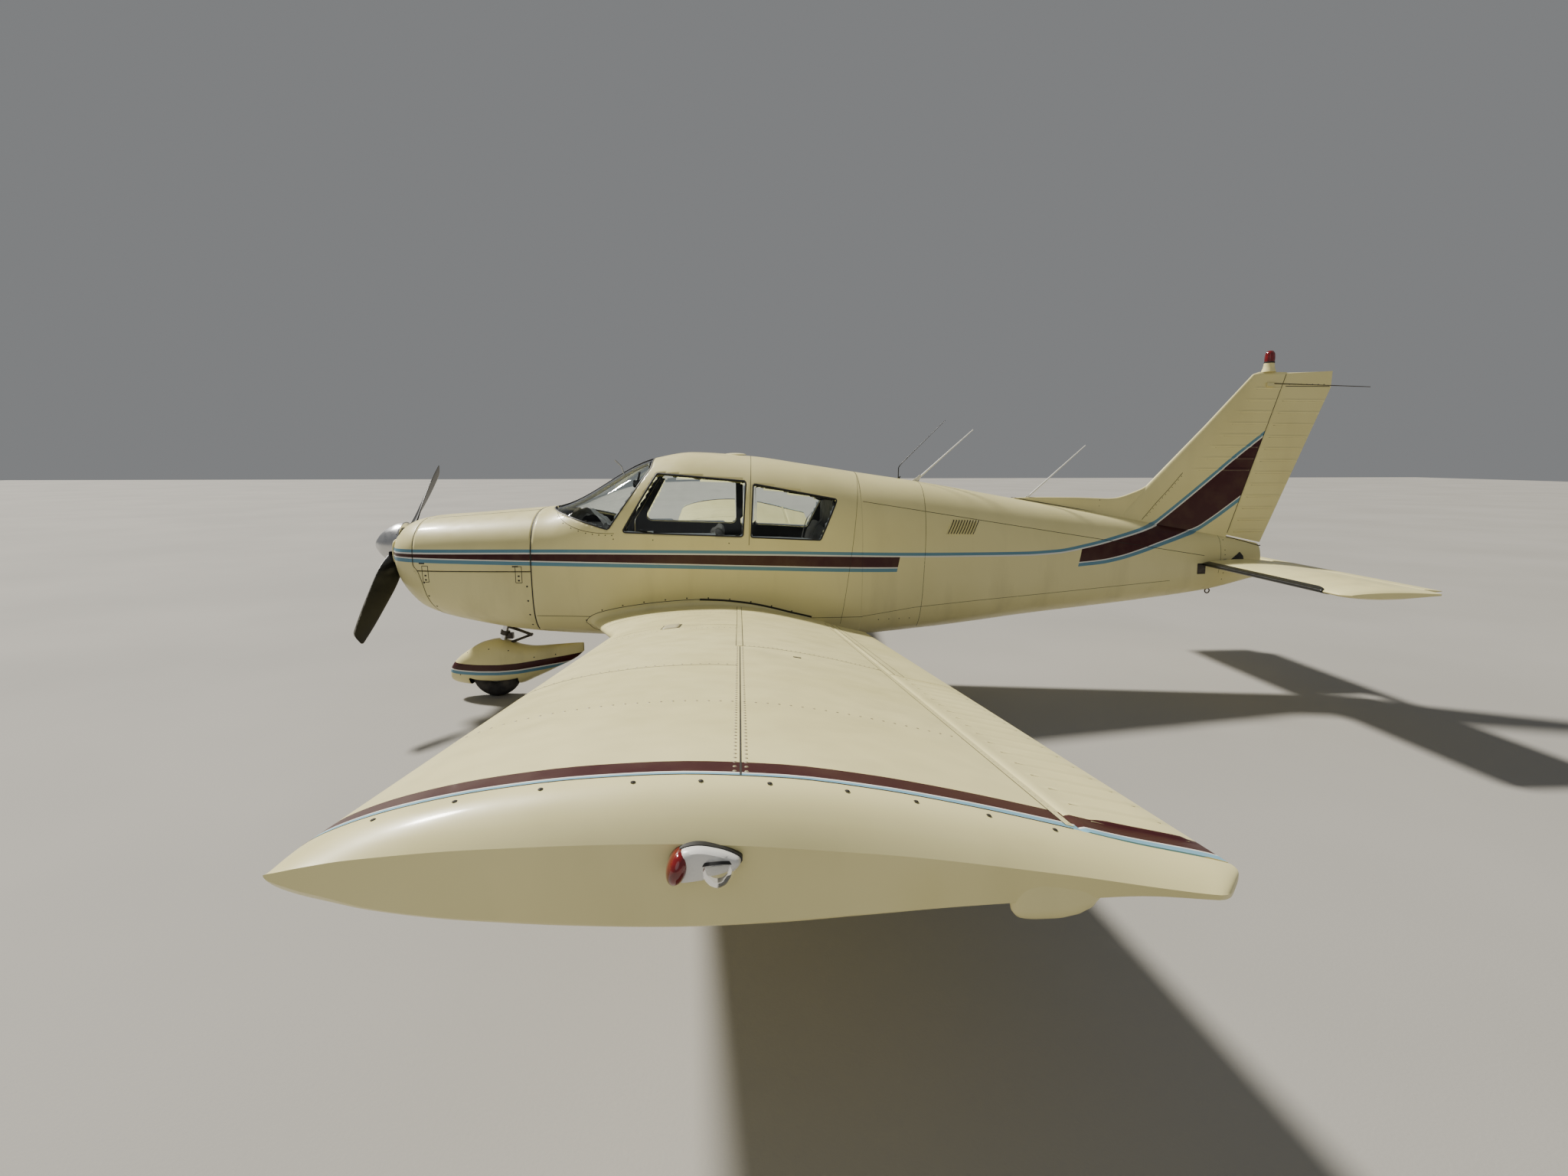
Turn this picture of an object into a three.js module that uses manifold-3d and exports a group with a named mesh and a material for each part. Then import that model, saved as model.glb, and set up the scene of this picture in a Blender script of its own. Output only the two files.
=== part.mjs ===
// A light aeroplane: low wing, single engine, fixed landing gear, parked on its wheels.
// Millimetres. +X points aft, +Y to the right wing, +Z up. Inside the group x = 0 is the
// wing's straight leading edge and z = 0 is the ground.
import * as THREE from 'three';
import { mergeVertices } from 'three/addons/utils/BufferGeometryUtils.js';
import Module from 'manifold-3d';

const wasm = await Module();
wasm.setup();

// Overall places
const SPINNER_TIP = -1893;
const TAIL_END = 5213;
const MIDDLE = (SPINNER_TIP + TAIL_END) / 2;
const FIT = 0.3;          // gap between pieces that touch
const CLEAR = 8;          // gap round moving pieces
const EDGE = 0.6;         // gap between a pane and its frame

// Fuselage sections: x, top, bottom, half width, height of the widest place,
// roundness above it and below it (2 is an ellipse, more is squarer)
const SECTIONS = [
  { x: -1640, top: 1262, bottom: 935, half: 300, wide: 1110, over: 2.3, under: 2.3 },
  { x: -1595, top: 1312, bottom: 835, half: 372, wide: 1100, over: 2.3, under: 2.4 },
  { x: -1535, top: 1340, bottom: 765, half: 415, wide: 1095, over: 2.4, under: 2.6 },
  { x: -1460, top: 1357, bottom: 708, half: 447, wide: 1090, over: 2.5, under: 2.8 },
  { x: -1160, top: 1380, bottom: 622, half: 500, wide: 1070, over: 2.6, under: 3.2 },
  { x: -650, top: 1420, bottom: 545, half: 541, wide: 1050, over: 2.6, under: 3.6 },
  { x: -589, top: 1425, bottom: 540, half: 544, wide: 1050, over: 2.6, under: 3.6 },
  { x: 148, top: 1771, bottom: 497, half: 560, wide: 1050, over: 2.5, under: 3.6 },
  { x: 406, top: 1811, bottom: 492, half: 560, wide: 1050, over: 2.5, under: 3.6 },
  { x: 825, top: 1784, bottom: 486, half: 560, wide: 1050, over: 2.5, under: 3.6 },
  { x: 1200, top: 1730, bottom: 480, half: 548, wide: 1040, over: 2.5, under: 3.6 },
  { x: 1590, top: 1669, bottom: 484, half: 505, wide: 1030, over: 2.4, under: 3.5 },
  { x: 2100, top: 1593, bottom: 515, half: 425, wide: 1020, over: 2.4, under: 3.3 },
  { x: 2910, top: 1450, bottom: 600, half: 318, wide: 1010, over: 2.3, under: 3.0 },
  { x: 3830, top: 1293, bottom: 690, half: 190, wide: 1000, over: 2.2, under: 2.7 },
  { x: 4380, top: 1198, bottom: 762, half: 125, wide: 990, over: 2.1, under: 2.4 },
  { x: 4750, top: 1118, bottom: 848, half: 60, wide: 990, over: 2.0, under: 2.0 },
];
const FIREWALL = -650;
const BOWL_SEAM = -1460;
const CABIN_END = 1590;
const REAR_WALL = 1400;
const TAIL_CONE_END = 4750;
const WALL = 35;
const SKIN = 15;
const COWL_SKIN = 10;
const FLOOR = 590;
const COWL_SPLIT = 1020;
const COWL_HINGE_Y = 170;

// Wing
const CHORD = 1600;
const LEADING_Z = 578;
const DIHEDRAL = 0.1208;
const INCIDENCE = 0.0426;
const WASHOUT = 0.0085;
const HALF_SPAN = 4570;
const TIP_SEAM = 4465;
const GLOVE_END = 1300;
const HINGE_AT = 0.842;
const FLAP_START = 590;
const FLAP_END = 2745;

// Landing gear
const NOSE_AXLE = { x: -1090, z: 180 };
const RAKE = 0.2515;
const MAIN_AXLE = { x: 795, z: 222 };
const MAIN_TRACK = 1524;
const LEG_Y = 1398;

// Propeller
const HUB = { x: -1700, z: 1152 };
const PROP_RADIUS = 940;
const PROP_TURN = THREE.MathUtils.degToRad(56);

// Tail
const RUDDER_AXIS = [new THREE.Vector3(4499, 0, 1177), new THREE.Vector3(4859, 0, 2393)];
const STABILATOR = { x: 4250, z: 975, chord: 720, tip: 1510, root: 150, pivot: 4440, tube: 32 };
const TAB_AT = 0.83;

const finishes = {
  cream: { color: 0xe6dfc0, roughness: 0.35, metalness: 0.05 },
  glass: { color: 0x9fb2b4, roughness: 0.05, metalness: 0 },
  alloy: { color: 0xb9bcbe, roughness: 0.3, metalness: 0.9 },
  steel: { color: 0x80858a, roughness: 0.4, metalness: 0.9 },
  engine: { color: 0x4a4d50, roughness: 0.7, metalness: 0.5 },
  black: { color: 0x161616, roughness: 0.55, metalness: 0.1 },
  tyre: { color: 0x1b1b1c, roughness: 0.9, metalness: 0 },
  cloth: { color: 0x6e6455, roughness: 0.95, metalness: 0 },
  red: { color: 0xa81410, roughness: 0.15, metalness: 0 },
  white: { color: 0xe9e9e4, roughness: 0.4, metalness: 0 },
};

const aircraft = new THREE.Group();
aircraft.position.set(-MIDDLE, 0, 0);

// Solids

// The geometry's places and faces alone, with doubled points merged
function welded(geometry) {
  const bare = geometry.clone();
  bare.deleteAttribute('normal');
  bare.deleteAttribute('uv');
  return mergeVertices(bare, 1e-3);
}

function solidFrom(geometry) {
  const { attributes, index } = welded(geometry);
  return new wasm.Manifold(new wasm.Mesh({
    numProp: 3,
    vertProperties: new Float32Array(attributes.position.array),
    triVerts: new Uint32Array(index.array),
  }));
}

// A closed skin over rings that hold the same number of points
function loft(rings) {
  const count = rings[0].length;
  const points = rings.flat();
  const faces = [];
  for (let r = 0; r + 1 < rings.length; r += 1) {
    for (let i = 0; i < count; i += 1) {
      const a = r * count + i;
      const b = r * count + (i + 1) % count;
      faces.push([a, b, b + count], [a, b + count, a + count]);
    }
  }
  const last = (rings.length - 1) * count;
  for (const [a, b, c] of capFaces(rings[0])) faces.push([c, b, a]);
  for (const [a, b, c] of capFaces(rings[rings.length - 1])) faces.push([last + a, last + b, last + c]);
  const volume = faces.reduce((sum, [a, b, c]) => (
    sum + points[a].dot(new THREE.Vector3().crossVectors(points[b], points[c]))), 0);
  const order = volume < 0 ? faces.map(([a, b, c]) => [a, c, b]) : faces;
  const geometry = new THREE.BufferGeometry().setFromPoints(points);
  geometry.setIndex(order.flat());
  return solidFrom(geometry);
}

// Triangles that close a flat ring, counted the way the ring runs
function capFaces(ring) {
  const normal = new THREE.Vector3();
  ring.forEach((p, i) => {
    const q = ring[(i + 1) % ring.length];
    normal.x += (p.y - q.y) * (p.z + q.z);
    normal.y += (p.z - q.z) * (p.x + q.x);
    normal.z += (p.x - q.x) * (p.y + q.y);
  });
  const up = new THREE.Vector3(0, 0, 1);
  const flat = new THREE.Quaternion().setFromUnitVectors(normal.normalize(), up);
  const outline = ring.map((p) => {
    const q = p.clone().applyQuaternion(flat);
    return new THREE.Vector2(q.x, q.y);
  });
  return THREE.ShapeUtils.triangulateShape(outline, []);
}

// An outline in the side view, given as [x, z], between two values of y
function sidePrism(outline, from, to) {
  return loft([from, to].map((y) => outline.map(([x, z]) => new THREE.Vector3(x, y, z))));
}

// An outline in the front view, given as [y, z], between two values of x
function frontPrism(outline, from, to) {
  return loft([from, to].map((x) => outline.map(([y, z]) => new THREE.Vector3(x, y, z))));
}

function box(x, y, z) {
  const geometry = new THREE.BoxGeometry(x[1] - x[0], y[1] - y[0], z[1] - z[0]);
  geometry.translate((x[0] + x[1]) / 2, (y[0] + y[1]) / 2, (z[0] + z[1]) / 2);
  return solidFrom(geometry);
}

// A round bar from one point to another, tapered when the end radius differs
function bar(from, to, radius, endRadius = radius, sides = 20) {
  const length = from.distanceTo(to);
  const geometry = new THREE.CylinderGeometry(endRadius, radius, length, sides);
  const direction = to.clone().sub(from).normalize();
  const turn = new THREE.Quaternion().setFromUnitVectors(new THREE.Vector3(0, 1, 0), direction);
  geometry.applyQuaternion(turn);
  geometry.translate((from.x + to.x) / 2, (from.y + to.y) / 2, (from.z + to.z) / 2);
  return solidFrom(geometry);
}

// A flat bar of rectangular section from one point to another, its width along Y
function flatBar(from, to, width, depth) {
  const direction = to.clone().sub(from).normalize();
  const across = new THREE.Vector3(0, 1, 0);
  const side = new THREE.Vector3().crossVectors(direction, across).normalize();
  const ring = (p) => [[-1, -1], [1, -1], [1, 1], [-1, 1]].map(([u, v]) => (
    p.clone().addScaledVector(across, u * width / 2).addScaledVector(side, v * depth / 2)));
  return loft([ring(from), ring(to)]);
}

// A turned shape: profile points are [radius, distance along the axis].
// Where the profile runs the other way round, its faces are turned over.
function turned(profile, centre, axis, sides = 32) {
  const points = profile.map(([r, s]) => new THREE.Vector2(r, s));
  const geometry = new THREE.LatheGeometry(points, sides);
  geometry.applyQuaternion(new THREE.Quaternion().setFromUnitVectors(new THREE.Vector3(0, 1, 0), axis));
  geometry.translate(centre.x, centre.y, centre.z);
  const made = solidFrom(geometry);
  if (made.volume() > 0) return made;
  const over = welded(geometry);
  const order = [];
  for (let i = 0; i < over.index.count; i += 3) {
    order.push(over.index.getX(i), over.index.getX(i + 2), over.index.getX(i + 1));
  }
  over.setIndex(order);
  return solidFrom(over);
}

function point(x, y, z) {
  return new THREE.Vector3(x, y, z);
}

// Moves each side of a convex outline inwards by a distance
function shrink(outline, distance) {
  const area = outline.reduce((sum, [x, z], i) => {
    const [u, w] = outline[(i + 1) % outline.length];
    return sum + x * w - u * z;
  }, 0);
  const lines = outline.map(([x, z], i) => {
    const [u, w] = outline[(i + 1) % outline.length];
    const length = Math.hypot(u - x, w - z) * Math.sign(area);
    const nx = -(w - z) / length;
    const nz = (u - x) / length;
    return { nx, nz, d: nx * x + nz * z + distance };
  });
  return lines.map((b, i) => {
    const a = lines[(i + lines.length - 1) % lines.length];
    const det = a.nx * b.nz - a.nz * b.nx;
    return [(a.d * b.nz - b.d * a.nz) / det, (a.nx * b.d - b.nx * a.d) / det];
  });
}

function place(name, solid, finish) {
  const mesh = solid.getMesh();
  const geometry = new THREE.BufferGeometry();
  const places = new Float32Array(mesh.vertProperties);
  geometry.setAttribute('position', new THREE.BufferAttribute(places, 3));
  geometry.setIndex(new THREE.BufferAttribute(new Uint32Array(mesh.triVerts), 1));
  geometry.computeVertexNormals();
  const node = new THREE.Mesh(geometry, new THREE.MeshStandardMaterial(finishes[finish]));
  node.name = name;
  aircraft.add(node);
}

// Fuselage

function sectionAt(x) {
  const after = SECTIONS.findIndex((s) => s.x >= x);
  const b = SECTIONS[Math.max(after, 1)];
  const a = SECTIONS[Math.max(after, 1) - 1];
  const t = (x - a.x) / (b.x - a.x);
  const mix = (key) => THREE.MathUtils.lerp(a[key], b[key], t);
  return Object.fromEntries(Object.keys(a).map((key) => [key, mix(key)]));
}

function fuselageRing(x, inset, sides = 36) {
  const s = sectionAt(x);
  const half = s.half - inset;
  return Array.from({ length: sides }, (_, i) => {
    const angle = 2 * Math.PI * i / sides;
    const c = Math.cos(angle);
    const d = Math.sin(angle);
    const power = 2 / (d >= 0 ? s.over : s.under);
    const rise = d >= 0 ? s.top - inset - s.wide : s.wide - s.bottom - inset;
    const y = half * Math.sign(c) * Math.abs(c) ** power;
    return point(x, y, s.wide + rise * Math.sign(d) * Math.abs(d) ** power);
  });
}

function fuselage(from, to, inset) {
  const between = SECTIONS.map((s) => s.x).filter((x) => x > from + 1 && x < to - 1);
  return loft([from, ...between, to].map((x) => fuselageRing(x, inset)));
}

// Height of the outer skin above a place in the plan view
function skinHeight(x, y) {
  const s = sectionAt(x);
  return s.wide + (s.top - s.wide) * (1 - (Math.abs(y) / s.half) ** s.over) ** (1 / s.over);
}

const FAR = 900;
const WINDSHIELD = [[-585, 1430], [-136, 1297], [136, 1703], [152, 1840], [-585, 1840]];
const FRONT_WINDOW = [[-43, 1280], [765, 1247], [789, 1615], [183, 1670]];
const REAR_WINDOW = [[819, 1243], [1293, 1218], [1417, 1489], [840, 1597]];
const DOOR_WINDOW = [[-32, 1280], [722, 1249], [722, 1620], [186, 1670]];
const REAR_WINDOW_RIGHT = [[872, 1241], [1293, 1218], [1417, 1489], [872, 1592]];
const DOOR = {
  front: -100,
  rear: 815,
  low: 930,
  knee: 1285,
  topFront: [165, 1712],
  topRear: [830, 1660],
  lean: 0.3,
};
const POST = 20;
const PANE = { outside: 8, inside: 14 };

// The door's outline; its rear side leans forward going inboard, so that the door swings clear
function doorBlock(gap) {
  const ring = (y) => {
    const rear = DOOR.rear + DOOR.lean * (y - 550) - gap;
    return [
      point(DOOR.front + gap, y, DOOR.low + gap),
      point(rear, y, DOOR.low + gap),
      point(rear, y, DOOR.topRear[1] - 1.8 * gap),
      point(DOOR.topFront[0] + gap, y, DOOR.topFront[1] - 1.8 * gap),
      point(DOOR.front + gap, y, DOOR.knee),
    ];
  };
  return loft([ring(150), ring(750)]);
}

function windshieldBlock(gap) {
  const outline = gap > 0 ? shrink(WINDSHIELD, gap) : WINDSHIELD;
  const post = box([-800, 300], [-POST - gap, POST + gap], [1200, 1900]);
  return sidePrism(outline, -FAR, FAR).subtract(post);
}

const paneShell = fuselage(FIREWALL + 1, CABIN_END - 1, PANE.outside)
  .subtract(fuselage(FIREWALL + 2, CABIN_END - 2, PANE.inside));

function buildCabin() {
  const outer = fuselage(FIREWALL, CABIN_END, 0);
  const cavity = fuselage(FIREWALL + WALL, REAR_WALL, WALL).subtract(
    box([-900, 1700], [-FAR, FAR], [0, FLOOR]));
  const shell = outer.subtract(cavity)
    .subtract(windshieldBlock(0))
    .subtract(sidePrism(FRONT_WINDOW, -FAR, -100))
    .subtract(sidePrism(REAR_WINDOW, -FAR, -100))
    .subtract(sidePrism(REAR_WINDOW_RIGHT, 100, FAR))
    .subtract(doorBlock(0))
    .add(doorKnuckles());
  place('cabin_shell', shell, 'cream');
  const leftPane = (outline) => paneShell.intersect(sidePrism(shrink(outline, EDGE), -FAR, -100));
  const rightPane = (outline) => paneShell.intersect(sidePrism(shrink(outline, EDGE), 100, FAR));
  const windshield = paneShell.intersect(windshieldBlock(EDGE));
  place('windshield_left', windshield.intersect(box([-800, 400], [-FAR, 0], [1000, 2000])), 'glass');
  place('windshield_right', windshield.intersect(box([-800, 400], [0, FAR], [1000, 2000])), 'glass');
  place('window_front_left', leftPane(FRONT_WINDOW), 'glass');
  place('window_rear_left', leftPane(REAR_WINDOW), 'glass');
  place('window_rear_right', rightPane(REAR_WINDOW_RIGHT), 'glass');
  const door = outer.subtract(fuselage(FIREWALL + WALL, REAR_WALL, WALL))
    .intersect(doorBlock(CLEAR))
    .subtract(sidePrism(DOOR_WINDOW, 100, FAR));
  place('cabin_door', door.add(doorHinges()), 'cream');
  place('door_window', rightPane(DOOR_WINDOW), 'glass');
}

// Two hinge arms that reach from the door's front edge to the pins
const DOOR_AXIS = { x: -108, y: 572 };
const HINGE_HEIGHTS = [1010, 1200];
function doorHinges() {
  const { x, y } = DOOR_AXIS;
  const arm = (z) => bar(point(x, y, z - 25), point(x, y, z + 25), 8)
    .add(box([x, x + 40], [y - 8, y + 6], [z - 20, z + 20]))
    .add(box([x + 18, x + 40], [y - 30, y + 6], [z - 20, z + 20]));
  return HINGE_HEIGHTS.map(arm).reduce((a, b) => a.add(b));
}

// The knuckles on the cabin's side, just above and below each arm
function doorKnuckles() {
  const { x, y } = DOOR_AXIS;
  const knuckle = (z) => bar(point(x, y, z), point(x, y, z + 20), 8)
    .add(box([x - 26, x], [y - 30, y + 6], [z, z + 20]));
  const levels = HINGE_HEIGHTS.flatMap((z) => [z - 45 - FIT, z + 25 + FIT]);
  return levels.map(knuckle).reduce((a, b) => a.add(b));
}

function buildTailCone() {
  const outer = fuselage(CABIN_END + FIT, TAIL_CONE_END, 0);
  const hollow = fuselage(CABIN_END, 3900, SKIN);
  const { pivot, z, tube } = STABILATOR;
  const tubeHole = bar(point(pivot, -300, z), point(pivot, 300, z), tube + 1);
  const tieRing = turned([[12, -5], [24, -5], [24, 5], [12, 5], [12, -5]],
    point(4395, 0, 746), point(0, 1, 0), 24);
  place('tail_cone', outer.subtract(hollow).subtract(tubeHole).add(tieRing), 'cream');
}

// Cowling, engine and propeller

const INLET = { y: 212, z: 1125, radius: 62 };

function buildCowling() {
  const bowl = fuselage(-1640, BOWL_SEAM, 0).subtract(fuselage(-1628, BOWL_SEAM + 5, COWL_SKIN));
  const shaftHole = bar(point(-1700, 0, HUB.z), point(-1500, 0, HUB.z), 120, 120, 32);
  const inlet = (side) => frontPrism(Array.from({ length: 20 }, (_, i) => {
    const angle = 2 * Math.PI * i / 20;
    const y = side * INLET.y + INLET.radius * Math.cos(angle);
    return [y, INLET.z + INLET.radius * Math.sin(angle)];
  }), -1700, -1540);
  place('nose_cowl', bowl.subtract(shaftHole).subtract(inlet(-1)).subtract(inlet(1)), 'cream');

  const from = BOWL_SEAM + FIT;
  const to = FIREWALL - FIT;
  const shell = fuselage(from, to, 0).subtract(fuselage(from - 1, to + 1, COWL_SKIN));
  const noseHole = box([-1095, -915], [-75, 75], [400, 800]);
  const outlet = box([-800, -600], [-150, 150], [400, 640]);
  const lower = shell.intersect(box([from, to], [-FAR, FAR], [0, COWL_SPLIT - 3]));
  place('lower_cowl', lower.subtract(noseHole).subtract(outlet), 'cream');

  const pinZ = (x) => skinHeight(x, COWL_HINGE_Y) - 3;
  const pinEnds = (side) => [from + CLEAR, to - CLEAR]
    .map((x) => point(x, side * COWL_HINGE_Y, pinZ(x)));
  const strip = shell.intersect(box([from, to], [-COWL_HINGE_Y, COWL_HINGE_Y], [1200, 1500]));
  const pins = [-1, 1].map((side) => bar(...pinEnds(side), 6, 6, 12));
  place('cowl_top', strip.add(pins[0]).add(pins[1]), 'cream');

  for (const [name, side] of [['cowl_door_left', -1], ['cowl_door_right', 1]]) {
    const y = [COWL_HINGE_Y + FIT, FAR].map((v) => side * v).sort((a, b) => a - b);
    const [start, end] = pinEnds(side);
    const sleeve = bar(start.clone().lerp(end, -0.1), start.clone().lerp(end, 1.1), 6.5, 6.5, 12);
    const panel = shell.intersect(box([from + CLEAR, to - CLEAR], y, [COWL_SPLIT + 3, 1500]));
    place(name, panel.subtract(sleeve), 'cream');
  }
}

function buildEngine() {
  const block = box([-1380, -770], [-330, 330], [870, 1235]);
  const rear = box([-780, FIREWALL - FIT], [-120, 120], [950, 1150]);
  const shaft = bar(point(-1350, 0, HUB.z), point(HUB.x + 45, 0, HUB.z), 45);
  place('engine_block', block.add(rear).add(shaft), 'engine');
}

// Blade sections: radius, chord, thickness
const BLADE = [
  { r: 40, chord: 80, thick: 60 },
  { r: 190, chord: 128, thick: 42 },
  { r: 420, chord: 165, thick: 26 },
  { r: 680, chord: 150, thick: 16 },
  { r: 880, chord: 112, thick: 9 },
  { r: PROP_RADIUS, chord: 56, thick: 5 },
];
const PROP_PITCH = 1473;

function blade(turn) {
  const radial = point(0, Math.sin(turn), Math.cos(turn));
  const ahead = point(0, Math.cos(turn), -Math.sin(turn));
  const rings = BLADE.map(({ r, chord, thick }) => {
    const pitch = Math.atan2(PROP_PITCH, 2 * Math.PI * Math.max(r, 190));
    const along = ahead.clone().multiplyScalar(Math.cos(pitch)).add(point(-Math.sin(pitch), 0, 0));
    const up = new THREE.Vector3().crossVectors(radial, along);
    return Array.from({ length: 12 }, (_, i) => {
      const angle = 2 * Math.PI * i / 12;
      return point(HUB.x, 0, HUB.z).addScaledVector(radial, r)
        .addScaledVector(along, chord / 2 * Math.cos(angle))
        .addScaledVector(up, thick / 2 * Math.sin(angle));
    });
  });
  return loft(rings);
}

function buildPropeller() {
  const back = HUB.x + 45 - FIT;
  const hub = bar(point(back, 0, HUB.z), point(HUB.x - 45, 0, HUB.z), 72, 72, 24);
  const plate = bar(point(back, 0, HUB.z), point(back - 6, 0, HUB.z), 158, 158, 32);
  const blades = hub.add(plate).add(blade(PROP_TURN)).add(blade(PROP_TURN + Math.PI));
  place('propeller_blades', blades, 'black');

  const length = HUB.x - SPINNER_TIP;
  const end = length + 32;
  const profile = [[0, 0], [48, 22], [92, 62], [130, 118], [153, 172], [162, end], [0, end]];
  const cone = turned(profile, point(SPINNER_TIP, 0, HUB.z), point(1, 0, 0), 36);
  const radial = point(0, Math.sin(PROP_TURN), Math.cos(PROP_TURN));
  const along = (distance) => point(HUB.x, 0, HUB.z).addScaledVector(radial, distance);
  const slot = flatSlot(along(-250), along(250));
  const hubRoom = bar(point(HUB.x + 100, 0, HUB.z), point(HUB.x - 46, 0, HUB.z), 73, 73, 24);
  const plateRoom = box([back - 6 - FIT, back + 50], [-400, 400], [700, 1600]);
  place('spinner', cone.subtract(slot).subtract(hubRoom).subtract(plateRoom), 'alloy');
}

// The room round both blade roots, a block along the blades
function flatSlot(from, to) {
  const direction = to.clone().sub(from).normalize();
  const ahead = new THREE.Vector3().crossVectors(point(1, 0, 0), direction);
  const ring = (p) => [[-70, -64], [90, -64], [90, 64], [-70, 64]].map(([u, v]) => (
    p.clone().addScaledVector(point(1, 0, 0), u).addScaledVector(ahead, v)));
  return loft([ring(from), ring(to)]);
}

// Cabin fittings

// Side views, as [x, z]; those of the seats count their heights from their own feet
const PANEL = [[-560, 1290], [-560, 1180], [-330, 1180], [-250, 985], [-150, 985], [-150, 1262]];
const SEAT = [[40, 0], [500, 0], [640, 640], [560, 660], [440, 150], [50, 165]];
const BENCH = [[900, 0], [1290, 0], [1385, 700], [1300, 720], [1210, 300], [900, 310]];
const SEAT_PLACE = { y: 255, half: 215, frameHalf: 190, frameLow: 150, frameTop: 170 };
const BENCH_HALF = 430;
const YOKE = { y: 250, z: 1120, x: -30, half: 120, hornTop: 1215 };

const raised = (outline, base) => outline.map(([x, z]) => [x, z + base]);

function buildCabinFittings() {
  const room = fuselage(FIREWALL + WALL, REAR_WALL, WALL + FIT);
  let panel = sidePrism(PANEL, -FAR, FAR).intersect(room);
  for (const side of [-1, 1]) {
    const y = side * YOKE.y;
    const at = (x, across, z = YOKE.z) => point(x, y + across, z);
    panel = panel.add(bar(at(-160, 0), at(YOKE.x + 10, 0), 12));
    panel = panel.add(bar(at(YOKE.x, -YOKE.half), at(YOKE.x, YOKE.half), 11));
    for (const end of [-1, 1]) {
      const foot = at(YOKE.x, end * (YOKE.half - 5), YOKE.z - 10);
      panel = panel.add(bar(foot, at(YOKE.x, end * (YOKE.half + 15), YOKE.hornTop), 12));
    }
  }
  place('instrument_panel', panel, 'black');

  const { half, frameHalf, frameLow, frameTop } = SEAT_PLACE;
  for (const [suffix, side] of [['left', -1], ['right', 1]]) {
    const y = side * SEAT_PLACE.y;
    let frame = box([60, 520], [y - frameHalf, y + frameHalf], [FLOOR + frameLow, FLOOR + frameTop]);
    for (const x of [80, 480]) {
      for (const legY of [y - 110, y + 110]) {
        const leg = box([x, x + 24], [legY - 12, legY + 12], [FLOOR + FIT, FLOOR + frameLow + 10]);
        frame = frame.add(leg);
      }
    }
    place(`seat_frame_${suffix}`, frame, 'steel');
    const outline = raised(SEAT, FLOOR + frameTop + FIT);
    place(`seat_${suffix}`, sidePrism(outline, y - half, y + half), 'cloth');
  }
  const bench = sidePrism(raised(BENCH, FLOOR + FIT), -BENCH_HALF, BENCH_HALF);
  place('rear_bench', bench.intersect(fuselage(FIREWALL + WALL, REAR_WALL, WALL + 12)), 'cloth');
}

// Hinges of the control surfaces: a plate on the carrier reaches into a slot of the surface.
// at is a place on the axis, back points aft, radius is the surface's nose and reach the plate's.
const PIN = 6;
const THIN_PIN = 4;
const PLATE = { thick: 10, depth: 24 };
const SLOT = 22;

function hinge({ at, axis, back, radius, reach, pin = PIN }) {
  const along = axis.clone().normalize();
  const up = new THREE.Vector3().crossVectors(along, back).normalize();
  const span = (length, r, sides) => {
    const end = (half) => at.clone().addScaledVector(along, half);
    return bar(end(-length / 2), end(length / 2), r, r, sides);
  };
  const depth = Math.min(PLATE.depth, radius * 1.2);
  const ring = (distance) => [[-1, -1], [1, -1], [1, 1], [-1, 1]].map(([u, v]) => (
    at.clone().addScaledVector(back, distance)
      .addScaledVector(along, u * PLATE.thick / 2).addScaledVector(up, v * depth / 2)));
  return {
    room: span(SLOT, radius + 2, 20).add(span(66, pin + 0.6, 10)),
    bracket: loft([ring(-reach), ring(Math.min(8, radius / 2))]).add(span(62, pin, 10)),
  };
}

// Takes the hinges' room out of the surface and adds their brackets to the carrier
function hang(surface, carrier, hinges) {
  return {
    surface: hinges.reduce((solid, { room }) => solid.subtract(room), surface),
    carrier: hinges.reduce((solid, { bracket }) => solid.add(bracket), carrier),
  };
}

// The wing's laminar section, 15 % thick: place along the chord, half thickness, as shares of it
const AIRFOIL = [
  { c: 0, half: 0 },
  { c: 0.0125, half: 0.0170 },
  { c: 0.05, half: 0.0325 },
  { c: 0.1, half: 0.0456 },
  { c: 0.2, half: 0.0622 },
  { c: 0.3, half: 0.0715 },
  { c: 0.4, half: 0.0750 },
  { c: 0.5, half: 0.0717 },
  { c: 0.6, half: 0.0612 },
  { c: 0.7, half: 0.0460 },
  { c: 0.8, half: 0.0286 },
  { c: 0.9, half: 0.0114 },
  { c: 1, half: 0.0015 },
];
const LIFT = 0.4;

function halfThickness(c) {
  const after = Math.max(1, AIRFOIL.findIndex((row) => row.c >= c));
  const [a, b] = [AIRFOIL[after - 1], AIRFOIL[after]];
  return THREE.MathUtils.mapLinear(c, a.c, b.c, a.half, b.half);
}

// The section's mean line, for an even load along the chord
function camber(c) {
  const part = (v) => (v > 0 ? v * Math.log(v) : 0);
  return -LIFT / (4 * Math.PI) * (part(c) + part(1 - c));
}

// A point of the wing at a distance out, share of the chord and height off the chord line.
// Its sections stand square to the sloping wing.
function wingPoint(side, y, c, up, lead = 0, chord = CHORD) {
  const turn = INCIDENCE - WASHOUT * y / HALF_SPAN;
  const along = lead + c * chord;
  const x = along * Math.cos(turn) + up * Math.sin(turn);
  const rise = up * Math.cos(turn) - along * Math.sin(turn);
  const slope = Math.atan(DIHEDRAL);
  const z = LEADING_Z + DIHEDRAL * y + rise * Math.cos(slope);
  return point(x, side * (y - rise * Math.sin(slope)), z);
}

const STEPS = [0, 0.0125, 0.05, 0.1, 0.2, 0.3, 0.4, 0.5, 0.6, 0.7, HINGE_AT, 0.92, 1];

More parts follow.
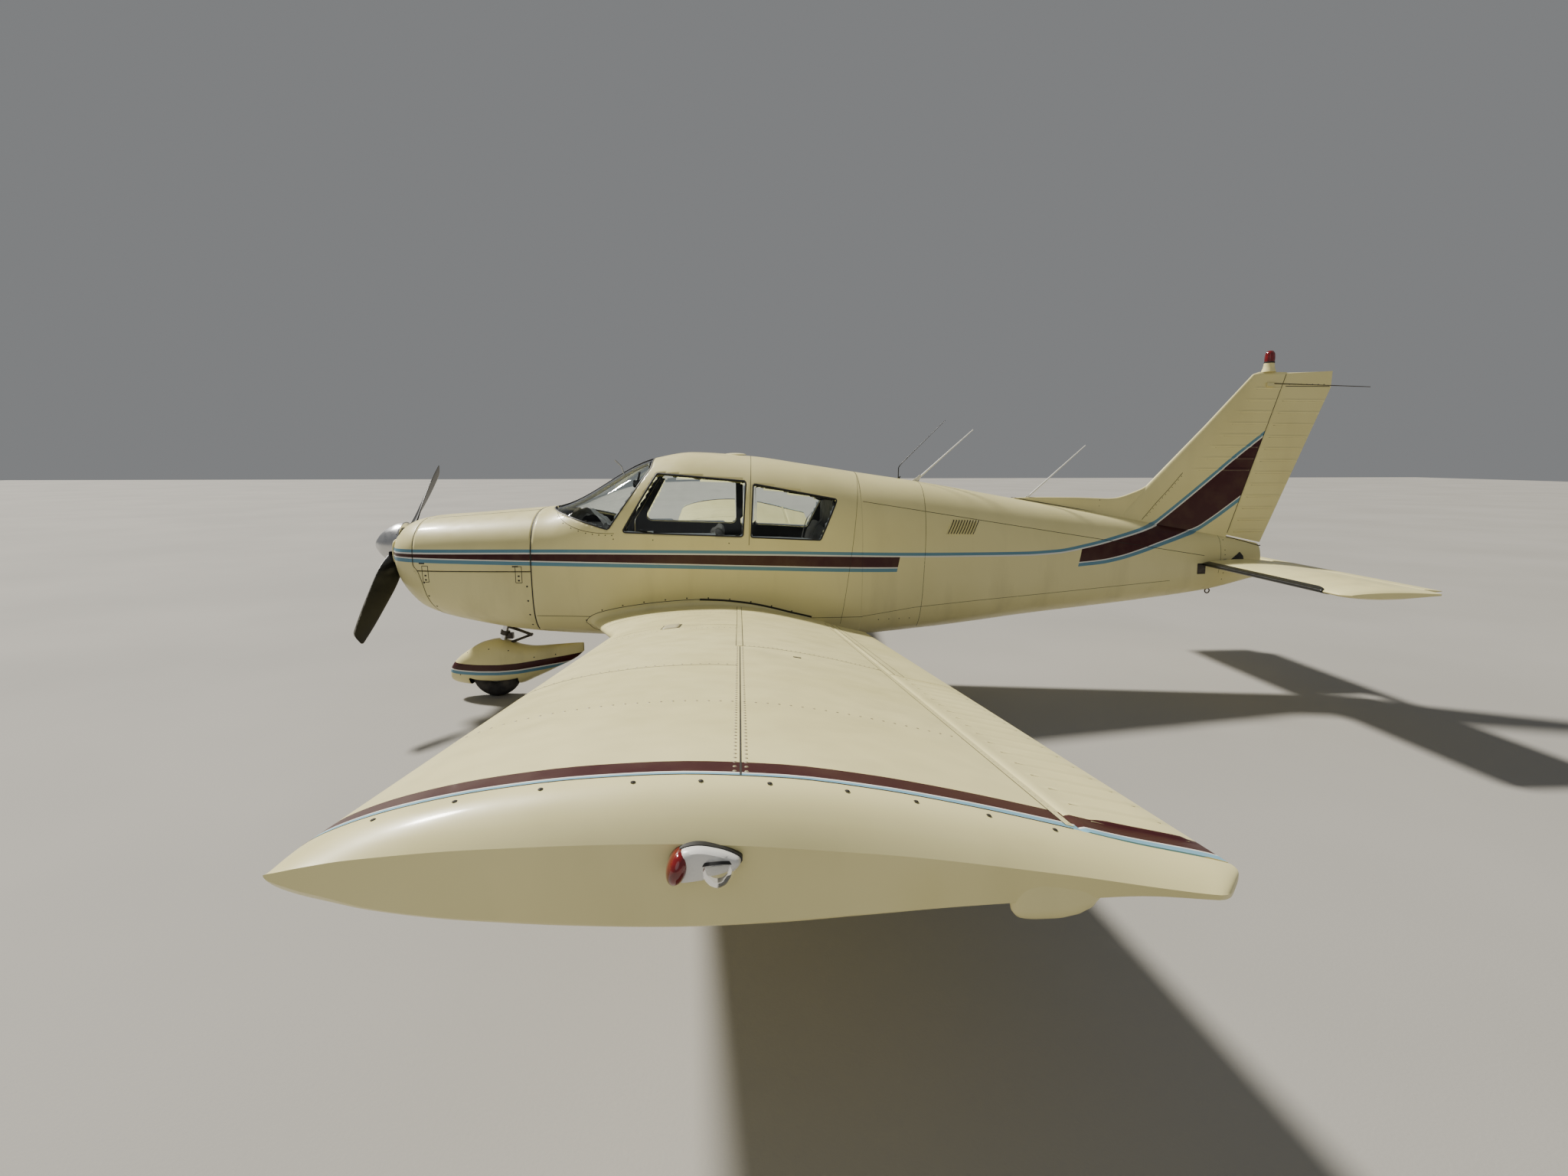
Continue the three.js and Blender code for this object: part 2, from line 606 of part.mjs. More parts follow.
// One closed section; upper and lower scale its two sides, and tuck moves the lower one inboard
function wingRing(side, y, { lead = 0, chord = CHORD, upper = 1, lower = 1, tuck = 0 } = {}) {
  const scale = (sign) => CHORD * (sign > 0 ? upper : lower);
  const height = (c, sign) => (camber(c) + sign * halfThickness(c)) * scale(sign);
  const over = STEPS.slice().reverse().map((c) => wingPoint(side, y, c, height(c, 1), lead, chord));
  const below = STEPS.slice(1).map((c) => (
    wingPoint(side, y - tuck * Math.sin(Math.PI * c), c, height(c, -1), lead, chord)));
  return [...over, ...below];
}

function hingePoint(side, y) {
  return wingPoint(side, y, HINGE_AT, camber(HINGE_AT) * CHORD);
}

const NOSE_RADIUS = halfThickness(HINGE_AT) * CHORD;

// A flap or aileron: a round nose about the hinge line, then the wing's own rear part
function controlSurface(side, from, to) {
  const ring = (y) => {
    const skin = (c, sign) => wingPoint(side, y, c, (camber(c) + sign * halfThickness(c)) * CHORD);
    const upper = [1, 0.92].map((c) => skin(c, 1));
    const lower = [0.92, 1].map((c) => skin(c, -1));
    const nose = Array.from({ length: 9 }, (_, i) => {
      const angle = Math.PI / 2 + Math.PI * i / 8;
      const c = HINGE_AT + NOSE_RADIUS * Math.cos(angle) / CHORD;
      return wingPoint(side, y, c, camber(HINGE_AT) * CHORD + NOSE_RADIUS * Math.sin(angle));
    });
    return [...upper, ...nose, ...lower];
  };
  return loft([ring(from), ring(to)]);
}

// Everything beyond a distance out on one side, for cuts
const outboard = (side, from) => (side > 0 ? [from, 5000] : [-5000, -from]);

const ROOT_RING = { y: 380, lead: -300, chord: 1900 };
const FLAP_HINGES = [900, 2450];
const AILERON_HINGES = [3050, 4050];
// The tip's sections, after the seam
const TIP_RINGS = [
  { y: 4520, upper: 0.88, lower: 1, lead: 3, chord: 1595, tuck: 20 },
  { y: 4555, upper: 0.68, lower: 0.97, lead: 10, chord: 1582, tuck: 40 },
  { y: HALF_SPAN, upper: 0.5, lower: 0.85, lead: 20, chord: 1565, tuck: 45 },
];
const TIP_LAMP = { x: 690, z: 1160, y: HALF_SPAN + 2, length: 95, depth: 46, height: 36 };
const COVE_GAP = 7;

function buildWing(name, side, fuselageRoom) {
  const rings = [
    wingRing(side, ROOT_RING.y, ROOT_RING),
    wingRing(side, GLOVE_END),
    wingRing(side, TIP_SEAM - FIT),
  ];
  const hingeX = hingePoint(side, 2000).x;
  const coveRadius = NOSE_RADIUS + COVE_GAP;
  const cove = bar(hingePoint(side, 300), hingePoint(side, HALF_SPAN), coveRadius, coveRadius, 32);
  const rear = box([hingeX - 0.6 * NOSE_RADIUS, 2000], outboard(side, 200), [0, 2000]);
  const axis = hingePoint(side, HALF_SPAN).sub(hingePoint(side, 0));
  const back = point(1, 0, 0);
  const hinges = (places) => places.map((y) => hinge({
    at: hingePoint(side, y), axis, back, radius: NOSE_RADIUS, reach: NOSE_RADIUS + 20,
  }));
  const solid = loft(rings).subtract(cove).subtract(rear).subtract(fuselageRoom);
  const flap = hang(controlSurface(side, FLAP_START, FLAP_END), solid, hinges(FLAP_HINGES));
  const aileron = hang(
    controlSurface(side, FLAP_END + CLEAR, TIP_SEAM - CLEAR), flap.carrier, hinges(AILERON_HINGES));
  place(`wing_${name}`, aileron.carrier, 'cream');
  place(`flap_${name}`, flap.surface, 'cream');
  place(`aileron_${name}`, aileron.surface, 'cream');

  const tip = loft([wingRing(side, TIP_SEAM), ...TIP_RINGS.map((ring) => wingRing(side, ring.y, ring))]);
  place(`wingtip_${name}`, tip, 'cream');
  const lamp = new THREE.SphereGeometry(1, 20, 12);
  lamp.scale(TIP_LAMP.length, TIP_LAMP.depth, TIP_LAMP.height);
  lamp.translate(TIP_LAMP.x, side * TIP_LAMP.y, TIP_LAMP.z);
  const tipRoom = tip.translate([0, side * FIT, 0]).add(tip);
  place(`wingtip_light_${name}`, solidFrom(lamp).subtract(tipRoom), side < 0 ? 'red' : 'white');
}

// A place on the wing's underside, and the wing between two places as room to cut away
const underWing = (side, y, c) => wingPoint(side, y, c, (camber(c) - halfThickness(c)) * CHORD);
const wingRoom = (side, from, to) => loft([wingRing(side, from), wingRing(side, to)])
  .translate([0, 0, -FIT]);

const JACK_PAD = { y: 2400, c: 0.4, radius: 26, drop: 32 };

function buildJackPad(name, side) {
  const { x, y, z } = underWing(side, JACK_PAD.y, JACK_PAD.c);
  const pad = bar(point(x, y, z - JACK_PAD.drop), point(x, y, z + 30), JACK_PAD.radius);
  const above = box([0, 1600], outboard(side, 0), [z + 5, 2000]);
  place(`jack_pad_${name}`, pad.subtract(wingRoom(side, 2000, 3000)).subtract(above), 'steel');
}

// Tail

// The low ridge ahead of the fin, as x and z: its foot, its back inside the fin, and its top, which
// curves up into the fin's leading edge
const DORSAL = {
  foot: [[2755, 1400], [3900, 1200]],
  back: [[3990, 1500], [4035, 1690]],
  curve: [[3990, 1700], [3899, 1608], [3840, 1560], [3794, 1535], [3728, 1508], [3647, 1480]],
  top: [[3560, 1469], [3366, 1474], [2755, 1480]],
  half: 16,
};
const dorsal = () => sidePrism(
  [...DORSAL.foot, ...DORSAL.back, ...DORSAL.curve, ...DORSAL.top], -DORSAL.half, DORSAL.half);

// The fin's levels, and its half width along each of them as shares
const FIN_LEVELS = [
  { z: 1120, lead: 3425, half: 55 },
  { z: 2006, lead: 4254, half: 32 },
  { z: 2385, lead: 4592, half: 20 },
  { z: 2402, lead: 4640, half: 12 },
];
const FIN_SHAPE = [
  { along: 0, wide: 0 },
  { along: 0.05, wide: 0.45 },
  { along: 0.16, wide: 0.75 },
  { along: 0.4, wide: 1 },
  { along: 0.7, wide: 0.95 },
  { along: 1, wide: 0.72 },
];
const RUDDER_HINGES = [{ share: 0.2, radius: 35 }, { share: 0.8, radius: 23 }];
const AERIAL_BLOCK = { x: [4690, 4745], y: [-40, 40], z: [2290, 2325] };
const widened = ([from, to], gap) => [from - gap, to + gap];

function buildFin() {
  const [low, high] = RUDDER_AXIS;
  const hingeX = (z) => THREE.MathUtils.mapLinear(z, low.z, high.z, low.x, high.x);
  const ring = ({ z, lead, half }) => {
    const at = ({ along, wide }, side) => (
      point(THREE.MathUtils.lerp(lead, hingeX(z), along), side * half * wide, z));
    const right = FIN_SHAPE.map((row) => at(row, 1));
    const left = FIN_SHAPE.slice(1).map((row) => at(row, -1)).reverse();
    return [...right, ...left];
  };
  const down = low.clone().lerp(high, -0.2);
  const over = low.clone().lerp(high, 1.2);
  const cove = bar(down, over, 47, 26, 24);
  const cutLine = [[down.x - 18, down.z], [over.x - 18, over.z]];
  const behind = sidePrism([...cutLine, [5600, over.z], [5600, down.z]], -200, 200);
  const coneRoom = fuselage(CABIN_END + 100, TAIL_CONE_END, -FIT);
  const { x, y, z } = AERIAL_BLOCK;
  const aerialRoom = box(widened(x, FIT), widened(y, 20), widened(z, FIT));
  const fin = loft(FIN_LEVELS.map(ring)).add(dorsal()).subtract(cove).subtract(behind)
    .subtract(coneRoom).subtract(aerialRoom);
  const axis = high.clone().sub(low).normalize();
  const back = new THREE.Vector3().crossVectors(point(0, 1, 0), axis);
  const hinges = RUDDER_HINGES.map(({ share, radius }) => hinge({
    at: low.clone().lerp(high, share), axis, back, radius, reach: radius + 18, pin: THIN_PIN,
  }));
  const rudder = hang(rudderSolid(), fin, hinges);
  place('fin', rudder.carrier, 'cream');
  place('rudder', rudder.surface, 'cream');
}

// The rudder's levels: share of its axis, rear end and radius of the nose
const RUDDER_LEVELS = [
  { share: 0, endX: 4782, endZ: 1132, radius: 38 },
  { share: 0.918, endX: TAIL_END, endZ: 2294, radius: 20 },
  { share: 1, endX: TAIL_END, endZ: 2414, radius: 17 },
];

function rudderSolid() {
  const low = RUDDER_AXIS[0].clone().lerp(RUDDER_AXIS[1], 0.012);
  const high = RUDDER_AXIS[1];
  const axis = high.clone().sub(low).normalize();
  const ring = ({ share, endX, endZ, radius }) => {
    const at = low.clone().lerp(high, share);
    const end = point(endX, 0, endZ);
    const forward = new THREE.Vector3().crossVectors(axis, point(0, 1, 0)).normalize();
    if (forward.x > 0) forward.negate();
    const nose = Array.from({ length: 9 }, (_, i) => {
      const angle = Math.PI / 2 + Math.PI * i / 8;
      const place = at.clone().addScaledVector(forward, -radius * Math.cos(angle));
      return place.add(point(0, radius * Math.sin(angle), 0));
    });
    const flank = (along, wide) => at.clone().lerp(end, along).add(point(0, radius * wide, 0));
    return [...nose, flank(0.55, -0.5), flank(1, -0.1), flank(1, 0.1), flank(0.55, 0.5)];
  };
  return loft(RUDDER_LEVELS.map(ring));
}

const TAB_HINGES = [-900, 900];

function buildStabilator() {
  const { x: lead, z, chord, tip, root, pivot, tube: tubeRadius } = STABILATOR;
  const shape = (c) => halfThickness(c) * 0.66 * chord;
  const shares = [0, 0.02, 0.08, 0.2, 0.4, 0.62, TAB_AT];
  const ring = (y, scale, shift) => {
    const at = (c, sign) => point(lead + shift + c * (chord - shift), y, z + sign * shape(c) * scale);
    const over = shares.slice().reverse().map((c) => at(c, 1));
    return [...over, ...shares.slice(1).map((c) => at(c, -1))];
  };
  const half = (side) => loft([
    ring(side * root, 1, 0), ring(side * (tip - 60), 1, 0), ring(side * tip, 0.45, 40),
  ]);
  const tube = bar(point(pivot, -root - 40, z), point(pivot, root + 40, z), tubeRadius);
  const tabX = lead + TAB_AT * chord + 12;
  const radius = shape(TAB_AT);
  const coveEnd = (side) => point(tabX, side * (tip + 50), z);
  const cove = bar(coveEnd(-1), coveEnd(1), radius + COVE_GAP, radius + COVE_GAP, 24);
  const plane = half(-1).add(half(1)).add(tube).subtract(cove);

  const tabRing = (y) => {
    const nose = Array.from({ length: 7 }, (_, i) => {
      const angle = Math.PI / 2 + Math.PI * i / 6;
      return point(tabX + radius * Math.cos(angle), y, z + radius * Math.sin(angle));
    });
    return [point(lead + chord, y, z + 2), ...nose, point(lead + chord, y, z - 2)];
  };
  const span = tip - 120;
  const axis = point(0, 1, 0);
  const back = point(1, 0, 0);
  const hinges = TAB_HINGES.map((y) => hinge({
    at: point(tabX, y, z), axis, back, radius, reach: radius + 16, pin: THIN_PIN,
  }));
  const tab = hang(loft([tabRing(-span), tabRing(span)]), plane, hinges);
  place('stabilator', tab.carrier, 'cream');
  place('stabilator_tab', tab.surface, 'cream');
}

// Whip aerials: where each starts and ends in the side view, and the radius of its foot
const WHIPS = [
  { name: 'whip_antenna_front', x: 2052, z: 1600, tipX: 2480, tipZ: 1976, radius: 24 },
  { name: 'whip_antenna_rear', x: 2910, z: 1490, tipX: 3343, tipZ: 1862, radius: 14 },
];

function buildAntennas() {
  const skin = fuselage(CABIN_END + 100, 4000, -FIT).add(dorsal().translate([0, 0, FIT]));
  for (const { name, x, z, tipX, tipZ, radius } of WHIPS) {
    const seat = bar(point(x, 0, z - 20), point(x + 8, 0, z + 24), radius, 10, 12);
    const rod = bar(point(x, 0, z + 10), point(tipX, 0, tipZ), 7, 3, 8);
    place(name, seat.add(rod).subtract(skin), 'white');
  }
  const beacon = turned([[0, 0], [48, 0], [50, 22], [44, 60], [42, 120], [26, 150], [0, 158]],
    point(4712, 0, 2402 + FIT), point(0, 0, 1), 24);
  place('beacon', beacon, 'red');
  const block = box(AERIAL_BLOCK.x, AERIAL_BLOCK.y, AERIAL_BLOCK.z);
  const rods = [-1, 1].map((side) => (
    bar(point(4720, side * 22, 2308), point(5190, side * 400, 2262), 6, 4, 8)));
  place('nav_antenna', block.add(rods[0]).add(rods[1]), 'alloy');
}

// Landing gear

// Half of a tyre's profile, as shares of its radius and of its width
const TYRE = [
  { radius: 0.36, out: 0.38 },
  { radius: 0.5, out: 0.48 },
  { radius: 0.68, out: 0.5 },
  { radius: 0.86, out: 0.44 },
  { radius: 0.955, out: 0.31 },
  { radius: 1, out: 0.13 },
];
const NOSE_WHEEL = { radius: 180, width: 127, bore: 13.5 };
const MAIN_WHEEL = { radius: 222, width: 155, bore: 19.5 };

function buildWheel(name, centre, { radius, width, bore }) {
  const outside = TYRE.map((row) => [row.radius * radius, row.out * width]);
  const profile = [...outside.map(([r, w]) => [r, -w]), ...outside.slice().reverse()];
  profile.push(profile[0]);
  place(`${name}_tyre`, turned(profile, centre, point(0, 1, 0), 30), 'tyre');
  const rim = outside[0][0] - FIT;
  const lip = outside[0][1];
  const hub = [[bore, -lip], [rim, -lip], [rim, lip], [bore, lip], [bore, -lip]];
  place(`${name}_hub`, turned(hub, centre, point(0, 1, 0), 30), 'alloy');
}

// Fairing sections: distance aft of the axle, top, bottom and half width, for a wheel of 180
const FAIRING = [
  { s: -338, top: 205, bottom: 150, half: 14 },
  { s: -305, top: 258, bottom: 122, half: 55 },
  { s: -210, top: 340, bottom: 102, half: 98 },
  { s: -70, top: 415, bottom: 92, half: 124 },
  { s: 50, top: 438, bottom: 90, half: 128 },
  { s: 180, top: 404, bottom: 98, half: 116 },
  { s: 300, top: 378, bottom: 146, half: 88 },
  { s: 450, top: 384, bottom: 214, half: 54 },
  { s: 600, top: 396, bottom: 290, half: 22 },
  { s: 652, top: 398, bottom: 336, half: 9 },
];

const FAIRING_ROUNDNESS = 2.5;
const MAIN_FAIRING_SCALE = 1.14;

function fairing(x, y, scale) {
  const bend = (v) => Math.sign(v) * Math.abs(v) ** (2 / FAIRING_ROUNDNESS);
  const rings = FAIRING.map(({ s, top, bottom, half }) => Array.from({ length: 20 }, (_, i) => {
    const angle = 2 * Math.PI * i / 20;
    const w = half * bend(Math.cos(angle));
    const h = (top + bottom) / 2 + (top - bottom) / 2 * bend(Math.sin(angle));
    return point(x + s * scale, y + w * scale, h * scale);
  }));
  return loft(rings);
}

const STRUT = { housing: 37, piston: 25, collar: 40 };
const CROWN = { x: [-1085, -995], y: [-90, 90], z: [372, 392] };
const LINKS = { x: -1015, z: 398, endX: -845, endZ: 432, wide: 30, thick: 14 };
const FORK = { y: 84, lowZ: 150, topX: -1040, topZ: 380, wide: 10, deep: 52 };
const NOSE_WELL = { radius: 196, half: 94 };

function buildNoseGear() {
  const { x, z } = NOSE_AXLE;
  const along = (height) => point(x + (height - z) * RAKE, 0, height);
  const housing = bar(along(512), along(845), STRUT.housing);
  const bore = bar(along(500), along(720), STRUT.piston + 0.6);
  const arm = box([-960, FIREWALL - FIT], [-60, 60], [730, 845]);
  place('nose_leg', housing.add(arm).subtract(bore), 'steel');

  const plates = [-1, 1].map((side) => flatBar(
    point(x, side * FORK.y, FORK.lowZ), point(FORK.topX, side * FORK.y, FORK.topZ), FORK.wide, FORK.deep));
  const axleEnd = NOSE_WELL.half - FIT;
  const axle = bar(point(x, -axleEnd, z), point(x, axleEnd, z), NOSE_WHEEL.bore - 0.5);
  const linkEnd = point(LINKS.endX, 0, LINKS.endZ);
  const links = [point(LINKS.x, 0, LINKS.z), along(485)]
    .map((start) => flatBar(start, linkEnd, LINKS.wide, LINKS.thick));
  const fork = [
    box(CROWN.x, CROWN.y, CROWN.z), ...plates, axle, bar(along(462), along(505), STRUT.collar), ...links,
  ].reduce((a, b) => a.add(b), bar(along(378), along(700), STRUT.piston));
  place('nose_fork', fork, 'steel');

  const well = bar(point(x, -NOSE_WELL.half, z), point(x, NOSE_WELL.half, z),
    NOSE_WELL.radius, NOSE_WELL.radius, 36);
  const crownRoom = box(widened(CROWN.x, FIT), widened(CROWN.y, 4), [300, CROWN.z[1] + FIT]);
  const legRoom = bar(along(340), along(500), STRUT.piston + FIT);
  const linkRoom = box([-1060, -820], [-18, 18], [385, 480]);
  const shell = fairing(x, 0, 1).subtract(well).subtract(crownRoom).subtract(legRoom)
    .subtract(linkRoom);
  place('nose_fairing', shell, 'cream');
  buildWheel('nose', point(x, 0, z), NOSE_WHEEL);
}

const LEG = { housing: 33, piston: 24, axle: 19, knuckle: 36, split: 430, foot: 200 };
const MAIN_WELL = { radius: 238, inner: 94, outer: 96 };

function buildMainGear(name, side) {
  const at = (y, z) => point(MAIN_AXLE.x, side * y, z);
  const axleZ = MAIN_AXLE.z;
  const top = underWing(side, LEG_Y, 0.5).z + 20;
  const housing = bar(at(LEG_Y, LEG.split), at(LEG_Y, top), LEG.housing);
  const piston = bar(at(LEG_Y, LEG.foot), at(LEG_Y, LEG.split + 10), LEG.piston);
  const axle = bar(at(LEG_Y, axleZ), at(MAIN_TRACK + MAIN_WELL.outer - FIT, axleZ), LEG.axle);
  const knuckle = bar(at(LEG_Y - 30, axleZ), at(LEG_Y + 30, axleZ), LEG.knuckle);
  const leg = housing.add(piston).add(axle).add(knuckle).subtract(wingRoom(side, 1000, 2000));
  place(`main_leg_${name}`, leg, 'steel');

  const well = bar(at(MAIN_TRACK - MAIN_WELL.inner, axleZ), at(MAIN_TRACK + MAIN_WELL.outer, axleZ),
    MAIN_WELL.radius, MAIN_WELL.radius, 36);
  const legRoom = bar(at(LEG_Y, 100), at(LEG_Y, 700), LEG.housing + FIT)
    .add(bar(at(LEG_Y - 80, axleZ), at(LEG_Y + 50, axleZ), LEG.knuckle + 4));
  const shell = fairing(MAIN_AXLE.x, side * MAIN_TRACK, MAIN_FAIRING_SCALE).subtract(well)
    .subtract(legRoom);
  place(`main_fairing_${name}`, shell, 'cream');
  buildWheel(`main_${name}`, at(MAIN_TRACK, axleZ), MAIN_WHEEL);
}

const MAST = { y: 2750, c: 0.3, half: 9, outline: [[0, 20], [90, 20], [70, -110], [-10, -110]] };

function buildSmallParts() {
  const pipe = bar(point(-870, -180, 500), point(-900, -180, 640), 24);
  const fuselageRoom = fuselage(BOWL_SEAM, CABIN_END, -FIT);
  place('exhaust_pipe', pipe.subtract(fuselageRoom), 'steel');
  const root = underWing(-1, MAST.y, MAST.c);
  const outline = MAST.outline.map(([x, z]) => [root.x + x, root.z + z]);
  const mast = sidePrism(outline, root.y - MAST.half, root.y + MAST.half);
  place('pitot_mast', mast.subtract(wingRoom(-1, 2000, 3000)), 'cream');
  const step = bar(point(1500, 440, 410), point(1500, 440, 620), 11)
    .add(box([1440, 1560], [400, 500], [400, 418]));
  place('boarding_step', step.subtract(fuselageRoom), 'black');
}

buildCabin();
buildTailCone();
buildCowling();
buildEngine();
buildPropeller();
buildCabinFittings();
const wingBodyRoom = fuselage(FIREWALL - 300, CABIN_END + 200, -FIT);
buildWing('left', -1, wingBodyRoom);
buildWing('right', 1, wingBodyRoom);
buildJackPad('left', -1);
buildJackPad('right', 1);
buildFin();
buildStabilator();
buildAntennas();
buildNoseGear();
buildMainGear('left', -1);
buildMainGear('right', 1);
buildSmallParts();

export default aircraft;
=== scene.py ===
"""Looks of a parked low-wing light aeroplane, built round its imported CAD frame.

Lengths are metres. Shapes are worked out in stations: x aft of the wing's leading edge, y to the right
and z up from the ground. Piece.build moves each finished mesh into the frame, whose origin lies
ORIGIN_STATION aft of the wing's leading edge.
"""
import logging
import math
from dataclasses import dataclass, field
from enum import Enum
from typing import Callable, Sequence

import bmesh
import bpy
import numpy as np
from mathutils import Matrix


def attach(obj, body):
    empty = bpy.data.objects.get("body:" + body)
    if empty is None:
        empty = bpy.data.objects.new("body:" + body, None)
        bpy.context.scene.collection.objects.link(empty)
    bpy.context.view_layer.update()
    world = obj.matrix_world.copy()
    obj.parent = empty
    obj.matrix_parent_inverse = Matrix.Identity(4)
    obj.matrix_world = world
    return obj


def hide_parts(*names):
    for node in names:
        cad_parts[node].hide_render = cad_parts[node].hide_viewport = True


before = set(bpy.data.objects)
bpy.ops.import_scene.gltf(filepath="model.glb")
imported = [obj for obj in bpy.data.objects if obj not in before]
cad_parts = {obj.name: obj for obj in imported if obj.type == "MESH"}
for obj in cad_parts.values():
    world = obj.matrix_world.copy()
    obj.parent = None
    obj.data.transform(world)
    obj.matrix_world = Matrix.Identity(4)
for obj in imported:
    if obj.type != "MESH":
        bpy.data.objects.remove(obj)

LOG = logging.getLogger("aeroplane")
Array = np.ndarray
Colour = tuple[float, float, float]
ORIGIN_STATION = 1.660
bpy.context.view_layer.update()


class Side(Enum):
    """The two sides of the aeroplane, as the sign of y."""

    LEFT = -1
    RIGHT = 1

    @property
    def word(self) -> str:
        """The side's name in piece and node names."""
        return self.name.lower()


def unit(vectors: Array) -> Array:
    """Vectors divided by their lengths."""
    return vectors / np.maximum(np.linalg.norm(vectors, axis=-1, keepdims=True), 1e-12)


def smooth_table(at: Array, places: Array, values: Array) -> Array:
    """Monotone cubic curves through the rows of a table.

    Each inner slope is the weighted harmonic mean of its neighbours, so nothing overshoots.

    Args:
        at: Places where the curves are wanted.
        places: The table's places, rising.
        values: One row for each place, one column for each curve.

    Returns:
        One row for each wanted place.
    """
    values = values.reshape(len(places), -1)
    step = np.diff(places)[:, None]
    slope = np.diff(values, axis=0) / step
    before, after = slope[:-1], slope[1:]
    weight_a, weight_b = 2 * step[1:] + step[:-1], step[1:] + 2 * step[:-1]
    same = before * after > 0
    safe_a, safe_b = np.where(same, before, 1), np.where(same, after, 1)
    mean = (weight_a + weight_b) / (weight_a / safe_a + weight_b / safe_b)
    tangent = np.vstack([slope[:1], np.where(same, mean, 0), slope[-1:]])
    i = np.clip(np.searchsorted(places, at, side="right") - 1, 0, len(places) - 2)
    h = step[i]
    t = ((at - places[i]) / step[i, 0])[:, None]
    return ((2 * t**3 - 3 * t**2 + 1) * values[i] + (t**3 - 2 * t**2 + t) * h * tangent[i]
            + (3 * t**2 - 2 * t**3) * values[i + 1] + (t**3 - t**2) * h * tangent[i + 1])


def evenly(path: Array, count: int, closed: bool = False) -> Array:
    """Points at equal distances along a polyline.

    Args:
        path: Points of the line.
        count: How many points to return.
        closed: Whether the line goes back to its start, which is then not repeated.

    Returns:
        The points.
    """
    if closed:
        path = np.vstack([path, path[:1]])
    length = np.concatenate([[0], np.cumsum(np.linalg.norm(np.diff(path, axis=0), axis=1))])
    wanted = np.linspace(0, length[-1], count, endpoint=not closed)
    return np.stack([np.interp(wanted, length, column) for column in path.T], -1)


@dataclass
class Surface:
    """A mesh under construction.

    Attributes:
        points: One row of three coordinates for each point.
        faces: Arrays of point numbers, each with one row for each face.
        fields: Values at the points, by attribute name.
    """

    points: Array
    faces: list[Array]
    fields: dict[str, Array] = field(default_factory=dict)

    @staticmethod
    def grid(points: Array, wrap: bool = False, flip: bool = False, caps: bool = False) -> "Surface":
        """A sheet of quads over rows and columns of points.

        Args:
            points: Array of rows, columns and coordinates.
            wrap: Whether each row closes on itself.
            flip: Whether to turn the faces over.
            caps: Whether to close the first and last rows, by joining each row's two halves.

        Returns:
            The sheet.
        """
        rows, columns = points.shape[:2]
        index = np.arange(rows * columns).reshape(rows, columns)
        if wrap:
            index = np.hstack([index, index[:, :1]])
        quads = np.stack([index[:-1, :-1], index[1:, :-1], index[1:, 1:], index[:-1, 1:]], -1).reshape(-1, 4)
        faces = [quads[:, ::-1] if flip else quads]
        if caps:
            i = np.arange(columns // 2 - (1 - columns % 2))
            for row, turned in ((0, not flip), (rows - 1, flip)):
                start = row * columns
                cap = start + np.stack([i, i + 1, columns - 2 - i, columns - 1 - i], -1)
                faces.append(cap if turned else cap[:, ::-1])
        return Surface(points.reshape(-1, 3), faces)

    @staticmethod
    def joined(parts: Sequence["Surface"]) -> "Surface":
        """All the parts as one mesh. Fields that a part lacks are zero there."""
        starts = np.cumsum([0] + [len(p.points) for p in parts])
        names = {name for p in parts for name in p.fields}
        fields = {n: np.concatenate([p.fields.get(n, np.zeros(len(p.points))) for p in parts]) for n in names}
        faces = [f + start for p, start in zip(parts, starts) for f in p.faces]
        return Surface(np.vstack([p.points for p in parts]), faces, fields)

    def mirrored(self) -> "Surface":
        """The mesh reflected to the other side, with its faces still outwards."""
        return Surface(self.points * (1, -1, 1), [f[:, ::-1] for f in self.faces], self.fields)


